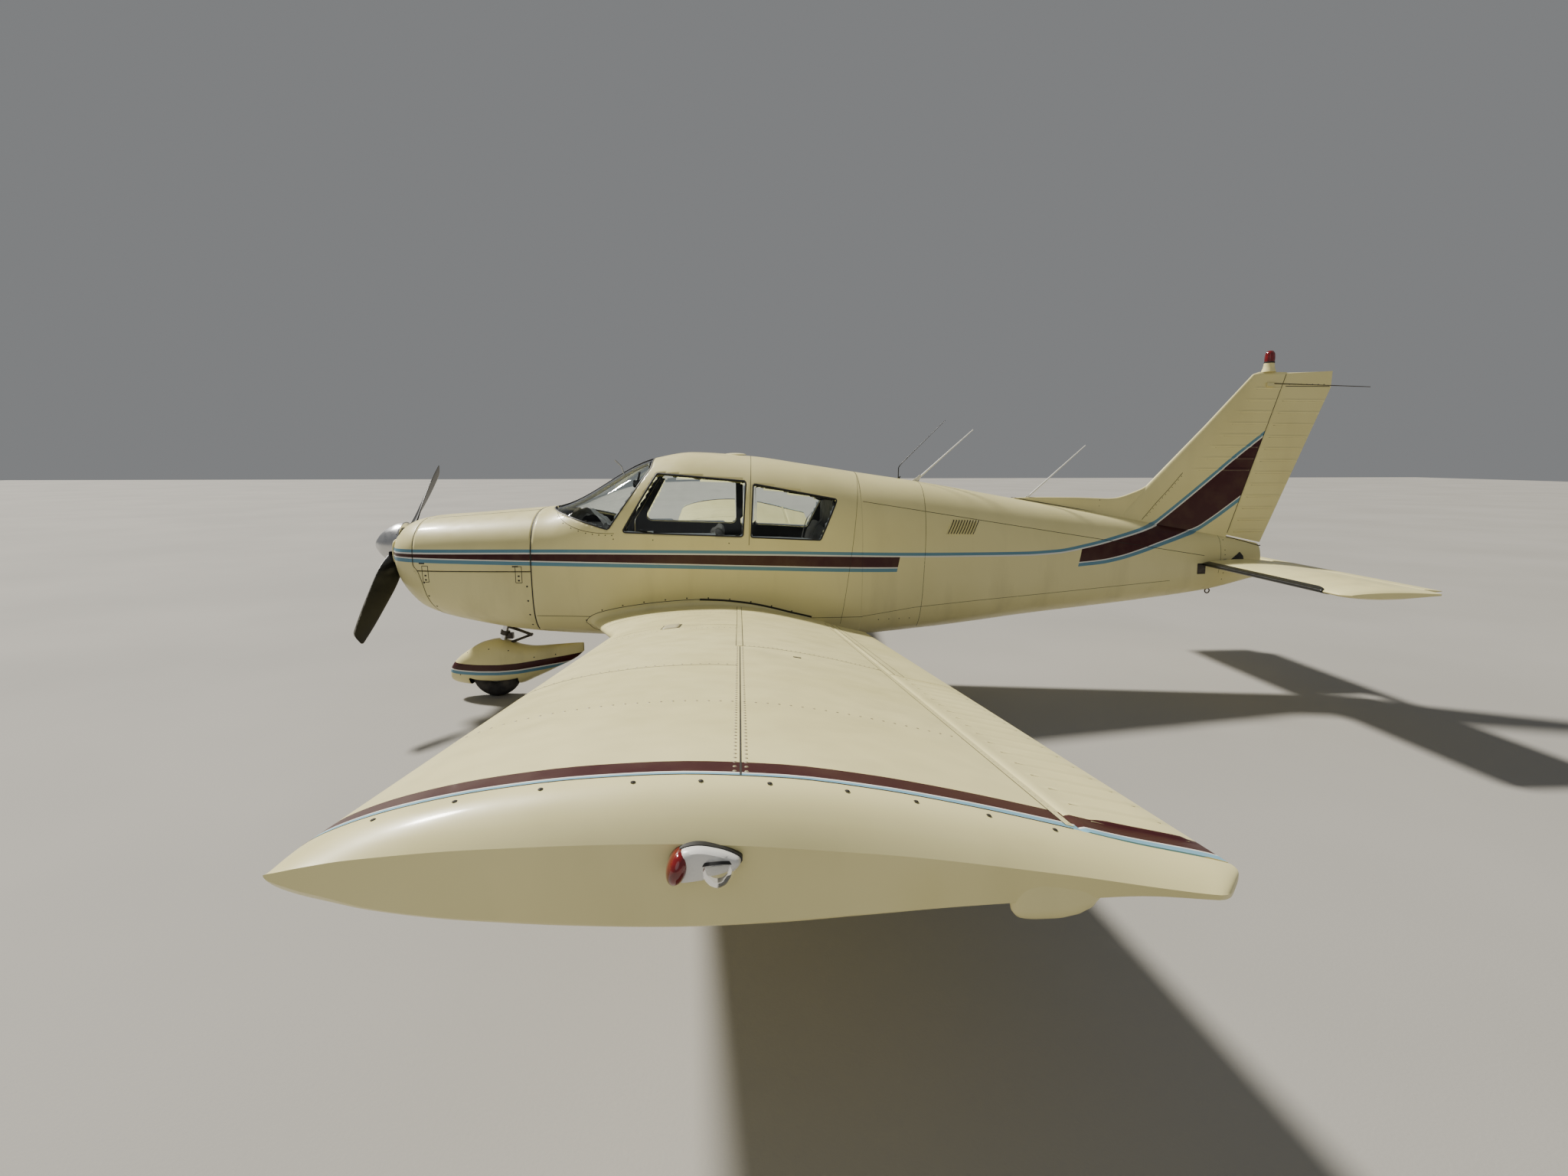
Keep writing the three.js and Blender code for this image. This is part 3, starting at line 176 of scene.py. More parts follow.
def cut(points: Array, keep: Sequence[Callable[[Array], Array]], flip: bool = False) -> Surface:
    """A grid with openings whose edges lie exactly on curves.

    Each keep function is positive where the sheet stays. Where it changes sign along a grid edge, the
    nearer end moves to the crossing. Quads split along the curve, and what is outside goes.

    Args:
        points: Array of rows, columns and coordinates.
        keep: Functions from points to signed distances.
        flip: Whether to turn the faces over.

    Returns:
        The sheet that is left.
    """
    rows, columns = points.shape[:2]
    index = np.arange(rows * columns).reshape(rows, columns)
    edges = np.vstack([
        np.stack([index[:-1].ravel(), index[1:].ravel()], -1),
        np.stack([index[:, :-1].ravel(), index[:, 1:].ravel()], -1)])
    quads = np.stack([index[:-1, :-1], index[1:, :-1], index[1:, 1:], index[:-1, 1:]], -1).reshape(-1, 4)
    place = points.reshape(-1, 3).copy()
    triangles = np.zeros((0, 3), int)
    for function in keep:
        value = function(place)
        a, b = edges.T
        crossing = value[a] * value[b] < 0
        a, b = a[crossing], b[crossing]
        share = value[a] / (value[a] - value[b])
        near, far = np.where(share < 0.5, a, b), np.where(share < 0.5, b, a)
        share = np.minimum(share, 1 - share)
        order = np.argsort(-share)
        near, far, share = near[order], far[order], share[order]
        moved = place[near] + (place[far] - place[near]) * share[:, None]
        place[near] = moved
        value[near] = 0
        if len(triangles):
            triangles = triangles[value[triangles].sum(1) > -1e-9]
        corner = value[quads]
        whole = (corner >= 0).all(1)
        mixed = ~whole & (corner > 0).any(1)
        on = (corner == 0)
        pick = (on[:, 0] & on[:, 2])[:, None]
        first = np.where(pick, quads[:, [0, 1, 2]], quads[:, [0, 1, 3]])[mixed]
        second = np.where(pick, quads[:, [0, 2, 3]], quads[:, [1, 2, 3]])[mixed]
        new = np.vstack([first, second])
        new = new[value[new].sum(1) > 1e-9]
        triangles = np.vstack([triangles, new])
        quads = quads[whole & (corner > 0).any(1)]
    if flip:
        quads, triangles = quads[:, ::-1], triangles[:, ::-1]
    used = np.unique(np.concatenate([quads.ravel(), triangles.ravel()]))
    renumber = np.full(len(place), -1)
    renumber[used] = np.arange(len(used))
    return Surface(place[used], [renumber[quads], renumber[triangles]])


def lathe(profile: Sequence[Sequence[float]], centre: Sequence[float], axis: Sequence[float],
          sides: int = 64) -> Surface:
    """A profile turned about an axis.

    Args:
        profile: Pairs of distance along the axis and radius.
        centre: Where the distance is nought.
        axis: Direction of the axis.
        sides: Number of steps round.

    Returns:
        The turned surface, which closes where the radius is nought.
    """
    along = unit(np.asarray(axis, float))
    helper = np.array([0, 0, 1.0]) if abs(along[2]) < 0.9 else np.array([1.0, 0, 0])
    across = unit(np.cross(along, helper))
    other = np.cross(along, across)
    turn = np.linspace(0, 2 * np.pi, sides, endpoint=False)
    ring = np.cos(turn)[:, None] * across + np.sin(turn)[:, None] * other
    line = np.asarray(profile, float)
    points = np.asarray(centre) + line[:, None, :1] * along + line[:, None, 1:] * ring
    return Surface.grid(points, wrap=True)


def rounded(profile: Sequence[Sequence[float]], steps: int = 6, share: float = 0.35) -> Array:
    """An open polyline whose inner corners become short curves.

    Each corner is a quadratic curve between points a share of the way along its two sides.
    """
    line = np.asarray(profile, float)
    t = np.linspace(0, 1, steps)[:, None]
    a = line[1:-1] + (line[:-2] - line[1:-1]) * share
    b = line[1:-1] + (line[2:] - line[1:-1]) * share
    curves = ((1 - t) ** 2 * a[:, None] + 2 * t * (1 - t) * line[1:-1, None] + t**2 * b[:, None])
    return np.vstack([line[:1], curves.reshape(-1, line.shape[1]), line[-1:]])


def sweep(path: Array, normals: Array, profile: Array, closed: bool = False) -> Surface:
    """A closed profile carried along a path.

    Args:
        path: Points of the path.
        normals: The profile's second direction at each point.
        profile: Pairs of distance across the path and distance along the normal.
        closed: Whether the path goes back to its start.

    Returns:
        The swept bar, with its ends closed when the path is open.
    """
    ahead = np.roll(path, -1, 0) - np.roll(path, 1, 0)
    if not closed:
        ahead[0], ahead[-1] = path[1] - path[0], path[-1] - path[-2]
    normals = unit(normals - (normals * unit(ahead)).sum(1, keepdims=True) * unit(ahead))
    across = np.cross(unit(ahead), normals)
    points = (path[:, None] + across[:, None] * profile[None, :, :1] + normals[:, None] * profile[None, :, 1:])
    if closed:
        points = np.vstack([points, points[:1]])
    return Surface.grid(points, wrap=True, caps=not closed)


def circle(radius: float, sides: int = 12, flat: float = 1.0) -> Array:
    """A round profile, or an oval one where flat isn't 1."""
    turn = np.linspace(0, 2 * np.pi, sides, endpoint=False)
    return np.stack([np.cos(turn) * radius, np.sin(turn) * radius * flat], -1)


def tube(path: Sequence[Sequence[float]], radius: float | Array, sides: int = 12) -> Surface:
    """A round bar along a path, whose radius may change from point to point."""
    line = np.asarray(path, float)
    chord = unit(line[-1] - line[0])
    helper = np.eye(3)[np.argmin(np.abs(chord))]
    size = np.broadcast_to(radius, len(line))
    ahead = unit(np.gradient(line, axis=0))
    normal = unit(np.cross(ahead, helper))
    across = np.cross(ahead, normal)
    turn = np.linspace(0, 2 * np.pi, sides, endpoint=False)
    ring = np.cos(turn)[None, :, None] * normal[:, None] + np.sin(turn)[None, :, None] * across[:, None]
    return Surface.grid(line[:, None] + ring * size[:, None, None], wrap=True, caps=True)


def block(low: Sequence[float], high: Sequence[float]) -> Surface:
    """A box between two corners."""
    a, b = np.asarray(low, float), np.asarray(high, float)
    ring = np.array([[0, 0], [1, 0], [1, 1], [0, 1]])
    points = np.stack([np.concatenate([a[:2] + (b - a)[:2] * ring, np.full((4, 1), z)], 1) for z in (a[2], b[2])])
    return Surface.grid(points, wrap=True, caps=True)


def domes(places: Array, normals: Array, radius: float, height: float) -> Surface:
    """Low round heads, one at each place: two rings of six points and a top."""
    helper = np.where(np.abs(normals[:, 2:]) < 0.9, [[0, 0, 1.0]], [[1.0, 0, 0]])
    across = unit(np.cross(normals, helper))
    other = np.cross(normals, across)
    turn = np.arange(6) * np.pi / 3
    ring = np.cos(turn)[None, :, None] * across[:, None] + np.sin(turn)[None, :, None] * other[:, None]
    base = places[:, None] + ring * radius - normals[:, None] * height * 0.3
    upper = places[:, None] + ring * radius * 0.62 + normals[:, None] * height * 0.75
    top = places[:, None] + normals[:, None] * height
    points = np.concatenate([base, upper, top], 1)
    i = np.arange(6)
    j = (i + 1) % 6
    start = np.arange(len(places))[:, None, None] * 13
    sides = (start + np.stack([i, j, j + 6, i + 6], -1)[None]).reshape(-1, 4)
    tops = (start + np.stack([i + 6, j + 6, np.full(6, 12)], -1)[None]).reshape(-1, 3)
    return Surface(points.reshape(-1, 3), [sides, tops])


def ribbon(path: Array, normals: Array, width: float, lift: float = 0.0004) -> Surface:
    """A thin strip lying on a surface along a path, such as a panel's edge."""
    half = width / 2
    profile = np.array([[-half, -0.001], [half, -0.001], [half, lift], [-half, lift]])
    return sweep(path, normals, profile)


@dataclass(frozen=True)
class Outline:
    """A closed outline in the side view, with rounded corners.

    Attributes:
        corners: Pairs of x and z, round a convex shape.
        radius: Radius of every corner.
    """

    corners: tuple[tuple[float, float], ...]
    radius: float

    def _inner(self) -> tuple[Array, Array]:
        """The outline moved in by its radius, anticlockwise, and the outward direction of each side."""
        points = np.array(self.corners)
        after = np.roll(points, -1, 0)
        area = (points[:, 0] * after[:, 1] - points[:, 1] * after[:, 0]).sum()
        if area < 0:
            points = points[::-1]
            after = np.roll(points, -1, 0)
        side = unit(after - points)
        outward = np.stack([side[:, 1], -side[:, 0]], -1)
        before = np.roll(outward, 1, 0)
        scale = self.radius / (1 + (outward * before).sum(1, keepdims=True))
        return points - (outward + before) * scale, outward

    def distance(self, x: Array, z: Array) -> Array:
        """Signed distance from the outline, negative inside."""
        inner, outward = self._inner()
        spot = np.stack([x, z], -1)[:, None]
        start, end = inner[None], np.roll(inner, -1, 0)[None]
        along = end - start
        t = np.clip(((spot - start) * along).sum(-1) / (along**2).sum(-1), 0, 1)
        nearest = np.linalg.norm(spot - start - t[..., None] * along, axis=-1).min(1)
        inside = (((spot - start) * outward[None]).sum(-1) < 0).all(1)
        return np.where(inside, -nearest, nearest) - self.radius

    def path(self, grow: float = 0.0, count: int = 160) -> Array:
        """Points at even distances round the outline, moved outwards by grow."""
        inner, outward = self._inner()
        before = np.roll(outward, 1, 0)
        start = np.arctan2(before[:, 1], before[:, 0])
        turn = (np.arctan2(outward[:, 1], outward[:, 0]) - start) % (2 * np.pi)
        angle = start[:, None] + turn[:, None] * np.linspace(0, 1, 9)
        arc = np.stack([np.cos(angle), np.sin(angle)], -1) * max(self.radius + grow, 0.0)
        return evenly((inner[:, None] + arc).reshape(-1, 2), count, closed=True)


class Graph:
    """A material's nodes, made by short calls."""

    def __init__(self, name: str) -> None:
        """Starts a material with one Principled shader."""
        self.material = bpy.data.materials.new(name)
        self.material.use_nodes = True
        self.tree = self.material.node_tree
        self.shader = self.tree.nodes["Principled BSDF"]
        spot = self.node("ShaderNodeTexCoord").outputs["Object"]
        split = self.node("ShaderNodeSeparateXYZ")
        self.tree.links.new(spot, split.inputs[0])
        self.spot = spot
        self.x, self.y, self.z = split.outputs

    def node(self, kind: str) -> bpy.types.Node:
        """A new node of that kind."""
        return self.tree.nodes.new(kind)

    def feed(self, socket: bpy.types.NodeSocket, value: object) -> None:
        """Links a socket to another, or sets its value."""
        if isinstance(value, bpy.types.NodeSocket):
            self.tree.links.new(value, socket)
        else:
            socket.default_value = value

    def math(self, kind: str, *values: object) -> bpy.types.NodeSocket:
        """The result of a Math node on sockets or numbers."""
        made = self.node("ShaderNodeMath")
        made.operation = kind
        for socket, value in zip(made.inputs, values):
            self.feed(socket, value)
        return made.outputs[0]

    def blend(self, share: object, first: object, second: object) -> bpy.types.NodeSocket:
        """A mix of two colours."""
        made = self.node("ShaderNodeMix")
        made.data_type = "RGBA"
        self.feed(made.inputs["Factor"], share)
        for socket, value in ((made.inputs[6], first), (made.inputs[7], second)):
            self.feed(socket, value if isinstance(value, bpy.types.NodeSocket) else (*value, 1.0))
        return made.outputs[2]

    def noise(self, scale: float, detail: float = 3.0, stretch: tuple | None = None,
              rough: float = 0.5) -> bpy.types.NodeSocket:
        """Noise on Object coordinates, stretched along the axes if asked."""
        made = self.node("ShaderNodeTexNoise")
        made.inputs["Scale"].default_value = scale
        made.inputs["Detail"].default_value = detail
        made.inputs["Roughness"].default_value = rough
        spot = self.spot
        if stretch:
            mapping = self.node("ShaderNodeMapping")
            mapping.inputs["Scale"].default_value = stretch
            self.feed(mapping.inputs[0], spot)
            spot = mapping.outputs[0]
        self.feed(made.inputs["Vector"], spot)
        return made.outputs["Fac"]

    def attribute(self, name: str) -> bpy.types.NodeSocket:
        """A named value of the mesh's points."""
        made = self.node("ShaderNodeAttribute")
        made.attribute_name = name
        return made.outputs["Fac"]

    def spread(self, value: object, low: float, high: float, to_low: float, to_high: float,
               ) -> bpy.types.NodeSocket:
        """A value moved from one range to another and held within it."""
        made = self.node("ShaderNodeMapRange")
        for socket, given in zip(made.inputs, (value, low, high, to_low, to_high)):
            self.feed(socket, given)
        return made.outputs[0]

    def bump(self, *layers: tuple[object, float]) -> None:
        """Bump from layers of height and depth in metres, chained into the shader's normal."""
        normal = None
        for height, depth in layers:
            made = self.node("ShaderNodeBump")
            made.inputs["Distance"].default_value = depth
            self.feed(made.inputs["Height"], height)
            if normal is not None:
                self.feed(made.inputs["Normal"], normal)
            normal = made.outputs[0]
        self.feed(self.shader.inputs["Normal"], normal)

    def set(self, **values: object) -> None:
        """Sets the shader's sockets by name, with _ for a space."""
        for name, value in values.items():
            socket = self.shader.inputs[name.replace("_", " ")]
            if isinstance(value, tuple) and len(value) == 3:
                value = (*value, 1.0)
            self.feed(socket, value)


MATERIALS: dict[str, bpy.types.Material] = {}


@dataclass(frozen=True)
class Finish:
    """A surface with uneven colour and gloss, and a fine grain.

    Attributes:
        name: The material's name.
        slot: The record's material slot. Not used.
        colour: Main colour.
        second: Colour of its patches.
        roughness: Middle roughness.
        metallic: 1 for bare metal.
        coat: Weight of the clear coat.
        patch: Patches for each metre.
        grain: Bumps for each metre.
        depth: Height of the bumps in metres.
        stretch: How much finer the grain is along x, y and z.
    """

    name: str
    slot: str
    colour: Colour
    second: Colour
    roughness: float = 0.45
    metallic: float = 0.0
    coat: float = 0.0
    patch: float = 3.0
    grain: float = 400.0
    depth: float = 0.00005
    stretch: tuple[float, float, float] | None = None

    def material(self) -> bpy.types.Material:
        """The finish's material, made once."""
        if self.name not in MATERIALS:
            MATERIALS[self.name] = self.graph().material
        return MATERIALS[self.name]

    def graph(self) -> Graph:
        """Colour patches from slow noise, roughness from quicker noise, and bump from the grain."""
        g = Graph(self.name)
        patches = g.spread(g.noise(self.patch, 5.0), 0.35, 0.65, 0.0, 1.0)
        gloss = g.spread(g.noise(self.patch * 5, 4.0), 0.3, 0.7, self.roughness * 0.82, self.roughness * 1.2)
        g.set(Base_Color=g.blend(patches, self.colour, self.second), Roughness=gloss,
              Metallic=self.metallic, Coat_Weight=self.coat)
        g.bump((g.noise(self.grain, 2.0, self.stretch), self.depth))
        return g


class Livery(Enum):
    """Which stripes a painted piece carries."""

    PLAIN = "plain"
    BODY = "body"
    WING = "wing"
    SPAT = "spat"


CREAM: Colour = (0.83, 0.755, 0.385)
CREAM_WORN: Colour = (0.77, 0.695, 0.335)
GRIME: Colour = (0.36, 0.31, 0.16)
MAROON: Colour = (0.042, 0.0010, 0.0020)
BLUE: Colour = (0.11, 0.27, 0.37)
PIN: Colour = (0.80, 0.79, 0.72)
SKY: Colour = (0.20, 0.44, 0.58)


@dataclass(frozen=True)
class Paint(Finish):
    """Cream paint on sheet metal, with the stripes of one livery.

    The body's stripes read the point fields upper and lower: metres above the upper edge of the top
    blue line, and above the lower edge of the bottom blue line. A spat's read the field band. The
    wing's lie at fixed distances from the middle.
    """

    livery: Livery = Livery.PLAIN

    def band(self, g: Graph, value: object, low: float, high: float) -> bpy.types.NodeSocket:
        """1 where the value lies between the two limits, else 0."""
        return g.math("MULTIPLY", g.math("GREATER_THAN", value, low), g.math("LESS_THAN", value, high))

    def stripes(self, g: Graph) -> list[tuple[bpy.types.NodeSocket, Colour]]:
        """The masks and colours of the livery's bands."""
        if self.livery is Livery.BODY:
            upper, lower = g.attribute("upper"), g.attribute("lower")
            slant = g.math("ADD", g.x, g.math("MULTIPLY", g.z, -0.2))
            front = g.math("LESS_THAN", slant, 1.85 - ORIGIN_STATION - 0.2 * 1.05)
            rear = g.math("GREATER_THAN", slant, 3.236 - ORIGIN_STATION - 0.2 * 1.06)
            drawn = g.math("MAXIMUM", front, rear)
            maroon = g.math("MULTIPLY", g.math("LESS_THAN", upper, -0.031), g.math("GREATER_THAN", lower, 0.033))
            return [
                (self.band(g, upper, -0.021, 0.0), BLUE), (self.band(g, upper, -0.031, -0.021), PIN),
                (g.math("MULTIPLY", maroon, drawn), MAROON),
                (g.math("MULTIPLY", self.band(g, lower, 0.025, 0.033), drawn), PIN),
                (g.math("MULTIPLY", self.band(g, lower, 0.0, 0.025), drawn), BLUE)]
        if self.livery is Livery.WING:
            out = g.math("ABSOLUTE", g.y)
            return [(self.band(g, out, 4.368, 4.430), MAROON), (self.band(g, out, 4.430, 4.4365), PIN),
                    (self.band(g, out, 4.4365, 4.462), SKY)]
        if self.livery is Livery.SPAT:
            band = g.attribute("band")
            return [(self.band(g, band, 0.0, 0.048), MAROON), (self.band(g, band, -0.009, 0.0), PIN),
                    (self.band(g, band, -0.032, -0.009), BLUE)]
        return []

    def graph(self) -> Graph:
        """Cream with faint patches, grime that runs down and gathers low, then the stripes over it."""
        g = Graph(self.name)
        patches = g.spread(g.noise(1.3, 6.0), 0.4, 0.65, 0.0, 1.0)
        colour = g.blend(patches, self.colour, self.second)
        streaks = g.spread(g.noise(5.0, 6.0, (1.0, 1.0, 0.22)), 0.52, 0.78, 0.0, 1.0)
        low = g.spread(g.z, 0.35, 1.3, 0.42, 0.10)
        colour = g.blend(g.math("MULTIPLY", streaks, low), colour, GRIME)
        marks = g.noise(9.0, 5.0)
        for mask, paint in self.stripes(g):
            tint = g.blend(g.spread(marks, 0.40, 0.80, 0.0, 0.035), paint, self.colour)
            colour = g.blend(mask, colour, tint)
        gloss = g.spread(g.noise(9.0, 5.0), 0.3, 0.7, self.roughness * 0.8, self.roughness * 1.25)
        g.set(Base_Color=colour, Roughness=gloss, Coat_Weight=self.coat, Coat_Roughness=0.12,
              Specular_IOR_Level=0.32)
        g.bump((g.noise(2.6, 1.0), 0.0016), (g.noise(self.grain, 2.0), self.depth))
        return g


@dataclass(frozen=True)
class Clear(Finish):
    """Clear or tinted plastic, with dust and fine scratches; bend is its refractive index."""

    bend: float = 1.45

    def graph(self) -> Graph:
        """Full transmission; slow noise roughens it and long thin noise scratches it."""
        g = Graph(self.name)
        dust = g.spread(g.noise(self.patch, 6.0), 0.35, 0.75, self.roughness * 0.3, self.roughness)
        tint = g.blend(g.spread(g.noise(self.patch * 2, 3.0), 0.3, 0.7, 0.0, 1.0), self.colour, self.second)
        g.set(Base_Color=tint, Roughness=dust, Transmission_Weight=1.0, IOR=self.bend,
              Specular_IOR_Level=0.5)
        g.bump((g.noise(self.grain, 2.0, self.stretch), self.depth))
        return g


@dataclass(frozen=True)
class Weave(Finish):
    """Woven seat cloth: two crossing waves of threads, with a soft sheen."""

    def graph(self) -> Graph:
        """Bump and colour from the product of two fine waves on Object coordinates."""
        g = Graph(self.name)
        waves = [g.math("SINE", g.math("MULTIPLY", axis, self.grain)) for axis in (g.x, g.y, g.z)]
        weave = g.math("ADD", g.math("MULTIPLY", waves[0], waves[1]), g.math("MULTIPLY", waves[1], waves[2]))
        share = g.spread(g.math("ADD", weave, g.spread(g.noise(self.patch, 4.0), 0.0, 1.0, -1.0, 1.0)),
                         -1.2, 1.2, 0.0, 1.0)
        g.set(Base_Color=g.blend(share, self.colour, self.second), Roughness=self.roughness, Sheen_Weight=0.35)
        g.bump((weave, self.depth), (g.noise(self.patch * 6, 4.0), 0.0012))
        return g


@dataclass(frozen=True)
class Dusty(Finish):
    """Tyre rubber or black paint, with pale dust in cloudy patches and toward the ground."""

    dust: Colour = (0.22, 0.19, 0.15)

    def graph(self) -> Graph:
        """Dust where noise is high, more of it lower down."""
        g = Graph(self.name)
        cloud = g.spread(g.noise(self.patch, 6.0), 0.42, 0.75, 0.0, 1.0)
        low = g.spread(g.z, 0.0, 0.5, 0.55, 0.12)
        base = g.blend(g.spread(g.noise(30.0, 3.0), 0.4, 0.6, 0.0, 1.0), self.colour, self.second)
        g.set(Base_Color=g.blend(g.math("MULTIPLY", cloud, low), base, self.dust), Roughness=self.roughness)
        g.bump((g.noise(self.grain, 3.0), self.depth))
        return g


@dataclass(frozen=True)
class BladePaint(Dusty):
    """Matt black paint worn to the metal along the blade's leading edge.

    The point field edge is the distance in metres from the leading edge and out the one from the hub.
    """

    def graph(self) -> Graph:
        """The dusty black, with a ragged bare strip that widens outwards."""
        g = super().graph()
        ragged = g.math("ADD", g.attribute("edge"), g.spread(g.noise(60.0, 4.0), 0.3, 0.7, -0.003, 0.003))
        width = g.spread(g.attribute("out"), 0.25, 0.90, 0.0, 0.011)
        bare = g.math("LESS_THAN", ragged, width)
        colour = g.shader.inputs["Base Color"].links[0].from_socket
        g.set(Base_Color=g.blend(bare, colour, (0.42, 0.42, 0.42)),
              Roughness=g.spread(bare, 0.0, 1.0, self.roughness, 0.32))
        return g


PAINT = Paint("cream_paint", "cream_paint", CREAM, CREAM_WORN, 0.40, coat=0.18, grain=700.0, depth=0.00002)
BODY_PAINT = Paint("striped_body_paint", "cream_paint", CREAM, CREAM_WORN, 0.40, coat=0.18, grain=700.0,
                   depth=0.00002, livery=Livery.BODY)
WING_PAINT = Paint("striped_wing_paint", "cream_paint", CREAM, CREAM_WORN, 0.44, coat=0.15, grain=700.0,
                   depth=0.00002, livery=Livery.WING)
SPAT_PAINT = Paint("striped_spat_paint", "cream_paint", CREAM, CREAM_WORN, 0.40, coat=0.18, grain=700.0,
                   depth=0.00002, livery=Livery.SPAT)
GLASS = Clear("window_glass", "window_glass", (0.90, 0.94, 0.93), (0.86, 0.90, 0.89), 0.020, patch=7.0,
              grain=160.0, depth=0.000004, stretch=(1.0, 1.0, 6.0), bend=1.22)
CLEAR_LENS = Clear("clear_lens", "window_glass", (0.93, 0.93, 0.92), (0.88, 0.88, 0.86), 0.08, patch=20.0)
RED_LENS = Finish("red_lens", "red_lens", (0.20, 0.002, 0.003), (0.11, 0.001, 0.002), 0.12, coat=1.0, patch=45.0)
GREEN_LENS = Clear("green_lens", "window_glass", (0.03, 0.55, 0.22), (0.02, 0.42, 0.16), 0.10, patch=20.0)
TRIM = Finish("cabin_trim", "black_plastic", (0.028, 0.028, 0.027), (0.020, 0.020, 0.019), 0.62, grain=900.0,
              depth=0.00025)
SEAL = Finish("black_seal", "black_plastic", (0.012, 0.012, 0.013), (0.022, 0.021, 0.020), 0.55, patch=9.0)
SEAM = Finish("panel_gap", "black_plastic", (0.034, 0.029, 0.020), (0.020, 0.018, 0.013), 0.75, patch=12.0)
RIVET = Finish("rivet_paint", "cream_paint", (0.40, 0.345, 0.20), (0.28, 0.24, 0.14), 0.46, patch=40.0)
# Dark olive for the thin strips under the fin's, rudder's and aileron's beads: painted shadow under each bead,
# with some grime.
BEAD_SHADOW_GRIME = Finish("bead_shadow_and_grime", "cream_paint", (0.27, 0.235, 0.125), (0.36, 0.32, 0.17), 0.6, patch=14.0)
# Darker cream for the fuel cover: painted shade of its raised side, spread over the whole cover.
COVER_SHADE = Finish("cover_painted_shade", "cream_paint", (0.60, 0.55, 0.33), (0.52, 0.47, 0.28), 0.42, coat=0.1, patch=14.0)
PLASTIC = Finish("black_plastic", "black_plastic", (0.020, 0.020, 0.021), (0.032, 0.031, 0.030), 0.45,
                 patch=8.0, grain=1200.0, depth=0.00008)
WHITE = Finish("white_plastic", "white_plastic", (0.80, 0.79, 0.75), (0.70, 0.69, 0.64), 0.32, coat=0.3,
               patch=6.0)
ALLOY = Finish("polished_alloy", "bare_alloy", (0.72, 0.72, 0.73), (0.60, 0.60, 0.61), 0.24, metallic=1.0,
               patch=7.0, grain=500.0, depth=0.00003, stretch=(0.1, 1.0, 1.0))
POLISHED = Finish("polished_spinner", "bare_alloy", (0.66, 0.66, 0.66), (0.58, 0.58, 0.58), 0.30, metallic=1.0,
                  patch=5.0, grain=500.0, depth=0.00002, stretch=(1.0, 0.1, 0.1))
SATIN = Finish("satin_alloy", "bare_alloy", (0.58, 0.58, 0.58), (0.44, 0.44, 0.43), 0.42, metallic=1.0,
               patch=14.0)
STEEL = Finish("leg_steel", "steel", (0.085, 0.075, 0.065), (0.045, 0.036, 0.030), 0.42, metallic=0.8, patch=18.0)
CHROME = Finish("piston_chrome", "steel", (0.78, 0.78, 0.80), (0.66, 0.66, 0.68), 0.12, metallic=1.0, patch=9.0)
BURNT = Finish("burnt_steel", "steel", (0.19, 0.13, 0.095), (0.07, 0.055, 0.050), 0.58, metallic=0.8, patch=25.0)
ENGINE = Finish("engine_grey", "engine_metal", (0.17, 0.175, 0.18), (0.095, 0.095, 0.092), 0.55, metallic=0.6,
                patch=12.0, grain=300.0, depth=0.0003)
BLADE = Dusty("blade_black", "black_paint", (0.008, 0.008, 0.009), (0.012, 0.012, 0.012), 0.38, patch=5.0,
              grain=500.0, depth=0.00004, dust=(0.022, 0.021, 0.019))
BLADES = BladePaint("blade_black_worn", "black_paint", (0.008, 0.008, 0.009), (0.012, 0.012, 0.012), 0.38,
                    patch=5.0, grain=500.0, depth=0.00004, dust=(0.022, 0.021, 0.019))
RUBBER = Dusty("tyre_rubber", "tyre_rubber", (0.017, 0.016, 0.016), (0.028, 0.027, 0.026), 0.78, patch=9.0,
               grain=700.0, depth=0.0002)
GRIP = Dusty("walkway_grip", "black_plastic", (0.020, 0.020, 0.020), (0.035, 0.034, 0.032), 0.92, patch=6.0,
             grain=900.0, depth=0.0007, dust=(0.16, 0.15, 0.13))
CLOTH = Weave("seat_cloth", "seat_cloth", (0.20, 0.185, 0.16), (0.13, 0.12, 0.10), 0.85, patch=5.0,
              grain=1400.0, depth=0.0003)
CARPET = Weave("floor_carpet", "seat_cloth", (0.070, 0.066, 0.060), (0.045, 0.042, 0.040), 0.95, patch=8.0,
               grain=900.0, depth=0.0008)
SHADE = Finish("sun_sheet", "white_plastic", (0.78, 0.79, 0.80), (0.60, 0.61, 0.63), 0.38, metallic=0.25,
               patch=9.0, grain=60.0, depth=0.0012)
DIAL = Finish("dial_face", "black_plastic", (0.010, 0.010, 0.011), (0.018, 0.018, 0.018), 0.35, patch=30.0)
MARK = Finish("dial_marks", "white_plastic", (0.75, 0.74, 0.68), (0.65, 0.64, 0.58), 0.5, patch=30.0)
BELT = Weave("belt_webbing", "seat_cloth", (0.035, 0.034, 0.033), (0.022, 0.021, 0.021), 0.8, patch=8.0,
             grain=2200.0, depth=0.0002)
BOOT = Finish("boot_rubber", "black_plastic", (0.006, 0.006, 0.007), (0.010, 0.010, 0.010), 0.34, patch=10.0,
              grain=300.0, depth=0.0001)


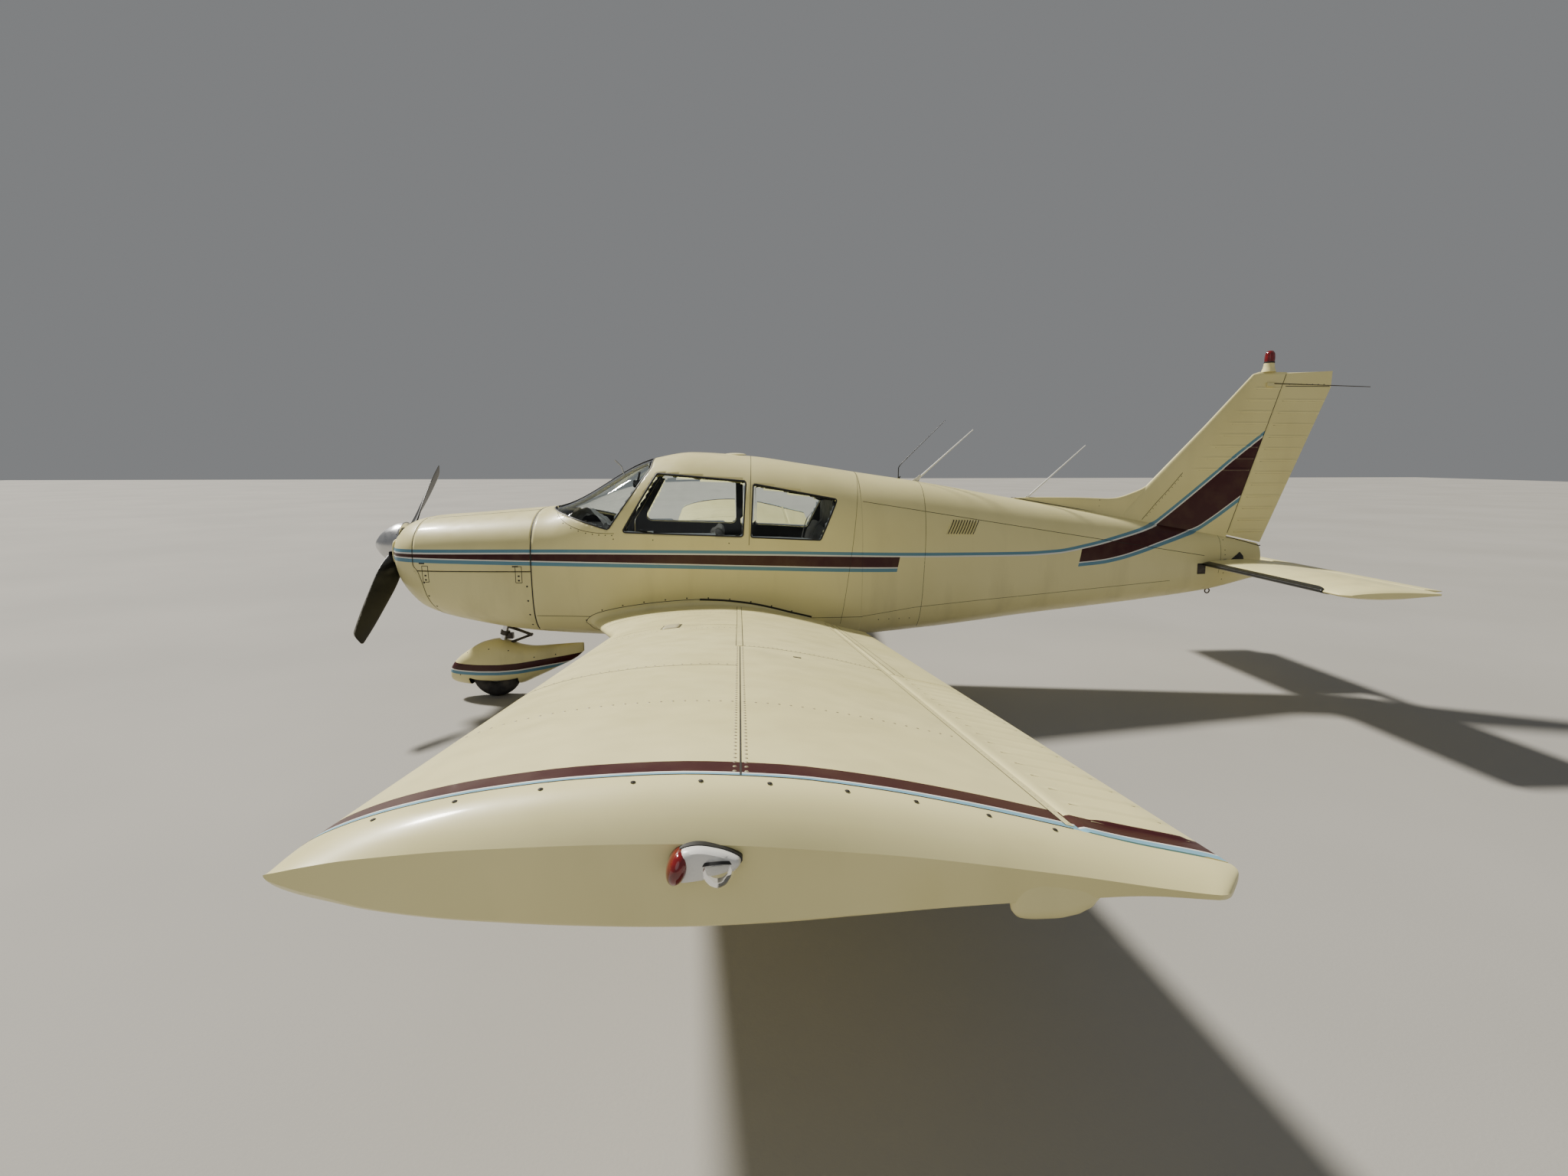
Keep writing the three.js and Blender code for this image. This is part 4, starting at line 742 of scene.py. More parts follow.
@dataclass
class Piece:
    """A finished mesh on its way into the scene.

    Attributes:
        name: The piece's name.
        surface: Its mesh, in stations.
        finish: Its finish.
        body: The body that it rides on.
        replaces: The CAD nodes that it stands for.
        closed: Whether it is a closed form whose faces can be turned outwards by rule.
        crease: Angle in degrees from which an edge stays sharp.
        thick: Thickness that an open skin gets on its inner side.
        lining: Finish of the skin's inner side.
        edge: Finish of the skin's edges.
        weld: Distance below which points are merged.
    """

    name: str
    surface: Surface
    finish: Finish
    body: str
    replaces: Sequence[str] = ()
    closed: bool = True
    crease: float = 38.0
    thick: float = 0.0
    lining: Finish | None = None
    edge: Finish | None = None
    weld: float = 2e-5

    def mesh(self) -> bpy.types.Mesh:
        """The surface as a Blender mesh in the frame, with doubles merged and shading set."""
        mesh = bpy.data.meshes.new(self.name)
        points = self.surface.points - (ORIGIN_STATION, 0.0, 0.0)
        faces = [f for f in self.surface.faces if len(f)]
        corners = np.concatenate([f.ravel() for f in faces]).astype(np.int32)
        sizes = np.concatenate([np.full(len(f), f.shape[1]) for f in faces])
        mesh.vertices.add(len(points))
        mesh.vertices.foreach_set("co", points.astype(np.float32).ravel())
        mesh.loops.add(len(corners))
        mesh.loops.foreach_set("vertex_index", corners)
        mesh.polygons.add(len(sizes))
        mesh.polygons.foreach_set("loop_start", np.concatenate([[0], np.cumsum(sizes)[:-1]]).astype(np.int32))
        mesh.update(calc_edges=True)
        for name, values in self.surface.fields.items():
            mesh.attributes.new(name, "FLOAT", "POINT").data.foreach_set("value", values.astype(np.float32))
        work = bmesh.new()
        work.from_mesh(mesh)
        bmesh.ops.remove_doubles(work, verts=work.verts, dist=self.weld)
        bmesh.ops.dissolve_degenerate(work, dist=self.weld / 2, edges=work.edges)
        if self.closed:
            bmesh.ops.recalc_face_normals(work, faces=work.faces)
        work.to_mesh(mesh)
        work.free()
        mesh.shade_smooth()
        mesh.set_sharp_from_angle(angle=math.radians(self.crease))
        return mesh

    def build(self) -> bpy.types.Object:
        """Puts the piece into the scene, on its body and with its finish."""
        made = bpy.data.objects.new(self.name, self.mesh())
        bpy.context.scene.collection.objects.link(made)
        made.data.materials.append(self.finish.material())
        if self.thick:
            wall = made.modifiers.new("wall", "SOLIDIFY")
            wall.thickness = self.thick
            wall.offset = -1.0
            for finish in (self.lining or self.finish, self.edge or self.lining or self.finish):
                made.data.materials.append(finish.material())
            wall.material_offset = 1
            wall.material_offset_rim = 2
        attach(made, self.body)
        if self.replaces:
            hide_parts(*self.replaces)
        LOG.info("%s: %d faces on %s", self.name, len(made.data.polygons), self.body)
        return made


@dataclass(frozen=True)
class BodyForm:
    """The outer shape of the fuselage.

    A section at a place x is a closed curve about the height of its widest place: in every direction
    its distance is (|cos / half| ^ power + |sin / rise| ^ power) ^ (-1 / power), with its own rise and
    power above and below. Smooth curves through the table give the sections in between.

    Attributes:
        sections: Rows of x, top, bottom, half width, widest height, power above and power below.
        firewall: Where the cowling ends.
        bowl_seam: Where the nose bowl ends above the cowling's split.
        cabin_end: Where the tail cone starts.
        tail_end: Where the tail cone ends.
    """

    sections: tuple[tuple[float, ...], ...] = (
        (-1.640, 1.262, 0.935, 0.300, 1.110, 2.3, 2.3),
        (-1.595, 1.312, 0.835, 0.372, 1.100, 2.3, 2.4),
        (-1.535, 1.340, 0.765, 0.415, 1.095, 2.4, 2.6),
        (-1.460, 1.357, 0.708, 0.447, 1.090, 2.5, 2.8),
        (-1.160, 1.380, 0.622, 0.500, 1.070, 2.6, 3.2),
        (-0.650, 1.420, 0.545, 0.541, 1.050, 2.6, 3.6),
        (-0.589, 1.425, 0.540, 0.544, 1.050, 2.6, 3.6),
        (0.148, 1.771, 0.497, 0.560, 1.050, 2.5, 3.6),
        (0.406, 1.811, 0.492, 0.560, 1.050, 2.5, 3.6),
        (0.825, 1.784, 0.486, 0.560, 1.050, 2.5, 3.6),
        (1.200, 1.730, 0.480, 0.548, 1.040, 2.5, 3.6),
        (1.590, 1.669, 0.484, 0.505, 1.030, 2.4, 3.5),
        (2.100, 1.593, 0.515, 0.425, 1.020, 2.4, 3.3),
        (2.910, 1.450, 0.600, 0.318, 1.010, 2.3, 3.0),
        (3.830, 1.293, 0.690, 0.190, 1.000, 2.2, 2.7),
        (4.380, 1.198, 0.762, 0.125, 0.990, 2.1, 2.4),
        (4.750, 1.118, 0.848, 0.060, 0.990, 2.0, 2.0),
    )
    firewall: float = -0.650
    bowl_seam: float = -1.460
    cabin_end: float = 1.590
    tail_end: float = 4.750

    def rows(self, x: Array) -> Array:
        """Top, bottom, half width, widest height and both powers at each x, as six arrays."""
        table = np.array(self.sections)
        held = np.clip(x, table[0, 0], table[-1, 0])
        return smooth_table(held.ravel(), table[:, 0], table[:, 1:]).T.reshape(6, *held.shape)

    def point(self, x: Array | float, angle: Array | float, inset: float = 0.0) -> Array:
        """Points of the skin.

        Args:
            x: Places along the fuselage.
            angle: Directions about the widest height, 0 to the right, rising over the top.
            inset: Distance of the points inside the skin.

        Returns:
            One point for each place and direction, by formula of the class.
        """
        x, angle = np.broadcast_arrays(np.asarray(x, float), np.asarray(angle, float))
        top, bottom, half, wide, over, under = self.rows(x)
        up = np.sin(angle) >= 0
        reach = np.where(up, top - wide, wide - bottom) - inset
        power = np.where(up, over, under)
        away = (np.abs(np.cos(angle) / (half - inset)) ** power
                + np.abs(np.sin(angle) / reach) ** power) ** (-1 / power)
        return np.stack([x, away * np.cos(angle), wide + away * np.sin(angle)], -1)

    def at_height(self, x: Array | float, z: Array | float, side: Side) -> Array:
        """The direction in which the skin has a height, on one side."""
        x, z = np.broadcast_arrays(np.asarray(x, float), np.asarray(z, float))
        top, bottom, half, wide, over, under = self.rows(x)
        up = z >= wide
        power = np.where(up, over, under)
        share = np.clip(np.abs(z - wide) / np.where(up, top - wide, wide - bottom), 0, 1)
        angle = np.arctan2(z - wide, half * (1 - share**power) ** (1 / power))
        return angle if side is Side.RIGHT else np.pi - angle

    def at_width(self, x: Array | float, y: Array | float, side: Side, below: bool = False) -> Array:
        """The direction in which the skin has a distance from the middle, above or below."""
        x, y = np.broadcast_arrays(np.asarray(x, float), np.asarray(y, float))
        top, bottom, half, wide, over, under = self.rows(x)
        power = under if below else over
        reach = (wide - bottom) if below else (top - wide)
        share = np.clip(np.abs(y) / half, 0, 1)
        angle = np.arctan2(reach * (1 - share**power) ** (1 / power), np.abs(y)) * (-1 if below else 1)
        return angle if side is Side.RIGHT else np.pi - angle

    def direction(self, points: Array) -> Array:
        """The direction of each point about the widest height."""
        wide = self.rows(points[..., 0])[3]
        return np.arctan2(points[..., 2] - wide, points[..., 1])

    def onto(self, points: Array, inset: float = 0.0) -> Array:
        """The points moved onto the skin, or inside it, in their own directions."""
        return self.point(points[..., 0], self.direction(points), inset)

    def normal(self, x: Array | float, angle: Array | float) -> Array:
        """Outward directions of the skin, from its two tangents."""
        step = 0.002
        ahead = self.point(np.asarray(x) + step, angle) - self.point(np.asarray(x) - step, angle)
        round_it = self.point(x, np.asarray(angle) + step) - self.point(x, np.asarray(angle) - step)
        return unit(np.cross(round_it, ahead))

    def sheet(self, x: Array, start: Array, end: Array, columns: int, inset: float = 0.0) -> Array:
        """Skin points in rows along x, each from one direction to another."""
        share = np.linspace(0, 1, columns)
        start, end = np.broadcast_to(start, x.shape), np.broadcast_to(end, x.shape)
        return self.point(x[:, None], start[:, None] + (end - start)[:, None] * share, inset)

    def line(self, x: Array, angle: Array, width: float = 0.0028) -> Surface:
        """A thin dark strip along a line on the skin."""
        return ribbon(self.point(x, angle), self.normal(x, angle), width)

    def ring_line(self, x_top: float, x_low: float, z_low: float, width: float = 0.0028) -> Surface:
        """A seam over the top from one side to the other, whose place changes with its height."""
        top = float(self.rows(np.array(x_top))[0])
        z = np.linspace(z_low, top, 60)
        share = (z - z_low) / (top - z_low)
        x = x_low + (x_top - x_low) * share
        right = self.at_height(x, z, Side.RIGHT)
        x, angle = np.concatenate([x, x[-2::-1]]), np.concatenate([right, np.pi - right[-2::-1]])
        even = evenly(np.stack([x, angle], -1), 140)
        return self.line(even[:, 0], even[:, 1], width)


@dataclass(frozen=True)
class Stripes:
    """The two edges of the side stripe, as heights along the fuselage and fin.

    Attributes:
        upper: Pairs of x and height of the top blue line's upper edge.
        lower: Pairs of x and height of the bottom blue line's lower edge.
    """

    upper: tuple[tuple[float, float], ...] = (
        (-1.64, 1.164), (-0.63, 1.169), (0.918, 1.150), (2.222, 1.110), (2.80, 1.104), (3.044, 1.113),
        (3.30, 1.152), (3.60, 1.217), (3.80, 1.266), (3.895, 1.296), (3.93, 1.323), (4.129, 1.486),
        (4.306, 1.636),
        (4.483, 1.788), (4.707, 1.965), (4.90, 2.120))
    lower: tuple[tuple[float, float], ...] = (
        (-1.64, 1.081), (-0.63, 1.061), (0.918, 1.017), (1.83, 0.985), (2.6, 0.972), (3.10, 0.976),
        (3.231, 0.984), (3.409, 0.997), (3.567, 1.024), (3.727, 1.066), (3.891, 1.116), (4.10, 1.176),
        (4.232, 1.213),
        (4.342, 1.280), (4.542, 1.425), (4.80, 1.62))

    def above(self, table: tuple[tuple[float, float], ...], points: Array) -> Array:
        """Distance of points above an edge, square to it."""
        rows = np.array(table)
        x, step = points[:, 0], 0.01
        height, ahead = (smooth_table(np.clip(x + d, rows[0, 0], rows[-1, 0]), rows[:, 0], rows[:, 1:])[:, 0]
                         for d in (0.0, step))
        return (points[:, 2] - height) * step / np.hypot(step, ahead - height)

    def mark(self, surface: Surface) -> Surface:
        """Gives a surface the two point fields that the body's paint reads."""
        surface.fields["upper"] = self.above(self.upper, surface.points)
        surface.fields["lower"] = self.above(self.lower, surface.points)
        return surface


BODY = BodyForm()
STRIPES = Stripes()


@dataclass
class Cabin:
    """The cabin's shell with its windows, door, glass and seals."""

    post: float = 0.020
    wall: float = 0.035
    step: float = 0.018
    glass_depth: float = 0.008
    glass_thick: float = 0.006
    seal_width: float = 0.010
    door_axis: tuple[float, float] = (-0.108, 0.572)
    hinge_heights: tuple[float, float] = (1.010, 1.200)
    windshield: Outline = Outline(((-0.585, 1.430), (-0.136, 1.297), (0.136, 1.703), (0.152, 1.860),
                                   (-0.585, 1.860)), 0.018)
    front_window: Outline = Outline(((-0.043, 1.280), (0.765, 1.247), (0.789, 1.615), (0.183, 1.670)), 0.012)
    rear_window: Outline = Outline(((0.819, 1.243), (1.293, 1.218), (1.417, 1.489), (0.840, 1.597)), 0.012)
    door_window: Outline = Outline(((-0.032, 1.280), (0.722, 1.249), (0.722, 1.620), (0.186, 1.670)), 0.045)
    right_rear_window: Outline = Outline(((0.872, 1.241), (1.293, 1.218), (1.417, 1.489), (0.872, 1.592)), 0.022)
    door: Outline = Outline(((-0.100, 0.930), (0.815, 0.930), (0.815, 1.660), (0.165, 1.712),
                             (-0.100, 1.285)), 0.045)

    def window(self, outline: Outline, side: Side) -> Callable[[Array], Array]:
        """A keep function: distance outside a window on one side, and large on the other."""
        return lambda p: np.where(p[:, 1] * side.value > 0.1, outline.distance(p[:, 0], p[:, 2]), 1.0)

    def shield(self, points: Array) -> Array:
        """Distance outside the two halves of the windshield."""
        flat = self.windshield.distance(points[:, 0], points[:, 2])
        return np.maximum(flat, self.post - np.abs(points[:, 1]))

    def door_distance(self, points: Array) -> Array:
        """Distance outside the door, whose rear side leans forward going inboard."""
        lean = 0.3 * (points[:, 1] - 0.55) * np.clip((points[:, 0] - 0.3) / 0.4, 0, 1)
        flat = self.door.distance(points[:, 0] - lean, points[:, 2])
        return np.where(points[:, 1] > 0.1, flat, 1.0)

    def trace(self, outline: Outline, side: Side, count: int = 200) -> tuple[Array, Array]:
        """The outline on the skin, kept off the middle post, with its outward directions."""
        flat = outline.path(count=count)
        right = np.minimum(BODY.at_height(flat[:, 0], flat[:, 1], Side.RIGHT),
                           BODY.at_width(flat[:, 0], self.post, Side.RIGHT))
        angle = right if side is Side.RIGHT else np.pi - right
        even = evenly(np.stack([flat[:, 0], angle], -1), count, closed=True)
        return BODY.point(even[:, 0], even[:, 1]), BODY.normal(even[:, 0], even[:, 1])

    def grid(self, x: Array, start: float, end: float, inset: float = 0.0) -> Array:
        """Skin points over a stretch of directions, about one step apart."""
        columns = int((end - start) * 0.62 / self.step) + 2
        return BODY.point(x[:, None], np.linspace(start, end, columns)[None], inset)

    def seal(self, outline: Outline, side: Side) -> Surface:
        """A rubber channel round a window: a low rounded bar swept along the outline."""
        path, normals = self.trace(outline, side)
        w = self.seal_width / 2
        profile = np.array([[-w, -0.010], [w, -0.010], [w, 0.0008], [w * 0.6, 0.0016], [-w * 0.6, 0.0016],
                            [-w, 0.0008]])
        return sweep(path, normals, profile, closed=True)

    def pane(self, name: str, node: str, outline: Outline, side: Side, body: str) -> None:
        """One curved pane behind its seal."""
        corners = np.array(outline.corners)
        x = np.arange(corners[:, 0].min() - 0.02, corners[:, 0].max() + 0.03, self.step)
        ends = sorted((float(BODY.at_height(x, z, side)[len(x) // 2]) for z in (1.19, 1.78)))
        if outline is self.windshield:
            middle = BODY.at_width(x, self.post, side)
            ends = sorted((float(middle.min() if side is Side.LEFT else middle.max()),
                           float(BODY.at_height(0.1, 1.25, side))))
        points = self.grid(x, ends[0] - 0.05, ends[1] + 0.05)
        inside = [lambda p: -self.shield(p)] if outline is self.windshield else [
            lambda p: -outline.distance(p[:, 0], p[:, 2])]
        skin = cut(points, inside, flip=True)
        skin.points = BODY.onto(skin.points, self.glass_depth)
        Piece(name, skin, GLASS, body, [node], closed=False, thick=self.glass_thick, lining=GLASS,
              edge=GLASS).build()

    def shell(self) -> None:
        """The cabin's outer skin, thickened inwards so that openings have real reveals."""
        x = np.arange(BODY.firewall, BODY.cabin_end, self.step)
        x = np.append(x, BODY.cabin_end)
        points = self.grid(x, -np.pi / 2, 1.5 * np.pi)
        skin = cut(points, [
            self.shield, self.window(self.front_window, Side.LEFT), self.window(self.rear_window, Side.LEFT),
            self.window(self.right_rear_window, Side.RIGHT), self.door_distance], flip=True)
        skin.points = BODY.onto(skin.points)
        Piece("cabin_skin", STRIPES.mark(skin), BODY_PAINT, "airframe", ["cabin_shell"], closed=False,
              thick=self.wall - 0.002, lining=TRIM, edge=PAINT).build()

    def door_panel(self) -> None:
        """The door: the same skin inside the door's outline, less a gap, with its window cut."""
        gap = 0.004
        x = np.arange(-0.13, 0.86, self.step * 0.8)
        ends = BODY.at_height(0.4, np.array([0.90, 1.79]), Side.RIGHT)
        points = self.grid(x, float(ends[0]), float(ends[1]))
        skin = cut(points, [lambda p: -self.door_distance(p) - gap,
                            lambda p: self.door_window.distance(p[:, 0], p[:, 2])], flip=True)
        skin.points = BODY.onto(skin.points)
        Piece("door_skin", STRIPES.mark(skin), BODY_PAINT, "door", ["cabin_door"], closed=False,
              thick=self.wall - 0.004, lining=TRIM, edge=PAINT).build()
        x, y = self.door_axis
        arms = []
        for z in self.hinge_heights:
            arms.append(tube([(x, y, z - 0.025), (x, y, z + 0.025)], 0.008, 20))
            arms.append(block((x, y - 0.006, z - 0.019), (x + 0.042, y + 0.005, z + 0.019)))
        Piece("door_hinge_arms", Surface.joined(arms), PAINT, "door").build()
        knuckles = []
        for z in self.hinge_heights:
            for low in (z - 0.0453, z + 0.0253):
                knuckles.append(tube([(x, y, low), (x, y, low + 0.020)], 0.008, 20))
                knuckles.append(block((x - 0.028, y - 0.030, low), (x, y + 0.005, low + 0.020)))
        Piece("door_hinge_knuckles", Surface.joined(knuckles), PAINT, "airframe").build()
        self.door_fittings()

    def door_fittings(self) -> None:
        """The outside handle in its dished plate, and the armrest inside."""
        at = np.array([0.70, 1.02])
        angle = float(BODY.at_height(at[0], at[1], Side.RIGHT))
        base, out = BODY.point(at[0], angle), BODY.normal(at[0], angle)
        plate = lathe([[-0.002, 0], [-0.002, 0.044], [0.0015, 0.044], [0.003, 0.040], [0.001, 0.030], [0.001, 0]],
                      base, out, 40)
        grip = base + out * 0.012 + np.array([[-0.055, 0, 0], [-0.03, 0, 0.002], [0.03, 0, 0.002], [0.05, 0, 0]])
        stem = tube([base, base + out * 0.014], 0.009, 20)
        Piece("door_handle", Surface.joined([plate, stem, tube(evenly(grip, 14), 0.006)]), SATIN, "door").build()
        x = np.linspace(0.12, 0.62, 30)
        inner = BODY.point(x, BODY.at_height(x, 1.02, Side.RIGHT), self.wall + 0.016)
        pad = sweep(inner, np.tile([0.0, 0.0, 1.0], (30, 1)), circle(0.018, 14, 1.5))
        Piece("door_armrest", pad, PLASTIC, "door").build()

    def build(self) -> None:
        """Builds the shell, panes, seals and seams."""
        self.shell()
        self.door_panel()
        for side in Side:
            self.pane(f"windshield_pane_{side.word}", f"windshield_{side.word}", self.windshield, side,
                      "airframe")
        self.pane("front_pane_left", "window_front_left", self.front_window, Side.LEFT, "airframe")
        self.pane("rear_pane_left", "window_rear_left", self.rear_window, Side.LEFT, "airframe")
        self.pane("rear_pane_right", "window_rear_right", self.right_rear_window, Side.RIGHT, "airframe")
        self.pane("door_pane", "door_window", self.door_window, Side.RIGHT, "door")
        seals = [self.seal(self.windshield, side) for side in Side]
        seals += [self.seal(self.front_window, Side.LEFT), self.seal(self.rear_window, Side.LEFT),
                  self.seal(self.right_rear_window, Side.RIGHT)]
        Piece("window_seals", Surface.joined(seals), SEAL, "airframe", crease=50).build()
        Piece("door_window_seal", self.seal(self.door_window, Side.RIGHT), SEAL, "door", crease=50).build()
        self.seams()

    def seams(self) -> None:
        """Panel gaps, rivet rows and screws on the cabin, and the moulding below the windshield."""
        lines = [BODY.ring_line(0.829, 0.805, 1.19, 0.0034), BODY.ring_line(1.586, 1.443, 0.62, 0.0022)]
        x = np.linspace(-0.64, 1.60, 120)
        base = smooth_table(np.linspace(0, 1, 60), np.array([0.0, 0.14, 0.36, 0.58, 0.80, 1.0]), np.array([
            [-0.532, 1.441], [-0.500, 1.392], [-0.385, 1.318], [-0.275, 1.285], [-0.180, 1.274],
            [-0.095, 1.272]]))
        spots = []
        for side in Side:
            lines.append(BODY.line(x, BODY.at_height(x, 0.700 - 0.02 * x, side), 0.0034))
            lines.append(BODY.line(base[:, 0], BODY.at_height(base[:, 0], base[:, 1], side), 0.0030))
            for height, first, last in ((0.720, -0.60, 1.55), (1.195, -0.60, 1.38), (0.58, -0.55, 1.55)):
                x_row = np.arange(first, last, 0.030)
                if side is Side.RIGHT:
                    x_row = x_row[(x_row < -0.14) | (x_row > 0.86)]
                spots.append(np.stack([x_row, BODY.at_height(x_row, height, side)], -1))
            z = np.arange(0.62, 1.62, 0.030)
            for x_low, x_top in ((1.42, 1.55), (1.46, 1.60)):
                x_row = np.minimum(x_low + (x_top - x_low) * (z - 0.62), 1.585)
                spots.append(np.stack([x_row, BODY.at_height(x_row, z, side)], -1))
        Piece("cabin_seams", Surface.joined(lines), SEAM, "airframe").build()
        at = np.vstack(spots)
        heads = domes(BODY.point(at[:, 0], at[:, 1]), BODY.normal(at[:, 0], at[:, 1]), 0.0030, 0.0009)
        Piece("cabin_rivets", STRIPES.mark(heads), BODY_PAINT, "airframe", weld=1e-6).build()
        screws = []
        for side in Side:
            place = np.array([[0.163, 1.229], [0.671, 1.204], [-0.100, 1.236]])
            screws.append(np.stack([place[:, 0], BODY.at_height(place[:, 0], place[:, 1], side)], -1))
            dots = base[3:58:6] + (0.0, -0.012)
            screws.append(np.stack([dots[:, 0], BODY.at_height(dots[:, 0], dots[:, 1], side)], -1))
        at = np.vstack(screws)
        heads = domes(BODY.point(at[:, 0], at[:, 1]), BODY.normal(at[:, 0], at[:, 1]), 0.0048, 0.0014)
        Piece("cabin_screws", heads, SEAM, "airframe", weld=1e-6).build()
        self.roof_details()

    def roof_details(self) -> None:
        """The low vent dome on the roof and the thermometer probe at the windshield."""
        base = BODY.point(0.715, np.pi / 2) - (0, 0, 0.003)
        dome = lathe([[0.0, 0.085], [0.005, 0.082], [0.011, 0.060], [0.014, 0.030], [0.015, 0.0]], base,
                     (0, 0, 1), 40)
        Piece("roof_vent", Surface.joined([dome]), PAINT, "airframe", closed=False).build()
        foot = BODY.point(-0.07, np.pi / 2 + 0.10, -0.001)
        probe = tube([foot - (0.012, 0, 0.03), foot + (-0.03, 0, 0.030), foot + (-0.075, 0, 0.075)], 0.005)
        Piece("air_probe", probe, SATIN, "airframe").build()


@dataclass
class TailCone:
    """The fuselage behind the cabin, with louvres, seams and the ring below."""

    step: float = 0.022
    louvres: int = 10
    louvre_foot: tuple[float, float] = (2.196, 1.234)
    louvre_top: tuple[float, float] = (2.254, 1.346)
    louvre_pitch: float = 0.0208
    plate: tuple[float, float, float, float] = (4.212, 4.280, 0.899, 0.980)

    @staticmethod
    def upper_seam(x: Array) -> Array:
        """Height of the long seam above the stripe."""
        return 1.469 - 0.163 * (x - 1.618)

    @staticmethod
    def lower_seam(x: Array) -> Array:
        """Height of the long seam near the belly."""
        return np.interp(x, [1.60, 1.97, 2.46, 3.17, 4.20], [0.672, 0.722, 0.756, 0.800, 0.866])

    def build(self) -> None:
        """Builds the cone with a rounded end, its seams, a strip of painted shade at the rudder's foot, and its
        small fittings.
        """
        x = np.append(np.arange(BODY.cabin_end, BODY.tail_end, self.step), BODY.tail_end)
        angle = np.linspace(-np.pi / 2, 1.5 * np.pi, 140)
        points = BODY.point(x[:, None], angle[None])
        turn = np.linspace(0, np.pi / 2, 10)[1:, None, None]
        middle = points[-1].mean(0)
        cap = middle + (points[-1] - middle) * np.cos(turn) + np.array([0.030, 0, 0]) * np.sin(turn)
        skin = Surface.grid(np.concatenate([points, cap]), flip=True)
        Piece("tail_cone_skin", STRIPES.mark(skin), BODY_PAINT, "airframe", ["tail_cone"], closed=False).build()
        lines = [BODY.ring_line(2.060, 2.022, 0.56, 0.0026)]
        x = np.linspace(1.60, 4.26, 120)
        for side in Side:
            lines.append(BODY.line(x, BODY.at_height(x, self.upper_seam(x), side), 0.0036))
            low = x[x < 4.0]
            lines.append(BODY.line(low, BODY.at_height(low, self.lower_seam(low), side), 0.0026))
            z = np.linspace(0.90, 1.19, 30)
            back = 4.395 + 0.05 * (z - 0.9)
            lines.append(BODY.line(back, BODY.at_height(back, z, side), 0.0024))
            # A 9 mm dark strip on the cone's top along the rudder's foot is painted shade, which hides the sunlit
            # top of the cone there.
            foot = np.linspace(4.47, 4.77, 20)
            lines.append(BODY.line(foot, BODY.at_width(foot, 0.030, side), 0.0090))
        Piece("tail_cone_seams_and_rudder_foot_shade", Surface.joined(lines), SEAM, "airframe").build()
        self.rivets()
        self.fittings()

    def rivets(self) -> None:
        """Rows of rivets along the seams and round the frames, and dark screws near the tail."""
        spots, dots = [], []
        for side in Side:
            x = np.arange(1.62, 4.20, 0.030)
            for height in (self.upper_seam(x) + 0.016, self.upper_seam(x) - 0.016, self.lower_seam(x) - 0.016):
                spots.append(np.stack([x, BODY.at_height(x, height, side)], -1))
            for place in (2.006, 2.040, 2.760, 3.490, 4.100):
                top, bottom = BODY.rows(np.array(place))[:2]
                z = np.arange(float(bottom) + 0.04, float(top) - 0.03, 0.030)
                spots.append(np.stack([np.full(len(z), place), BODY.at_height(place, z, side)], -1))
            z = np.array([0.850, 0.900, 1.040, 1.075, 1.150])
            x = np.full(len(z), 4.440)
            dots.append(np.stack([x, BODY.at_height(x, z, side)], -1))
            x = np.linspace(1.72, 1.95, 4)
            dots.append(np.stack([x, BODY.at_height(x, 0.640, side)], -1))
        for name, rows, size, finish in (("tail_cone_rivets", spots, 0.0028, BODY_PAINT),
                                         ("tail_screws", dots, 0.0048, SEAM)):
            at = np.vstack(rows)
            heads = domes(BODY.point(at[:, 0], at[:, 1]), BODY.normal(at[:, 0], at[:, 1]), size, size * 0.3)
            Piece(name, STRIPES.mark(heads), finish, "airframe", weld=1e-6).build()

    def patch(self, corners: Sequence[tuple[float, float]], side: Side, lift: float) -> Surface:
        """A four-sided patch on the skin between corners given as x and height, counted round it."""
        a, b, c, d = (np.array(p) for p in corners)
        s, t = np.meshgrid(np.linspace(0, 1, 8), np.linspace(0, 1, 8))
        flat = (a * ((1 - s) * (1 - t))[..., None] + b * (s * (1 - t))[..., None] + c * (s * t)[..., None]
                + d * ((1 - s) * t)[..., None])
        turn = BODY.at_height(flat[..., 0], flat[..., 1], side)
        return Surface.grid(BODY.point(flat[..., 0], turn, -lift), flip=side is Side.RIGHT)

    def fittings(self) -> None:
        """Louvres, static plates, the gap over the tailplane's root, the tie-down ring and drain nipples."""
        hoods, shadows, plates, holes, gaps = [], [], [], [], []
        profile = np.array([[-0.0046, -0.002], [0.0046, -0.002], [0.0052, 0.0075], [0.0026, 0.0095],
                            [-0.0040, 0.0016]])
        share = np.linspace(0, 1, 26)
        foot, top = np.array(self.louvre_foot), np.array(self.louvre_top)
        for side in Side:
            for k in range(self.louvres):
                line = foot + (top - foot) * share[:, None] + (k * self.louvre_pitch, -0.0007 * k)
                turn = BODY.at_height(line[:, 0], line[:, 1], side)
                path, out = BODY.point(line[:, 0], turn), BODY.normal(line[:, 0], turn)
                bar = sweep(path, out, profile if side is Side.LEFT else profile * (-1, 1))
                sink = (np.sin(np.pi * share) ** 0.35 - 1) * 0.0110
                bar.points += np.repeat(out * sink[:, None], len(profile), 0)
                hoods.append(bar)
